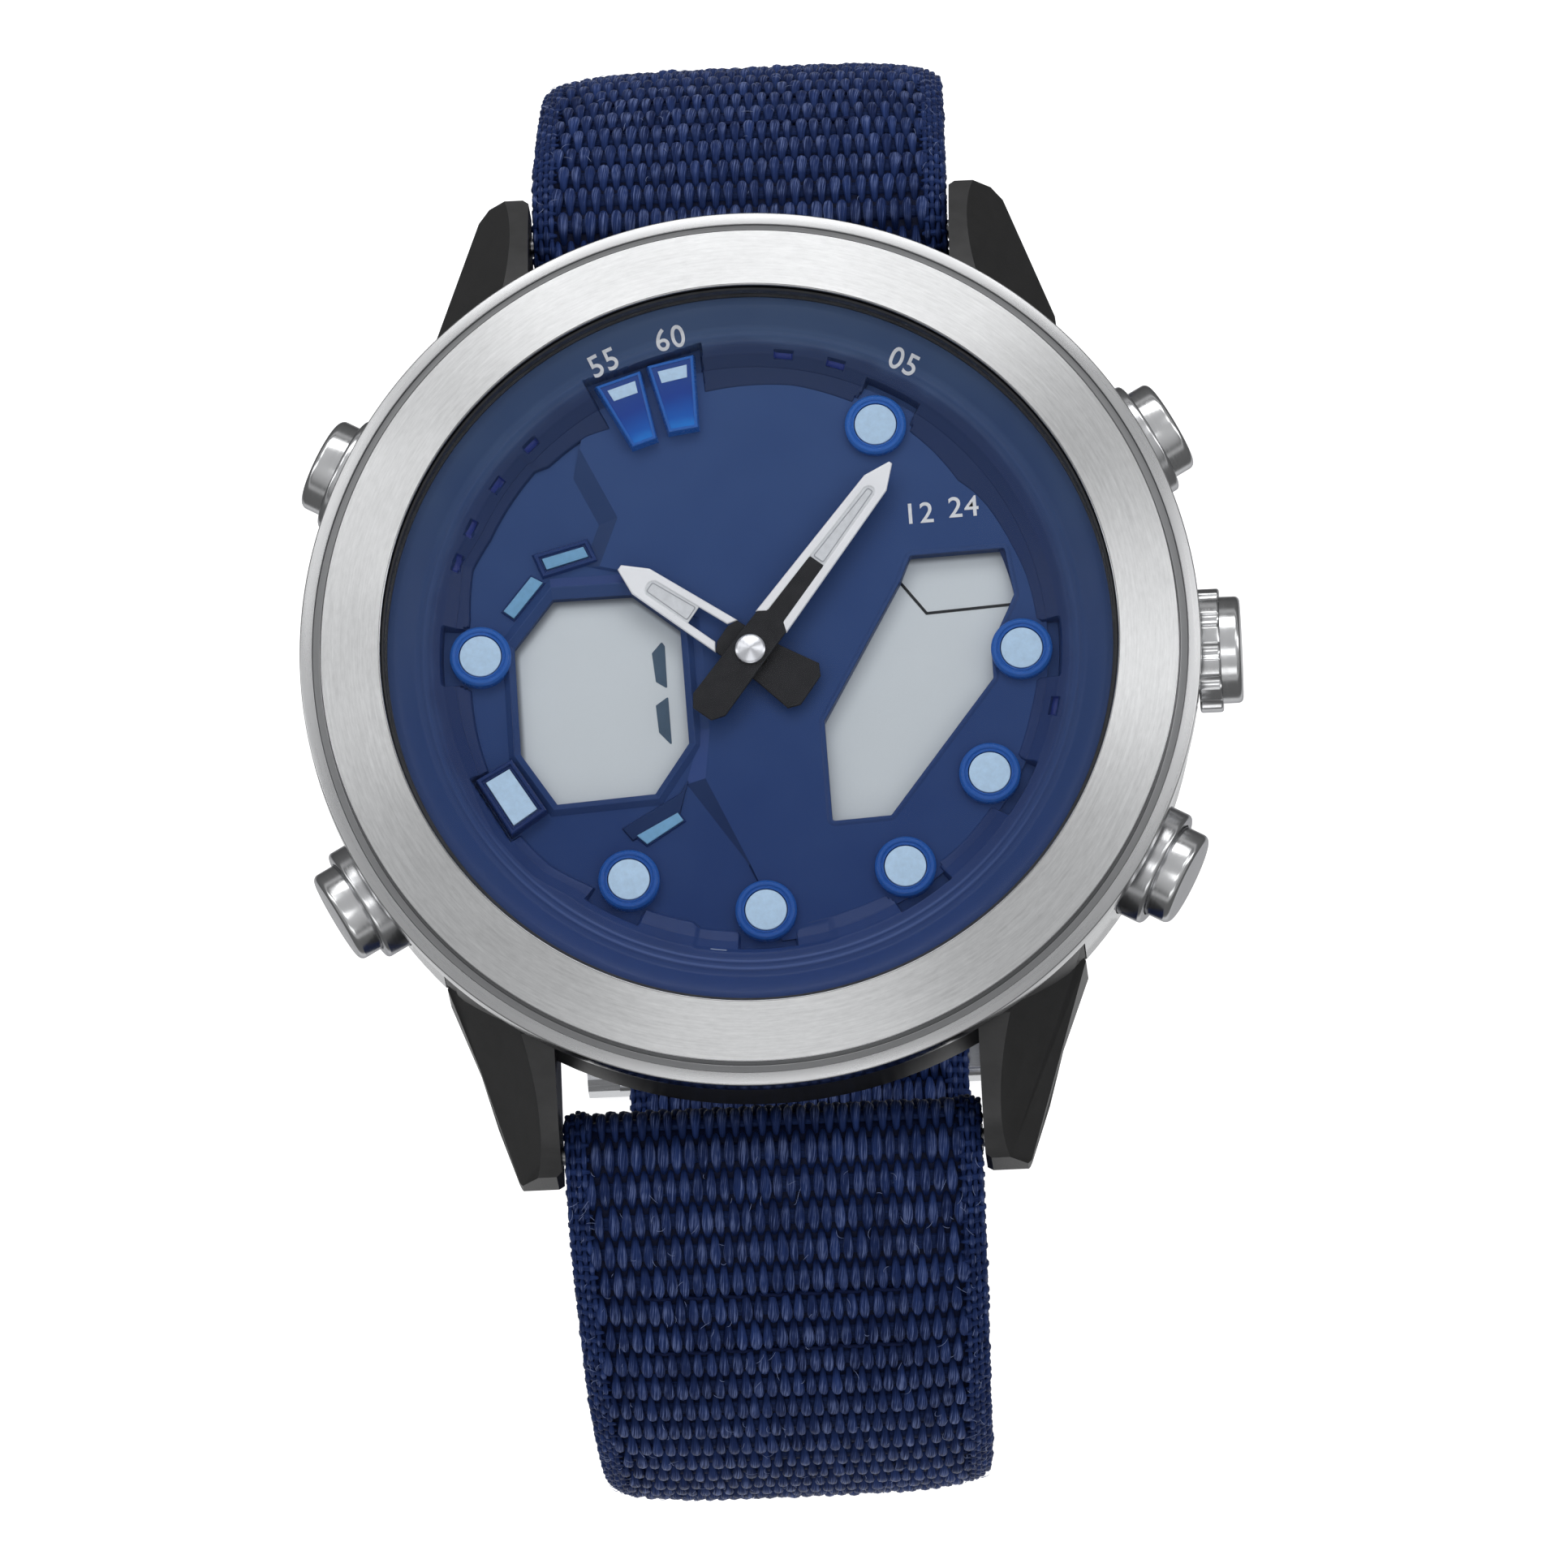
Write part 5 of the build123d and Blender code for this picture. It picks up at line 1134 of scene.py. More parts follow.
mg.nt.links.new(gl_n.outputs[0], mx_n.inputs[2])
mg.nt.links.new(mx_n.outputs[0], mg.out.inputs[0])
crystal = revolve("crystal_disc", [(0, 11.30)] + fillet([(0, 11.30), (18.95, 11.30), (18.95, 12.15), (18.80, 12.30), (0, 12.30)], [0, 0.03, 0.03, 0.03, 0], 3)[1:-1] + [(0, 12.30)], 256, closed=False, sharp=30)
weighted(crystal)
give(crystal, mg.m, "watch", ["crystal"])

case = cad_copy("case_black_body", "case_body", 0.10, 2, angle=13)
for v in case.data.vertices:
    x, y = v.co.x / MM, v.co.y / MM
    lim = (19.82 + 0.266 * y) / 0.9637
    if y < -16.0 and abs(x) > lim:
        v.co.x = (lim if x > 0 else -lim) * MM
    if y < -24.6:
        v.co.y = (-24.6 + (y + 24.6) * 0.62) * MM
give(case, M_BLACK, "watch", ["case_body"])
# painted light: faces turned upward get a lighter black, and the rounded bevel edges a lighter black still as a painted
# edge highlight
case.data.materials.append(plastic("black_coated_painted_top_light", (0.0440, 0.0440, 0.0450), 0.38, vary=0.14, scale=0.8, grain=0.12, grain_scale=22.0, spec=0.36))
case.data.materials.append(plastic("black_coated_painted_edge_highlight", (0.0750, 0.0750, 0.0770), 0.30, vary=0.14, scale=0.8, grain=0.10, grain_scale=22.0, spec=0.45))
for q in case.data.polygons:
    if q.normal.z > 0.25 and abs(q.normal.x) < 0.5:
        q.material_index = 1
case.modifiers["edge"].material = 2
for nm in ("side_band_right", "side_band_left"):
    give(cad_copy(nm + "_turned", nm, 0.06, 2), M_BAND, "watch", [nm])
give(cad_copy("case_back_turned", "case_back", 0.06, 2), M_BACK, "watch", ["case_back"])
give(cad_copy("case_back_screw_set", "case_back_screws", 0.04, 2), M_SCREW, "watch", ["case_back_screws"])

# ---------------------------------------------------------------- pushers and crown
M_PUSH = {}
PUSH = {"2h": 29.0, "4h": -29.0, "8h": 209.0, "10h": 151.0}
AXZ = 6.2


def lathe_metal(name, angle, base, rough, bump=0.025):
    """Polished round part with faint turning marks round its own axis."""
    m = Mat(name)
    d = (cos(rad(angle)), sin(rad(angle)), 0.0)
    v = m.vmath("SUBTRACT", m.mm(), (0.0, 0.0, AXZ))
    h = m.vmath("DOT_PRODUCT", v, d)
    t = m.vmath("DOT_PRODUCT", v, (-d[1], d[0], 0.0))
    _, _, z = m.sep(v)
    r = m.math("SQRT", m.math("ADD", m.math("MULTIPLY", t, t), m.math("MULTIPLY", z, z)))
    n = m.noise(m.comb(m.math("MULTIPLY", r, 10.0), m.math("MULTIPLY", h, 10.0), m.math("MULTIPLY", z, 0.25)), 1.0, 3.0, 0.6)
    b = m.noise(m.mm(), 0.8, 2.0, 0.5)
    m.set(Base_Color=m.ramp(b, [(0.3, tuple(c * 0.97 for c in base)), (0.7, tuple(min(1, c * 1.03) for c in base))]), Metallic=1.0,
          Roughness=m.maprange(n, 0.3, 0.7, rough * 0.8, rough * 1.25), Normal=m.bump(n, bump, 0.012))
    m.p.inputs["Specular Tint"].default_value = (0.45, 0.45, 0.46, 1)
    return m.m


for tag, ang in PUSH.items():
    mt = lathe_metal("pusher_steel_" + tag, ang, (0.76, 0.765, 0.775), 0.20)
    prof = [(0, 15.6), (0.75, 15.6), (0.75, 16.14), (0.5, 16.14), (0.5, 16.40), (0.75, 16.40), (0.75, 23.92), (2.5, 23.92), (2.5, 25.35), (0, 25.35)]
    rr = [0, 0.08, 0.02, 0, 0, 0.02, 0.05, 0.12, 0.34, 0]
    ob = revolve("pusher_" + tag + "_cap", fillet(prof, rr, 7, closed=False), 160, closed=False, origin=(0, 0, AXZ), axis="R", angle=ang, sharp=30)
    weighted(ob)
    give(ob, mt, "pusher_" + tag, ["pusher_" + tag])
guide_parts = []
for tag, ang in PUSH.items():
    prof = [(1.45, 20.4), (1.45, 23.0), (2.56, 23.0), (2.56, 24.05), (3.10, 24.05), (3.10, 22.62), (1.90, 22.62), (1.90, 16.5), (0.79, 16.5), (0.79, 18.40), (1.24, 18.40), (1.24, 18.99), (0.79, 18.99), (0.79, 20.4)]
    rr = [0.02, 0.03, 0.05, 0.06, 0.22, 0.08, 0.03, 0.05, 0.03, 0, 0, 0, 0, 0]
    ob = revolve("pusher_guide_" + tag, fillet(prof, rr, 6), 160, origin=(0, 0, AXZ), axis="R", angle=ang, sharp=30)
    weighted(ob)
    mt = lathe_metal("guide_steel_" + tag, ang, (0.70, 0.705, 0.72), 0.22)
    give(ob, mt, "watch", ["pusher_guides"])


def radial_loft(name, rings, axis_angle, close_ends=True, sharp=30):
    """Rings of radius samples along a radial axis: rings = [(h, array of radii)]."""
    N = len(rings[0][1])
    d = np.array([cos(rad(axis_angle)), sin(rad(axis_angle)), 0.0])
    e1 = np.array([-sin(rad(axis_angle)), cos(rad(axis_angle)), 0.0])
    e2 = np.array([0, 0, 1.0])
    th = np.arange(N) * 2 * pi / N
    co = []
    for h, r in rings:
        co.append(h * d[None] + (r * np.cos(th))[:, None] * e1 + (r * np.sin(th))[:, None] * e2 + np.array([0, 0, AXZ]))
    co = np.concatenate(co)
    j, k = np.meshgrid(np.arange(len(rings) - 1), np.arange(N), indexing="ij")
    k2 = (k + 1) % N
    quads = np.stack([j * N + k, j * N + k2, (j + 1) * N + k2, (j + 1) * N + k], -1).reshape(-1, 4)
    ob = mesh_np(name, co, quads)
    bm = bmesh.new(); bm.from_mesh(ob.data)
    bmesh.ops.remove_doubles(bm, verts=bm.verts, dist=1e-7)
    bmesh.ops.recalc_face_normals(bm, faces=bm.faces)
    a = rad(sharp)
    for ed in bm.edges:
        ed.smooth = len(ed.link_faces) == 2 and ed.calc_face_angle(0.0) < a
    for f in bm.faces:
        f.smooth = True
    bm.to_mesh(ob.data); bm.free()
    weighted(ob)
    return ob


NC = 720
thc = np.arange(NC) * 2 * pi / NC
flute = np.full(NC, 3.25)
for k in range(12):
    a = rad(15 + 30 * k)
    d = (thc - a + pi) % (2 * pi) - pi
    # circle of radius 0.5 whose centre is 3.52 out
    inside = np.abs(3.52 * np.sin(d)) < 0.5
    cut = 3.52 * np.cos(d) - np.sqrt(np.clip(0.25 - (3.52 * np.sin(d)) ** 2, 0, None))
    flute = np.where(inside & (np.abs(d) < 0.3), np.minimum(flute, cut), flute)
# soften the flute's corners
ker = np.hanning(9); ker /= ker.sum()
flute = np.convolve(np.concatenate([flute[-4:], flute, flute[:4]]), ker, "valid")
one = np.ones(NC)
rings = [(24.95, one * 0.0), (24.95, one * 0.50), (24.75, one * 0.50), (24.75, one * 1.68), (23.80, one * 1.68), (23.80, one * 2.12), (23.34, one * 2.12), (23.34, one * 1.68), (23.12, one * 1.68), (23.12, one * 2.4)]
for k in range(6):
    q = k / 5 * pi / 2
    rings.append((23.12 + 0.14 * (1 - cos(q)), flute - 0.14 * (1 - sin(q))))
for k in range(6):
    q = k / 5 * pi / 2
    rings.append((24.32 - 0.14 * (1 - sin(q)), flute - 0.14 * (1 - cos(q))))
rings += [(24.32, one * 2.84), (24.33, one * 2.78)]
for k in range(8):
    q = k / 7 * pi / 2
    rings.append((25.37 - 0.28 * (1 - sin(q)), one * (2.78 - 0.28 * (1 - cos(q)))))
rings += [(25.37, one * 0.0)]
M_CROWN = lathe_metal("crown_steel", 0.0, (0.76, 0.765, 0.775), 0.20)
crown = radial_loft("crown_fluted", rings, 0.0)
give(crown, M_CROWN, "crown", ["crown"])
give(revolve("crown_tube_turned", fillet([(0.85, 16.5), (1.60, 16.5), (1.60, 24.6), (0.85, 24.6)], 0.05, 3), 96, origin=(0, 0, AXZ), axis="R", angle=0, sharp=30), M_STEELPART, "watch", ["crown_tube"])

# ================================================================ dial
ROUND_AT = [(6.90, 11.95), (14.05, -0.40), (12.15, -7.00), (7.60, -11.80), (0.30, -13.80), (-6.75, -11.85), (-14.05, 0.45)]
TWIN_L = [(-7.47, 14.57), (-5.28, 15.26), (-4.56, 11.72), (-5.72, 11.34)]
TWIN_R = [(-4.76, 15.54), (-2.50, 16.01), (-2.38, 12.23), (-3.79, 12.03)]
RECT_AT = [(-13.99, -6.35), (-12.74, -5.66), (-11.37, -7.87), (-12.62, -8.70)]
BAR_A = [(-10.70, 5.63), (-8.52, 6.19), (-8.28, 5.65), (-10.47, 5.05)]
BAR_B = [(-11.29, 4.70), (-10.70, 4.36), (-12.26, 2.51), (-12.78, 2.92)]
BAR_C = [(-6.27, -9.43), (-4.11, -8.30), (-3.83, -8.71), (-5.75, -9.90)]
LCD_L = [(-10.21, 3.46), (-6.09, 3.53), (-3.65, 1.58), (-3.40, -4.57), (-5.24, -7.20), (-10.34, -7.53), (-12.15, -4.77), (-12.29, 0.89)]
LCD_R = [(8.43, 4.91), (13.35, 5.10), (13.75, 2.58), (13.35, 1.70), (12.46, -0.10), (12.52, -1.85), (6.96, -8.95), (3.90, -9.12), (3.67, -3.76), (7.88, 3.58)]


def ccw(pts):
    a = sum(p[0] * q[1] - q[0] * p[1] for p, q in zip(pts, pts[1:] + pts[:1]))
    return list(pts) if a > 0 else list(pts)[::-1]


def grown(pts, d):
    """Outline moved outward by d with mitred corners."""
    p = ccw(pts)
    n = len(p)
    out = []
    for i in range(n):
        a, b, c = Vector(p[i - 1]), Vector(p[i]), Vector(p[(i + 1) % n])
        e1, e2 = (b - a).normalized(), (c - b).normalized()
        n1, n2 = Vector((e1.y, -e1.x)), Vector((e2.y, -e2.x))
        m = (n1 + n2)
        k = d / max(0.25, (1 + n1.dot(n2)))
        out.append((b.x + m.x * k, b.y + m.y * k))
    return out


def finish_bm(name, bm, sharp=25, bevel=0.0, seg=2, angle=20, wn=True):
    bmesh.ops.remove_doubles(bm, verts=bm.verts, dist=1e-7)
    bmesh.ops.recalc_face_normals(bm, faces=bm.faces)
    a = rad(sharp)
    for ed in bm.edges:
        ed.smooth = len(ed.link_faces) == 2 and ed.calc_face_angle(0.0) < a
    for f in bm.faces:
        f.smooth = True
    me = bpy.data.meshes.new(name)
    bm.to_mesh(me)
    bm.free()
    ob = link(bpy.data.objects.new(name, me))
    if bevel:
        b = ob.modifiers.new("edge", "BEVEL")
        b.limit_method = "ANGLE"
        b.angle_limit = rad(angle)
        b.width = bevel * MM
        b.segments = seg
        b.harden_normals = True
        b.use_clamp_overlap = True
    elif wn:
        weighted(ob)
    return ob


def frame_loft(name, outline, sections, closed_profile=True, **kw):
    """A moulding that follows an outline: sections = [(grow, z), ...]."""
    bm = bmesh.new()
    rings = []
    for g, z in sections:
        rings.append([bm.verts.new((x * MM, y * MM, z * MM)) for x, y in grown(outline, g)])
    n = len(rings[0])
    m = len(rings)
    for j in range(m if closed_profile else m - 1):
        a, b = rings[j], rings[(j + 1) % m]
        for i in range(n):
            bm.faces.new((a[i], a[(i + 1) % n], b[(i + 1) % n], b[i]))
    return finish_bm(name, bm, **kw)


def relief(name, outline, holes, z0, z1, slope, **kw):
    """A raised area with sloping sides and straight-walled holes."""
    from mathutils.geometry import tessellate_polygon
    bm = bmesh.new()
    outline = ccw(outline)
    loops = [outline] + [ccw(h) for h in holes]
    polys = [[Vector((x, y, 0)) for x, y in lp] for lp in loops]
    tris = tessellate_polygon(polys)
    flat = [v for lp in polys for v in lp]
    top = [bm.verts.new((v.x * MM, v.y * MM, z1 * MM)) for v in flat]
    for t in tris:
        try:
            bm.faces.new([top[i] for i in t])
        except ValueError:
            pass
    low = grown(outline, slope)
    base = 0
    for q, lp in enumerate(loops):
        n = len(lp)
        low_pts = low if q == 0 else lp
        lv = [bm.verts.new((x * MM, y * MM, z0 * MM)) for x, y in low_pts]
        for i in range(n):
            j = (i + 1) % n
            bm.faces.new((top[base + i], top[base + j], lv[j], lv[i]))
        base += n
    bmesh.ops.dissolve_limit(bm, angle_limit=rad(0.5), verts=bm.verts, edges=bm.edges)
    return finish_bm(name, bm, **kw)


def blue(name, base, rough=0.34, vary=0.10, grain=0.05, spec=0.5, coat=0.15, scale=0.25, tint=None):
    """Tinted dial plastic with a soft drift of tone and painted light: lighter towards +Y, the far side."""
    m = Mat(name)
    v = m.mm()
    n = m.noise(v, scale, 2.0, 0.5)
    g = m.noise(v, 16.0, 2.0, 0.6)
    _, y, _ = m.sep(v)
    # painted light: the colour runs from lo on the near side to hi on the far side
    painted_light_y = m.maprange(y, -18.0, 18.0, 0.0, 1.0)
    t = m.math("ADD", m.math("MULTIPLY", n, 0.3), m.math("MULTIPLY", painted_light_y, 0.7))
    lo = tuple(c * (1 - vary) for c in base)
    hi = tuple(c * (1 + vary) for c in base)
    if tint:
        hi = tint
    m.set(Base_Color=m.ramp(t, [(0.2, lo), (0.8, hi)]), Roughness=m.maprange(g, 0.3, 0.7, rough * 0.88, rough * 1.14), Normal=m.bump(g, grain, 0.02))
    m.p.inputs["Specular IOR Level"].default_value = spec
    if coat:
        m.p.inputs["Coat Weight"].default_value = coat
        m.p.inputs["Coat Roughness"].default_value = 0.15
    return m.m


BLUE_LO, BLUE_HI = (0.0210, 0.0500, 0.1720), (0.0440, 0.0860, 0.2200)
DULL = dict(spec=0.10, coat=0.0)
M_DECK = blue("dial_deck_blue", BLUE_LO, tint=BLUE_HI, **DULL)
M_PLATEAU = blue("dial_plateau_blue", tuple(c * 1.04 for c in BLUE_LO), tint=tuple(c * 1.04 for c in BLUE_HI), **DULL)
# painted shade and painted light: darker and paler copies of the dial blue for slopes facing away from or towards the
# light
M_SLOPE_PAINTED_SHADE = blue("dial_slope_painted_shade", tuple(c * 0.62 for c in BLUE_LO), tint=tuple(c * 0.72 for c in BLUE_HI), **DULL)
M_SLOPE_PAINTED_LIGHT = blue("dial_slope_painted_light", tuple(c * 1.45 for c in BLUE_LO), tint=(0.058, 0.085, 0.215), **DULL)
def flange_blue():
    """Blue ring: the sloping wall has painted shade, darker than the smooth outer band, most of all on the far side;
    the outer band has painted light, lighter towards the far side.
    """
    m = Mat("flange_ring_blue")
    v = m.mm()
    x, y, z = m.sep(v)
    r = m.math("SQRT", m.math("ADD", m.math("MULTIPLY", x, x), m.math("MULTIPLY", y, y)))
    n = m.noise(v, 0.3, 2.0, 0.5)
    g = m.noise(v, 16.0, 2.0, 0.6)
    t = m.math("ADD", m.math("MULTIPLY", n, 0.25), m.math("MULTIPLY", m.maprange(y, -18.0, 18.0, 0.0, 1.0), 0.75))
    band = m.ramp(t, [(0.15, (0.0235, 0.0520, 0.175)), (0.60, (0.0300, 0.0620, 0.165)), (0.88, (0.0560, 0.0980, 0.200))])
    wall = m.ramp(t, [(0.15, (0.0200, 0.0470, 0.165)), (0.42, (0.0160, 0.0350, 0.120)), (0.85, (0.0205, 0.0390, 0.105))])
    rj = m.math("ADD", r, m.math("MULTIPLY", m.math("SUBTRACT", m.noise(v, 0.5, 1.0, 0.5), 0.5), 0.5))
    mask = m.maprange(rj, 16.25, 17.0, 1.0, 0.0, smooth=True)
    col = m.mix(mask, band, wall)
    # painted highlights along the edges of the double ridge, plainest near the bottom
    painted_ridge_highlight_1 = m.maprange(m.math("ABSOLUTE", m.math("SUBTRACT", r, 16.60)), 0.03, 0.11, 1.0, 0.0, smooth=True)
    painted_ridge_highlight_2 = m.maprange(m.math("ABSOLUTE", m.math("SUBTRACT", r, 17.00)), 0.03, 0.13, 1.0, 0.0, smooth=True)
    side = m.math("MULTIPLY", m.maprange(y, -16.5, -6.0, 1.0, 0.10, smooth=True), 0.75)
    # the pale blue is the painted highlight colour
    col = m.mix(m.math("MULTIPLY", m.math("MAXIMUM", painted_ridge_highlight_1, painted_ridge_highlight_2), side), col, (0.070, 0.115, 0.290))
    m.set(Base_Color=col, Roughness=m.maprange(g, 0.3, 0.7, 0.32, 0.40), Normal=m.bump(g, 0.04, 0.02))
    m.p.inputs["Specular IOR Level"].default_value = 0.18
    return m.m


M_FLANGE = flange_blue()
M_FRAME = blue("display_frame_blue", BLUE_LO, rough=0.3, spec=0.16, coat=0.0, tint=BLUE_HI)
M_DARKFRAME = blue("marker_frame_navy", (0.014, 0.034, 0.138), rough=0.3, spec=0.2, coat=0.0, tint=(0.022, 0.050, 0.170))
M_RING = blue("marker_ring_blue", (0.018, 0.105, 0.430), rough=0.26, vary=0.15, spec=0.25, coat=0.1, tint=(0.028, 0.140, 0.50))

FL_DECK = 9.50
N_TH = 1440


def sstep(x, a, b):
    t = np.clip((x - a) / (b - a), 0, 1)
    return t * t * (3 - 2 * t)


# where the sloping wall meets the dial, by angle
FOOT = [(0, 14.9), (14, 14.8), (21, 14.64), (30.5, 14.49), (34.5, 14.36), (38.6, 14.10), (46.6, 14.30), (53, 14.40), (69, 14.45), (79.5, 14.55), (88, 14.42), (98.6, 14.27),
        (110, 14.2), (119, 14.21), (124, 14.55), (134, 14.67), (136.5, 15.0), (144, 14.97), (153, 14.94), (160, 15.2), (170, 14.74), (185, 14.63), (201, 14.91), (214, 15.3), (225, 15.25),
        (233, 14.85), (245, 14.6), (256, 14.55), (257.5, 14.78), (270, 14.75), (280, 14.6), (290, 14.6), (300, 14.7), (315, 14.9), (330, 14.9), (345, 14.8), (360, 14.9)]


def foot_at(dg):
    f = np.array(FOOT, float)
    return np.interp(np.mod(dg, 360.0), f[:, 0], f[:, 1])


def flange_mesh():
    m = 66
    t = np.linspace(0, 1, m)
    th = np.arange(N_TH) * 2 * pi / N_TH
    dg1 = np.degrees(th)
    foot = foot_at(dg1)
    # rows: a skirt inside the foot, then the wall, the ledge, the double ridge and the smooth outer band
    rows_r, rows_z = [], []
    for dr, dz in ((-0.42, 0.0), (-0.20, 0.0), (-0.05, 0.0), (-0.015, 0.01), (0.02, 0.10), (0.06, 0.19), (0.10, 0.225), (0.16, 0.24)):
        rows_r.append(foot + dr); rows_z.append(np.full(N_TH, FL_DECK - 0.02 + dz))
    # ledge up to the crisp edge
    edge = np.maximum(foot + 0.55, 15.42)
    for q in (0.33, 0.66, 0.92, 0.98):
        rows_r.append(foot + 0.16 + (edge - foot - 0.16) * q); rows_z.append(FL_DECK + 0.22 + 0.18 * q + 0.0 * foot)
    top = np.maximum(edge + 0.62, 16.10)
    for q in (0.0, 0.03, 0.10, 0.25, 0.4, 0.55, 0.7, 0.82, 0.92, 1.0):
        rows_r.append(edge + (top - edge) * q); rows_z.append(FL_DECK + 0.43 + 0.37 * (q if q < 0.8 else 0.8 + 0.2 * sin((q - 0.8) / 0.2 * pi / 2)) + 0.0 * foot)
    for q in np.linspace(0.06, 1, 22):
        r = top + (17.42 - top) * q
        z = FL_DECK + 0.80 + 0.16 * q + 0.060 * np.exp(-((r - 16.62) / 0.09) ** 2) + 0.075 * np.exp(-((r - 17.02) / 0.11) ** 2)
        rows_r.append(r); rows_z.append(z)
    for q in np.linspace(0.12, 1, 9):
        rows_r.append(np.full(N_TH, 17.42 + 1.13 * q)); rows_z.append(np.full(N_TH, FL_DECK + 0.96 + 0.585 * (1 - (1 - q) ** 1.35)))
    rows_r.append(np.full(N_TH, 19.05)); rows_z.append(np.full(N_TH, 11.046))
    R, z = np.array(rows_r), np.array(rows_z)
    T = np.broadcast_to(th, R.shape)
    X, Y = R * np.cos(T), R * np.sin(T)
    dg = np.degrees(T) % 360
    # a step in the ledge near the bottom
    st = sstep(dg, 256.9, 257.9) * (1 - sstep(dg, 283, 285))
    z = z - 0.10 * st * sstep(R, 14.6, 14.85) * (1 - sstep(R, 15.9, 16.2))
    for a, w in SLOTS:
        d = np.abs((dg - a + 180) % 360 - 180)
        z = z - 0.24 * (1 - sstep(d, w * 0.90, w * 1.06)) * (1 - sstep(np.abs(R - 16.05), 0.15, 0.24))
    for x, y in ROUND_AT:
        a = deg(math.atan2(y, x)) % 360
        rc = hypot(x, y)
        d = np.abs((dg - a + 180) % 360 - 180)
        w = 5.3
        lim = min(rc + 1.95, 16.05)
        cut = (1 - sstep(d, w, w + 0.5)) * (1 - sstep(R, lim, lim + 0.12))
        z = z - np.maximum(0, z - (FL_DECK - 0.03)) * cut
        rr = np.hypot(X - x, Y - y)
        z = np.minimum(z, np.where(rr < 1.80, FL_DECK - 0.04, 99))
    for poly in (grown([TWIN_L[3], TWIN_L[0], TWIN_R[1], TWIN_R[2]], 0.45), grown(RECT_AT, 0.50)):
        dist = np.full_like(z, -1e9)
        n = len(poly)
        for i in range(n):
            (x0, y0), (x1, y1) = poly[i], poly[(i + 1) % n]
            L = hypot(x1 - x0, y1 - y0)
            dist = np.maximum(dist, ((y1 - y0) * (X - x0) - (x1 - x0) * (Y - y0)) / L)
        k = 1 - sstep(dist, -0.02, 0.10)
        z = z - np.maximum(0, z - (FL_DECK - 0.03)) * k
    z = np.minimum(z, 11.047)
    m, n = R.shape
    top_v = np.stack([X, Y, z], -1).reshape(-1, 3)
    j, k = np.meshgrid(np.arange(m - 1), np.arange(n), indexing="ij")
    k2 = (k + 1) % n
    quads = np.stack([j * n + k, (j + 1) * n + k, (j + 1) * n + k2, j * n + k2], -1).reshape(-1, 4)
    extra = []
    base = m * n
    walls = [(19.05, 8.35), (17.60, 8.35), (17.60, 9.42), (14.0, 9.42)]
    for r, zz in walls:
        extra.append(np.stack([r * np.cos(th), r * np.sin(th), np.full(n, zz)], -1))
    rows = [np.arange(n) + (m - 1) * n] + [base + w * n + np.arange(n) for w in range(len(walls))] + [np.arange(n)]
    for a, b in zip(rows[:-1], rows[1:]):
        quads = np.concatenate([quads, np.stack([a, b, np.roll(b, -1), np.roll(a, -1)], -1)])
    co = np.concatenate([top_v] + extra)
    ob = mesh_np("flange_ring_wall", co, quads)
    sharp_by_angle(ob.data, 38)
    # floor of each slot
    n_top = (m - 1) * n
    c = co[quads[:n_top]].mean(1)
    rc_, ac_ = np.hypot(c[:, 0], c[:, 1]), np.degrees(np.arctan2(c[:, 1], c[:, 0])) % 360
    mi = np.zeros(len(quads), np.int32)
    for a, w in SLOTS:
        d = np.abs((ac_ - a + 180) % 360 - 180)
        mi[:n_top][(d < w * 1.02) & (np.abs(rc_ - 16.05) < 0.140)] = 1
    return ob, mi


SLOTS = ((81.9, 1.7), (72.0, 1.7), (133.5, 1.5), (143.4, 1.5), (153.0, 1.6), (160.0, 1.6), (-13.1, 1.7))
M_SLOT = blue("flange_slot_violet", (0.014, 0.028, 0.150), rough=0.3, spec=0.25, coat=0.0, tint=(0.022, 0.042, 0.225))
flange_ob, flange_mi = flange_mesh()
give(flange_ob, M_FLANGE, "watch", ["flange_ring"])
flange_ob.data.materials.append(M_SLOT)
if len(flange_mi) == len(flange_ob.data.polygons):
    flange_ob.data.polygons.foreach_set("material_index", flange_mi)

deck = plate("dial_deck", [circle_pts(0, 0, 17.5, 256), LCD_L, LCD_R, circle_pts(0, 0, 1.15, 64)], 8.95, 9.50, 0.03)
give(deck, M_DECK, "watch", ["dial_plate"])

def offset_edges(pts, dists):
    """Outline (counter-clockwise) with every edge moved outward by its own distance."""
    n = len(pts)
    lines = []
    for i in range(n):
        a, b = Vector(pts[i]), Vector(pts[(i + 1) % n])
        e = (b - a).normalized()
        nrm = Vector((e.y, -e.x))
        lines.append((a + nrm * dists[i], e))
    out = []
    for i in range(n):
        (p, d), (q, e) = lines[i - 1], lines[i]
        den = d.x * e.y - d.y * e.x
        c = p + d * (((q.x - p.x) * e.y - (q.y - p.y) * e.x) / den) if abs(den) > 1e-3 else q
        if (c - Vector(pts[i])).length > 2.6 * max(0.05, dists[i], dists[i - 1]):
            c = (q + Vector(pts[i])) * 0.5
        out.append(tuple(c))
    return out


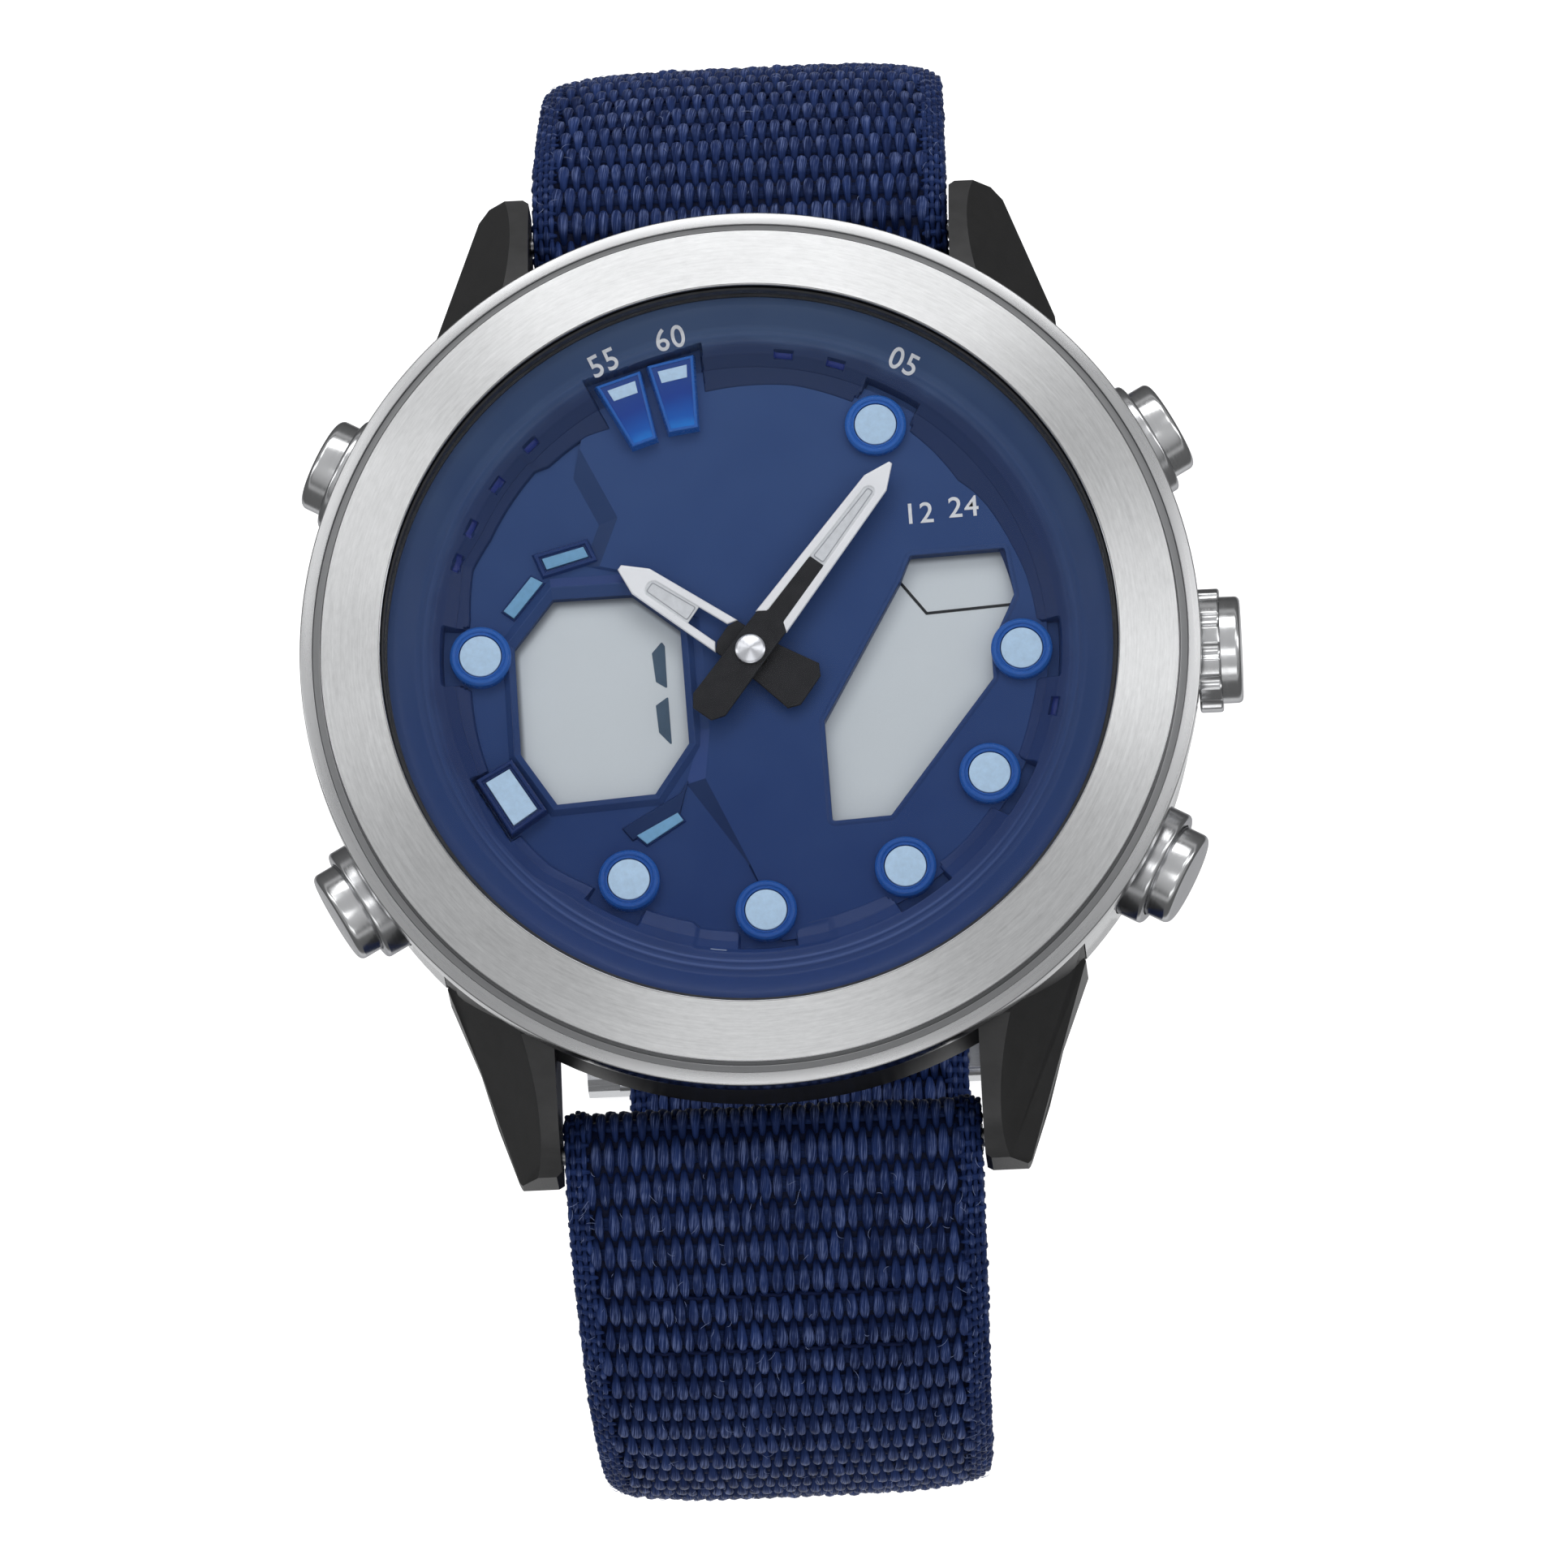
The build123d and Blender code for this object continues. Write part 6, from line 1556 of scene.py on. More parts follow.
def mound(name, outline, dists, tags, holes, z0, z1, mats):
    """A raised area whose sides slope by their own amounts; tags pick the material of each side."""
    from mathutils.geometry import tessellate_polygon
    bm = bmesh.new()
    loops = [outline] + [ccw(h) for h in holes]
    flat = [v for lp in loops for v in lp]
    tris = tessellate_polygon([[Vector((x, y, 0)) for x, y in lp] for lp in loops])
    top = [bm.verts.new((x * MM, y * MM, z1 * MM)) for x, y in flat]
    for t in tris:
        f = bm.faces.new([top[i] for i in t])
        f.material_index = 0
    base = 0
    for q, lp in enumerate(loops):
        n = len(lp)
        low = offset_edges(lp, dists) if q == 0 else lp
        lv = [bm.verts.new((x * MM, y * MM, z0 * MM)) for x, y in low]
        for i in range(n):
            j = (i + 1) % n
            f = bm.faces.new((top[base + i], top[base + j], lv[j], lv[i]))
            f.material_index = tags[i] if q == 0 else 0
        base += n
    bmesh.ops.dissolve_limit(bm, angle_limit=rad(0.4), verts=bm.verts, edges=bm.edges, delimit={"MATERIAL"})
    ob = finish_bm(name, bm, bevel=0.035, seg=2, angle=6, sharp=5)
    for mt in mats:
        ob.data.materials.append(mt)
    return ob


# raised middle of the dial, with sloping edges on its left; slopes tagged 1 carry painted shade, slopes tagged 2
# painted light
ridge = [(-8.55, 11.5), (-6.69, 7.69), (-7.72, 5.11), (-6.02, 4.70), (-2.62, 2.05), (-2.30, -3.9), (-2.61, -6.52), (-0.44, -11.22)]
ridge_d = [1.10, 0.85, 0.12, 0.12, 0.30, 1.00, 1.05, 0.20]
ridge_t = [1, 1, 0, 0, 0, 2, 1, 1]
arc_r = [(15.42 * cos(rad(a)), 15.42 * sin(rad(a))) for a in np.arange(-86, 122.1, 2.0)]
PLAT_TOP = 9.66
outline_p = [ridge[0]] + ridge[1:] + [(0.55, -13.6)] + arc_r
# keep it counter-clockwise: down the left side, along the bottom and back up the right
dist_p = ridge_d + [0.0] * (len(outline_p) - len(ridge_d))
tag_p = ridge_t + [0] * (len(outline_p) - len(ridge_t))
plateau = mound("dial_plateau", outline_p, dist_p, tag_p, [grown(LCD_R, 0.0), circle_pts(0, 0, 1.15, 48)], 9.49, PLAT_TOP, [M_PLATEAU, M_SLOPE_PAINTED_SHADE, M_SLOPE_PAINTED_LIGHT])
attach(plateau, "watch"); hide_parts("dial_plate")

lf = ccw(LCD_L)


def frame_left():
    """Moulding round the left window: broad above it, narrow elsewhere."""
    n = len(lf)
    wide = []
    for i in range(n):
        a, b = Vector(lf[i]), Vector(lf[(i + 1) % n])
        ny = -(b.x - a.x) / (b - a).length
        wide.append(1.0 if ny > 0.85 else 0.72 if ny > 0.3 else 0.55)
    secs = [(0.0, 8.96), (0.0, 9.50), (0.04, 9.53), (0.56, 9.78), (0.62, 9.79), (1.16, 9.49)]
    bm = bmesh.new()
    rings = [[bm.verts.new((x * MM, y * MM, z * MM)) for x, y in offset_edges(lf, [g * w for w in wide])] for g, z in secs]
    for j in range(len(secs) - 1):
        for i in range(n):
            f = bm.faces.new((rings[j][i], rings[j][(i + 1) % n], rings[j + 1][(i + 1) % n], rings[j + 1][i]))
            # the outer slope of the broad upper side takes the pale slope copy: painted light
            f.material_index = 1 if (j == 4 and wide[i] > 0.9) else 0
    ob = finish_bm("display_frame_left", bm, bevel=0.03, seg=2, angle=8, sharp=6)
    ob.data.materials.append(M_FRAME)
    ob.data.materials.append(M_SLOPE_PAINTED_LIGHT)
    return ob


frame_l = frame_left()
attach(frame_l, "watch"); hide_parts("dial_plate")
# plate beside the lower bar, coloured with the painted-shade blue
sl = relief("dial_painted_shade_plate", [(-6.97, -9.00), (-3.92, -7.27), (-3.52, -6.60), (-4.05, -8.40), (-6.49, -9.62)], [], 9.49, 9.62, 0.06, bevel=0.02, seg=2, angle=15)
give(sl, M_SLOPE_PAINTED_SHADE, "watch", ["dial_plate"])
rf = fillet(ccw(LCD_R), 0.15, 3)
frame_r = frame_loft("display_frame_right", rf, [(0.0, 8.96), (0.0, PLAT_TOP + 0.03), (0.03, PLAT_TOP + 0.06), (0.16, PLAT_TOP + 0.06), (0.30, PLAT_TOP - 0.01)], closed_profile=False, sharp=18)
give(frame_r, M_FRAME, "watch", ["dial_plate"])

M_TICK = blue("ledge_tick_pale", (0.30, 0.37, 0.56), rough=0.35, spec=0.3, coat=0.0)
for k_, (aa, rt, half_a) in enumerate(((248.0, 15.62, 1.9), (261.2, 15.84, 1.9), (262.0, 16.02, 1.5))):
    arc_o = [((rt + 0.028) * cos(rad(aa + q * half_a)), (rt + 0.028) * sin(rad(aa + q * half_a))) for q in np.linspace(-1, 1, 9)]
    arc_i = [((rt - 0.028) * cos(rad(aa + q * half_a)), (rt - 0.028) * sin(rad(aa + q * half_a))) for q in np.linspace(1, -1, 9)]
    tick_z = FL_DECK + 0.43 if rt < 15.9 else FL_DECK + 0.74
    give(plate(f"ledge_tick_{k_ + 1}", [ccw(arc_o + arc_i)], tick_z - 0.10, tick_z + 0.03, 0.008), M_TICK, "watch")

# ---------------------------------------------------------------- displays
def lcd_mat(name, col, edges):
    """Grey display glass with painted shadow: its colour darkens close to the given edges (a, b, reach)."""
    m = Mat(name)
    v = m.mm()
    big = m.noise(v, 0.25, 2.0, 0.5)
    fine = m.noise(v, 26.0, 2.0, 0.6)
    _, y, _ = m.sep(v)
    t = m.math("ADD", m.math("MULTIPLY", big, 0.4), m.math("MULTIPLY", m.maprange(y, -9.0, 5.0, 0.0, 1.0), 0.6))
    c = m.ramp(t, [(0.25, tuple(q * 0.955 for q in col)), (0.75, tuple(min(1, q * 1.03) for q in col))])
    c = m.mix(0.04, c, m.ramp(fine, [(0.3, (0.2, 0.21, 0.22)), (0.7, (0.8, 0.8, 0.8))]))
    keep = None
    for (x0, y0), (x1, y1), reach in edges:
        L = hypot(x1 - x0, y1 - y0)
        nx, ny = (y1 - y0) / L, -(x1 - x0) / L
        d = m.math("SUBTRACT", nx * x0 + ny * y0, m.vmath("DOT_PRODUCT", v, (nx, ny, 0.0)))
        k = m.maprange(d, 0.02, reach, 0.0, 1.0, smooth=True)
        keep = k if keep is None else m.math("MULTIPLY", keep, k)
    # painted shadow: dark grey mixed in near the shaded edges
    c = m.mix(m.math("MULTIPLY", m.math("SUBTRACT", 1.0, keep), 0.72), c, (0.085, 0.10, 0.13))
    m.set(Base_Color=c, Roughness=m.maprange(fine, 0.3, 0.7, 0.30, 0.40), Normal=m.bump(fine, 0.02, 0.01))
    m.p.inputs["Specular IOR Level"].default_value = 0.15
    return m.m


LL, LR = ccw(LCD_L), ccw(LCD_R)


def shade_edges(lp, top, other):
    out = []
    for i in range(len(lp)):
        (x0, y0), (x1, y1) = lp[i], lp[(i + 1) % len(lp)]
        L = hypot(x1 - x0, y1 - y0)
        nx, ny = (y1 - y0) / L, -(x1 - x0) / L
        w = 0.85 * ny - 0.45 * nx
        if w > 0.25:
            out.append(((x0, y0), (x1, y1), other + (top - other) * min(1.0, w)))
    return out


M_LCD_L = lcd_mat("lcd_glass_left", (0.690, 0.735, 0.750), shade_edges(LL, 0.55, 0.12))
M_LCD_R = lcd_mat("lcd_glass_right", (0.690, 0.735, 0.750), [e for e in shade_edges(LR, 0.40, 0.10) if e[0][1] > 4.5 and e[1][1] > 4.5])
M_SEG = plastic("lcd_segment_ink", (0.050, 0.095, 0.150), 0.3, vary=0.1, grain=0.02)
M_LINE = plastic("lcd_line_ink", (0.006, 0.008, 0.011), 0.3, vary=0.1, grain=0.02)
for nm in ("lcd_left", "lcd_right"):
    give(cad_copy(nm + "_cell", nm, 0.05, 2), M_LCD_L if nm == "lcd_left" else M_LCD_R, "watch", [nm])
SEG1 = [(-4.66, 1.09), (-4.5, 0.86), (-4.45, -1.42), (-5.03, -1.04), (-5.19, 0.5)]
SEG2 = [(-4.42, -1.86), (-4.31, -4.49), (-4.96, -3.76), (-5.08, -2.31)]
for k, sg in enumerate((SEG1, SEG2)):
    give(plate(f"lcd_segment_{k + 1}", [fillet(ccw(sg), 0.05, 3)], 8.898, 8.925, 0.006), M_SEG, "watch")


def stroke(pts, w):
    """A bent line as an outline of width w."""
    L, R = [], []
    for i, p in enumerate(pts):
        a = Vector(pts[max(0, i - 1)]); b = Vector(pts[min(len(pts) - 1, i + 1)])
        if i in (0, len(pts) - 1):
            d = (b - a).normalized(); nrm = Vector((-d.y, d.x)); k = w / 2
        else:
            d1 = (Vector(p) - a).normalized(); d2 = (b - Vector(p)).normalized()
            n1, n2 = Vector((-d1.y, d1.x)), Vector((-d2.y, d2.x))
            nrm = (n1 + n2).normalized(); k = w / 2 / max(0.3, nrm.dot(n1))
        L.append((p[0] + nrm.x * k, p[1] + nrm.y * k)); R.append((p[0] - nrm.x * k, p[1] - nrm.y * k))
    return L + R[::-1]


give(plate("lcd_line", [ccw(stroke([(7.80, 3.75), (9.16, 1.98), (13.95, 2.28)], 0.15))], 8.898, 8.925, 0.006), M_LINE, "watch")

# ---------------------------------------------------------------- markers
def lume_mat(name, col, rough=0.4, glow=0.0):
    m = Mat(name)
    v = m.mm()
    n = m.noise(v, 3.0, 3.0, 0.6)
    g = m.noise(v, 30.0, 2.0, 0.6)
    m.set(Base_Color=m.ramp(n, [(0.3, tuple(c * 0.93 for c in col)), (0.7, tuple(min(1, c * 1.06) for c in col))]), Roughness=m.maprange(g, 0.3, 0.7, rough * 0.9, rough * 1.15), Normal=m.bump(g, 0.08, 0.02))
    m.p.inputs["Specular IOR Level"].default_value = 0.35
    m.p.inputs["Subsurface Weight"].default_value = 0.0
    return m.m


M_LUME = lume_mat("lume_pale_blue", (0.520, 0.710, 0.900))
M_BARLUME = lume_mat("bar_pale_blue", (0.175, 0.390, 0.610))
M_HLUME = lume_mat("hand_insert_white", (0.74, 0.75, 0.76))
for k, (x, y) in enumerate(ROUND_AT):
    prof = [(1.60, 9.47), (1.60, 10.02), (1.46, 10.16), (1.33, 10.16), (1.25, 10.07), (1.20, 10.13), (1.13, 10.13), (1.12, 9.70), (0.0, 9.70), (0.0, 9.47)]
    rr = [0, 0.14, 0.08, 0.06, 0.03, 0.02, 0.02, 0, 0, 0]
    ob = revolve(f"round_marker_{k}", fillet(prof[:8], rr[:8], 5, closed=False) + [(0.0, 9.70)], 96, closed=False, origin=(x, y, 0), sharp=30)
    weighted(ob)
    give(ob, M_RING, "watch", ["round_markers"])
    ob = revolve(f"round_lume_{k}", [(1.08, 9.70)] + fillet([(1.08, 9.70), (1.08, 10.12), (0.0, 10.135)], [0, 0.05, 0], 4, closed=False)[1:], 96, closed=False, origin=(x, y, 0), sharp=30)
    weighted(ob)
    give(ob, M_LUME, "watch", ["round_marker_lumes"])

for nm, pts in (("bar_a", BAR_A), ("bar_b", BAR_B), ("bar_c", BAR_C)):
    give(plate("marker_" + nm, [ccw(pts)], 9.49, 9.72, 0.03), M_BARLUME, "watch", ["bar_markers"])
    if nm == "bar_a":
        secs = [(0.03, 9.49), (0.03, 9.62), (0.10, 9.62), (0.15, 9.74), (0.30, 9.74), (0.40, 9.49)]
    else:
        secs = [(0.02, 9.49), (0.02, 9.56), (0.07, 9.57), (0.11, 9.49)]
    give(frame_loft("recess_" + nm, ccw(pts), secs, closed_profile=False, sharp=18), M_DARKFRAME, "watch", ["dial_plate"])
give(plate("marker_rect_fill", [ccw(RECT_AT)], 9.49, 10.12, 0.04), M_LUME, "watch", ["bar_markers"])
give(frame_loft("marker_rect_frame", ccw(RECT_AT), [(0.02, 9.50), (0.02, 10.02), (0.06, 10.06), (0.12, 10.06), (0.18, 10.22), (0.31, 10.22), (0.37, 10.14), (0.41, 9.49)], closed_profile=False, sharp=18, bevel=0.02, angle=14),
     M_DARKFRAME, "watch", ["framed_markers"])


def twin_mat():
    """Clear blue plastic that brightens towards its inner end."""
    m = Mat("twin_marker_clear_blue")
    v = m.mm()
    r = m.vmath("LENGTH", m.vmath("MULTIPLY", v, (1.0, 1.0, 0.0)))
    n = m.noise(v, 1.2, 2.0, 0.5)
    t = m.math("ADD", m.maprange(r, 12.2, 16.0, 1.0, 0.0), m.math("MULTIPLY", n, 0.12))
    m.set(Base_Color=m.ramp(t, [(0.10, (0.030, 0.075, 0.29)), (0.50, (0.018, 0.060, 0.31)), (0.80, (0.016, 0.115, 0.48)), (0.95, (0.025, 0.22, 0.68))]), Roughness=m.maprange(n, 0.3, 0.7, 0.14, 0.22))
    m.p.inputs["Specular IOR Level"].default_value = 0.2
    m.p.inputs["Coat Weight"].default_value = 0.08
    m.p.inputs["Coat Roughness"].default_value = 0.06
    return m.m


M_TWIN = twin_mat()
for nm, pts in (("l", TWIN_L), ("r", TWIN_R)):
    give(plate("twin_marker_" + nm, [ccw(pts)], 9.49, 10.30, 0.08, res=3), M_TWIN, "watch", ["framed_markers"])
    o0, o1, i1, i0 = [Vector(p) for p in pts]
    a0, a1 = o0.lerp(i0, 0.10), o1.lerp(i1, 0.10)
    b0, b1 = o0.lerp(i0, 0.28), o1.lerp(i1, 0.28)
    q = [a0.lerp(a1, 0.16), a0.lerp(a1, 0.86), b0.lerp(b1, 0.84), b0.lerp(b1, 0.18)]
    give(plate("twin_lume_" + nm, [ccw([tuple(p) for p in q])], 10.27, 10.34, 0.02), M_LUME, "watch")
for nm, pts in (("l", TWIN_L), ("r", TWIN_R)):
    give(frame_loft("twin_frame_" + nm, ccw(pts), [(-0.10, 10.28), (-0.10, 10.34), (-0.06, 10.36), (0.00, 10.36), (0.05, 10.32), (0.10, 10.05), (0.15, 9.50)], closed_profile=False, sharp=18), M_RING, "watch", ["framed_markers"])

# ---------------------------------------------------------------- numerals
def band_z(r):
    """Height of the smooth outer band of the flange at radius r."""
    top = FL_DECK + 0.96
    q = np.clip((r - 17.42) / 1.13, 0, 1)
    lowz = FL_DECK + 0.80 + 0.16 * np.clip((r - 16.1) / 1.32, 0, 1) + 0.075 * np.exp(-((r - 17.02) / 0.11) ** 2)
    return np.where(r > 17.42, top + 0.585 * (1 - (1 - q) ** 1.35), lowz)


def numeral(name, text, size, place, spacing=1.0):
    cu = bpy.data.curves.new(name, "FONT")
    cu.body = text
    cu.size = size
    cu.space_character = spacing
    cu.align_x = "CENTER"
    cu.align_y = "CENTER"
    cu.resolution_u = 5
    cu.extrude = 0.012
    cu.bevel_depth = 0.006
    cu.bevel_resolution = 1
    cu.offset = 0.008
    ob = link(bpy.data.objects.new(name, cu))
    bpy.context.view_layer.update()
    me = bpy.data.meshes.new_from_object(ob.evaluated_get(bpy.context.evaluated_depsgraph_get()))
    bpy.data.objects.remove(ob)
    n = len(me.vertices)
    co = np.zeros(n * 3); me.vertices.foreach_get("co", co)
    co = place(co.reshape(-1, 3))
    me.vertices.foreach_set("co", (co * MM).ravel())
    me.update()
    bm = bmesh.new(); bm.from_mesh(me); bmesh.ops.remove_doubles(bm, verts=bm.verts, dist=1e-7)
    bmesh.ops.recalc_face_normals(bm, faces=bm.faces)
    bm.to_mesh(me); bm.free()
    me.name = name
    return link(bpy.data.objects.new(name, me))


def on_ring(angle, r0):
    def place(p):
        r = r0 + p[:, 1]
        a = rad(angle) - p[:, 0] / r0
        return np.stack([r * np.cos(a), r * np.sin(a), band_z(r) + 0.02 + p[:, 2]], -1)
    return place


def on_dial(x, y, z, turn):
    def place(p):
        c, s_ = cos(rad(turn)), sin(rad(turn))
        return np.stack([x + p[:, 0] * c - p[:, 1] * s_, y + p[:, 0] * s_ + p[:, 1] * c, z + 0.012 + p[:, 2]], -1)
    return place


M_PRINT = plastic("printed_white", (0.80, 0.81, 0.82), 0.5, vary=0.06, scale=4.0, grain=0.05, spec=0.2)
for nm, text, place in (("numerals_55", "55", on_ring(114.2, 17.28)), ("numerals_60", "60", on_ring(102.0, 17.28)), ("numerals_05", "05", on_ring(60.6, 17.30)), ("numerals_12", "12", on_dial(8.95, 7.12, PLAT_TOP, 2.0)), ("numerals_24", "24", on_dial(11.30, 7.36, PLAT_TOP, 2.0))):
    give(numeral(nm, text, 1.55, place, 1.1), M_PRINT, "watch")

# ---------------------------------------------------------------- hands
M_HAND = plain_metal("hand_silver", (0.97, 0.97, 0.972), 0.34, grain=0.02, scale=14.0, spots=0.02)
M_HAND.node_tree.nodes["Principled BSDF"].inputs["Metallic"].default_value = 0.18
M_TWINLINE = plain_metal("insert_edge_line", (0.42, 0.43, 0.45), 0.4, grain=0.02, scale=14.0, spots=0.03)
M_TAIL = plastic("hand_black_lacquer", (0.026, 0.026, 0.028), 0.42, vary=0.12, grain=0.05, spec=0.12)


def turned_pts(pts, a):
    c, s = cos(rad(a)), sin(rad(a))
    return [(x * c - y * s, x * s + y * c) for x, y in pts]


HANDS = (
    ("hour", 144.0, 10.08, 10.28, [(1.5, -1.04), (6.9, -0.82), (8.25, -0.16), (8.25, 0.16), (6.9, 0.82), (1.5, 1.04)],
     [(1.75, -0.62), (6.5, -0.46), (6.5, 0.46), (1.75, 0.62)],
     [(-3.45, -1.35), (-3.05, -1.45), (-1.2, -1.15), (1.72, -1.0), (1.72, 1.0), (-1.2, 1.15), (-3.05, 1.45), (-3.45, 1.35), (-3.75, 0.95), (-3.75, -0.95)],
     [(3.35, -0.60), (6.47, -0.46), (6.47, 0.46), (3.35, 0.60)], 0.93, 3.60),
    ("minute", 51.8, 10.55, 10.75, [(1.8, -1.00), (11.0, -0.72), (12.35, -0.10), (12.35, 0.10), (11.0, 0.72), (1.8, 1.00)],
     [(2.1, -0.60), (10.7, -0.38), (10.7, 0.38), (2.1, 0.60)],
     [(-3.9, -1.05), (-1.2, -1.0), (2.05, -0.95), (2.05, 0.95), (-1.2, 1.0), (-3.9, 1.05), (-4.25, 0.7), (-4.25, -0.7)],
     [(5.2, -0.56), (10.67, -0.39), (10.67, 0.39), (5.2, 0.56)], 0.56, 5.85),
)
for nm, ang, z0, z1, outer, slot_, tail, lume, bore, rl in HANDS:
    body = nm + "_hand"
    T = lambda p: ccw(turned_pts(p, ang))
    # two rails joined only at the tip
    sx, sw = slot_[1][0], slot_[1][1] * -1.0
    s0w = -slot_[0][1] - (0.10 if nm == "minute" else 0.06)
    s1w = sw - 0.10 if nm == "minute" else sw - 0.06
    x0 = outer[0][0]
    half = [(x0, outer[0][1]), (outer[1][0], outer[1][1]), (outer[2][0], outer[2][1]), (outer[3][0], outer[3][1]), (outer[4][0], outer[4][1]), (x0, outer[5][1]),
            (x0 + 0.35, s0w), (sx - 0.25, s1w + 0.02), (sx - 0.08, s1w * 0.75), (sx, s1w * 0.35), (sx, -s1w * 0.35), (sx - 0.08, -s1w * 0.75), (sx - 0.25, -s1w - 0.02), (x0 + 0.35, -s0w)]
    ob = plate(nm + "_hand_rails", [T(half)], z0, z1, 0.10, res=4)
    give(ob, M_HAND, body, [body])
    # insert bed: a shallow pan with rounded sides that closes the slot towards the tip
    w0, w1 = s0w + 0.09, s1w + 0.09
    wr = w0 + (w1 - w0) * (rl - x0) / (sx - x0)
    ob = plate(nm + "_hand_insert", [T([(rl, -wr), (sx + 0.06, -w1), (sx + 0.06, w1), (rl, wr)])], z0 + 0.02, z1 - 0.075, 0.03)
    give(ob, M_HLUME, body, [body + "_lume"])
    wi = wr - 0.19
    ob = plate(nm + "_hand_insert_line", [T(fillet(ccw([(rl + 0.10, -wi - 0.03), (sx - 0.12, -w1 + 0.19), (sx - 0.12, w1 - 0.19), (rl + 0.10, wi + 0.03)]), 0.10, 3)),
                                          T(fillet(ccw([(rl + 0.16, -wi + 0.02), (sx - 0.18, -w1 + 0.24), (sx - 0.18, w1 - 0.24), (rl + 0.16, wi - 0.02)]), 0.08, 3))], z0 + 0.05, z1 - 0.055, 0.012)
    give(ob, M_TWINLINE, body)
    # lacquered boss and tail; its tongue runs up between the rails
    if nm == "hour":
        tl = [(-3.30, -1.45), (-1.2, -1.15), (1.55, -1.0), (1.55, -0.98), (1.78, -0.50), (1.78, 0.50), (1.55, 0.98), (1.55, 1.0), (-1.2, 1.15), (-3.30, 1.45), (-3.75, 0.92), (-3.75, -0.92)]
    else:
        tl = [(-3.62, -1.04), (-1.2, -1.0), (1.85, -0.95), (2.3, -s0w - 0.02), (rl - 0.10, -wr - 0.0), (rl, -wr + 0.08), (rl, wr - 0.08), (rl - 0.10, wr + 0.0), (2.3, s0w + 0.02), (1.85, 0.95), (-1.2, 1.0), (-3.62, 1.04), (-4.25, 0.58), (-4.25, -0.58)]
    ob = plate(nm + "_hand_tail", [T(tl), circle_pts(0, 0, bore, 48)], z0 + 0.005, z1 - 0.02, 0.06, res=3)
    give(ob, M_TAIL, body, [body])

prof = [(0.0, 11.12)] + [(0.70 * q, 11.12 - 0.16 * q ** 1.4) for q in np.linspace(0.10, 1.0, 12)] + [(0.775, 10.90), (0.785, 10.84), (0.785, 10.76), (0.0, 10.76)]
capo = revolve("hand_cap_dome", prof, 96, closed=False, sharp=35)
give(capo, turned_steel("hand_cap_steel", (0.80, 0.80, 0.81), 0.30, aniso=0.6, fine=10.0, bump=0.06, streak=0.05), "minute_hand", ["hand_cap"])

# ================================================================ buckle and keepers
def leather(name, base, rough=0.5):
    m = Mat(name)
    v = m.mm()
    cells = m.voronoi(v, 1.9, "F1")
    fine = m.noise(v, 7.0, 3.0, 0.6)
    big = m.noise(v, 0.5, 2.0, 0.5)
    h = m.math("ADD", m.math("MULTIPLY", cells, 0.8), m.math("MULTIPLY", fine, 0.35))
    m.set(Base_Color=m.ramp(m.math("ADD", m.math("MULTIPLY", cells, 0.5), m.math("MULTIPLY", big, 0.5)), [(0.2, tuple(c * 0.7 for c in base)), (0.7, tuple(c * 1.2 for c in base))]),
          Roughness=m.maprange(cells, 0.1, 0.7, rough * 1.15, rough * 0.85), Normal=m.bump(h, 0.45, 0.10))
    return m.m


M_LEATHER = leather("keeper_navy_leather", (0.010, 0.015, 0.042))
give(cad_copy("buckle_frame_rounded", "buckle_frame", 0.22, 4, angle=28), M_BUCKLE, "buckle_frame", ["buckle_frame"])
give(cad_copy("buckle_tongue_rounded", "buckle_tongue", 0.16, 4, angle=28), M_BUCKLE, "buckle_tongue", ["buckle_tongue"])
give(cad_copy("fixed_keeper_loop", "fixed_keeper", 0.14, 3, angle=28), M_LEATHER, "watch", ["fixed_keeper"])
give(cad_copy("free_keeper_loop", "free_keeper", 0.14, 3, angle=28), M_LEATHER, "free_keeper", ["free_keeper"])

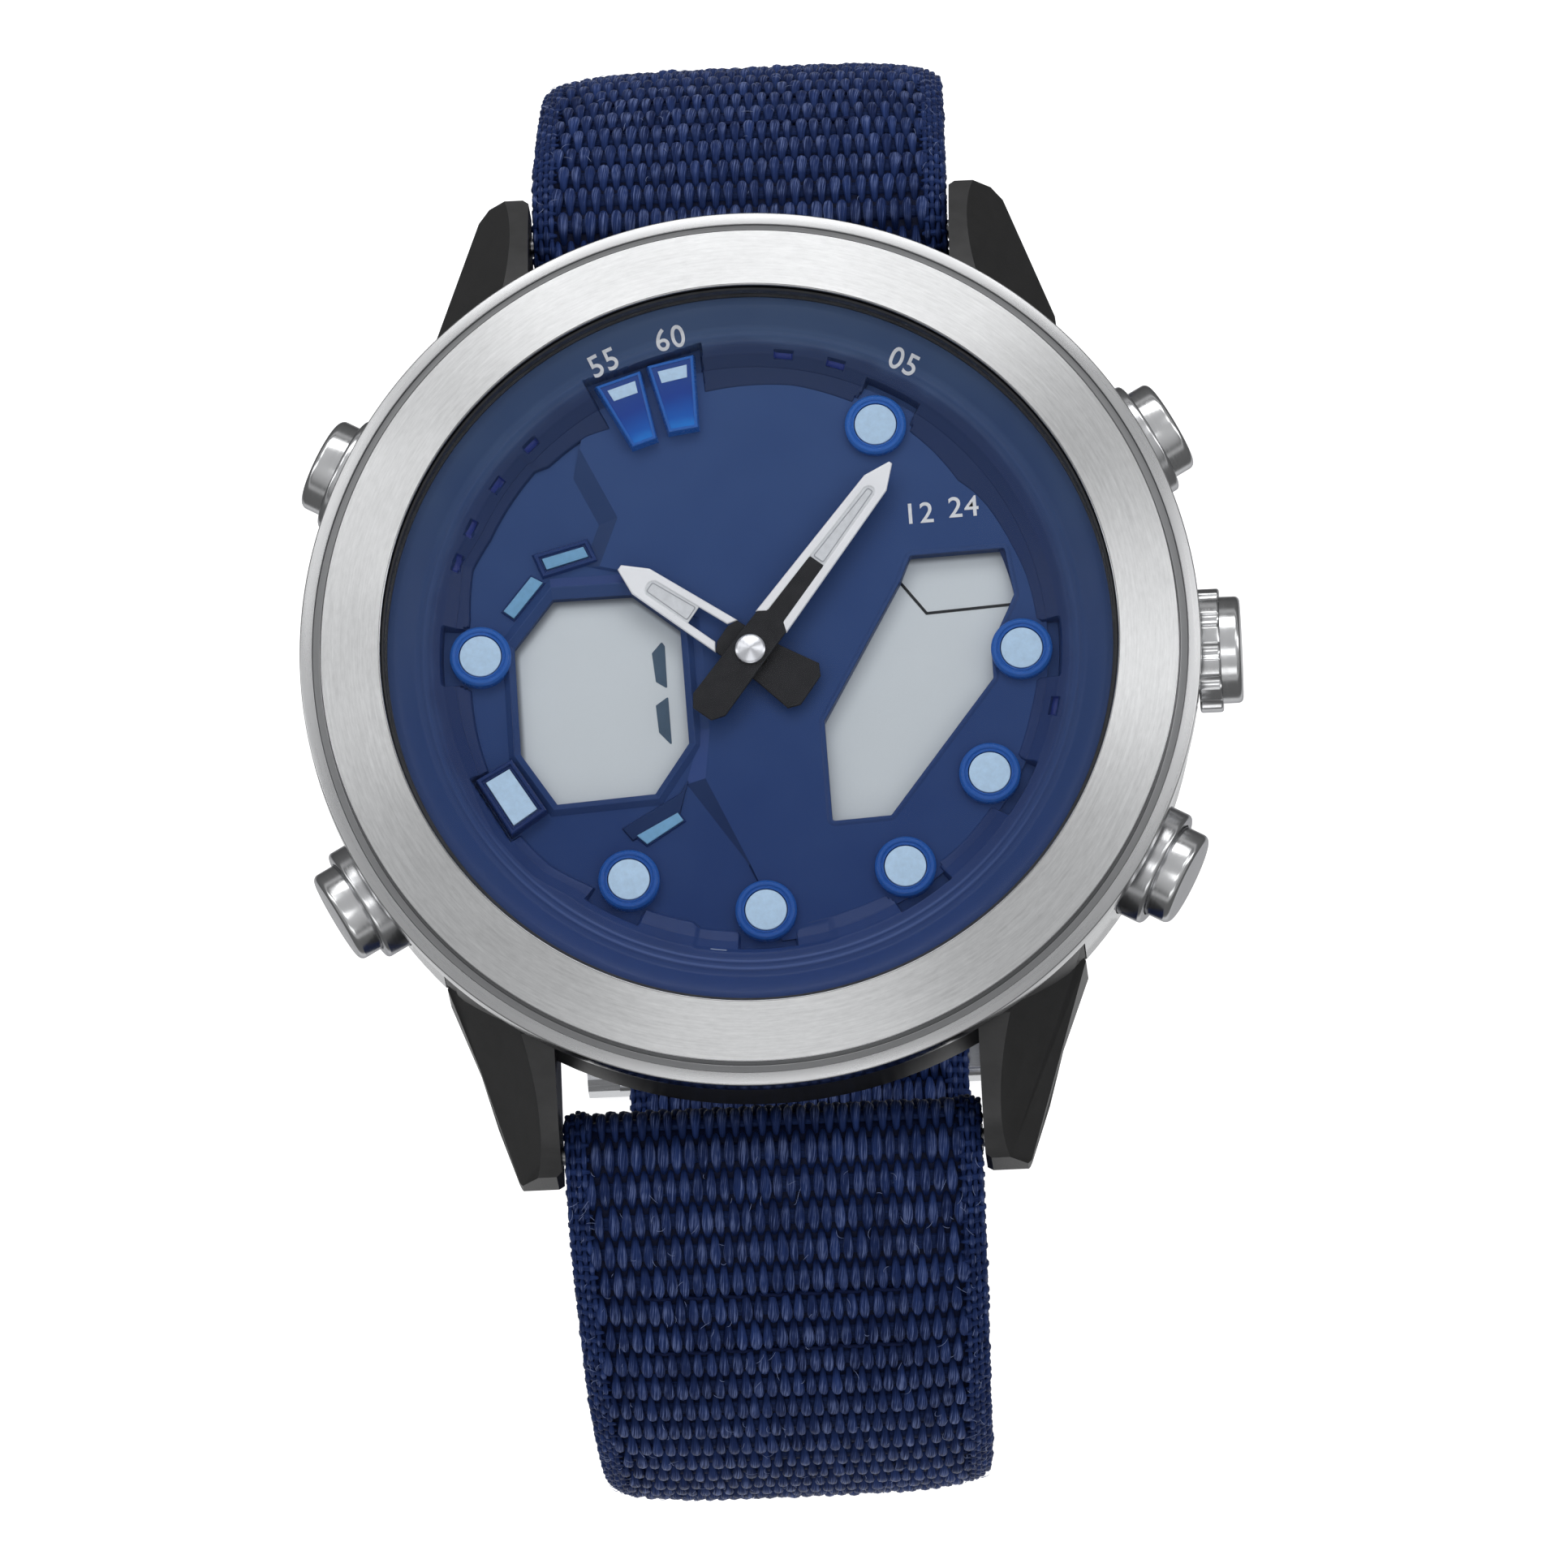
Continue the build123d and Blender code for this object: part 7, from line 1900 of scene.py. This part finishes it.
# ================================================================ inside parts and bars keep their CAD shape
KEEP = {
    "lug_spring_bars": M_STEELPART, "buckle_spring_bar": M_STEELPART, "case_back_gasket": M_RUBBER, "movement_holder": M_HOLDER,
    "circuit_board": M_BOARD, "zebra_strips": M_ZEBRA, "coin_cell": M_CELL, "battery_clip": M_STEELPART, "main_plate": M_BRASS,
    "motor_coil": M_COPPER, "motor_stator": M_STEELPART, "minute_wheel": M_BRASS, "cannon_pinion": M_BRASS, "hour_wheel": M_BRASS,
    "clutch_pinion": M_BRASS, "crown_gasket": M_RUBBER, "crown_stem": M_STEELPART, "pusher_seals": M_RUBBER,
}
for tag in PUSH:
    KEEP["pusher_spring_" + tag] = M_STEELPART
    KEEP["pusher_clip_" + tag] = M_STEELPART
for node, mt in KEEP.items():
    me = NODES[node].data
    me.materials.clear()
    me.materials.append(mt)

# ================================================================ floor
def floor_mesh():
    bm = bmesh.new()
    n, half, z = 40, 3.0, -43.36 * MM
    vs = {}
    for i in range(n + 1):
        for j in range(n + 1):
            x, y = -half + 2 * half * i / n, -half + 2 * half * j / n
            vs[i, j] = bm.verts.new((x, y, z))
    for i in range(n):
        for j in range(n):
            bm.faces.new((vs[i, j], vs[i + 1, j], vs[i + 1, j + 1], vs[i, j + 1]))
    me = bpy.data.meshes.new("studio_floor")
    bm.to_mesh(me); bm.free()
    return link(bpy.data.objects.new("studio_floor", me))


floor = floor_mesh()
mf = Mat("floor_white")
nf = mf.noise(mf.mm(), 0.01, 2.0, 0.5)
mf.set(Base_Color=mf.ramp(nf, [(0.3, (0.54, 0.54, 0.54)), (0.7, (0.56, 0.56, 0.56))]), Roughness=0.9)
mf.p.inputs["Specular IOR Level"].default_value = 0.0
mf.p.inputs["Emission Color"].default_value = (1, 1, 1, 1)
rf_ = mf.vmath("LENGTH", mf.mm())
mf.put(mf.p.inputs["Emission Strength"], mf.maprange(rf_, 150.0, 420.0, 0.88, 0.22, smooth=True))
floor.data.materials.append(mf.m)
floor.visible_glossy = False

# ================================================================ final update
bpy.context.view_layer.update()
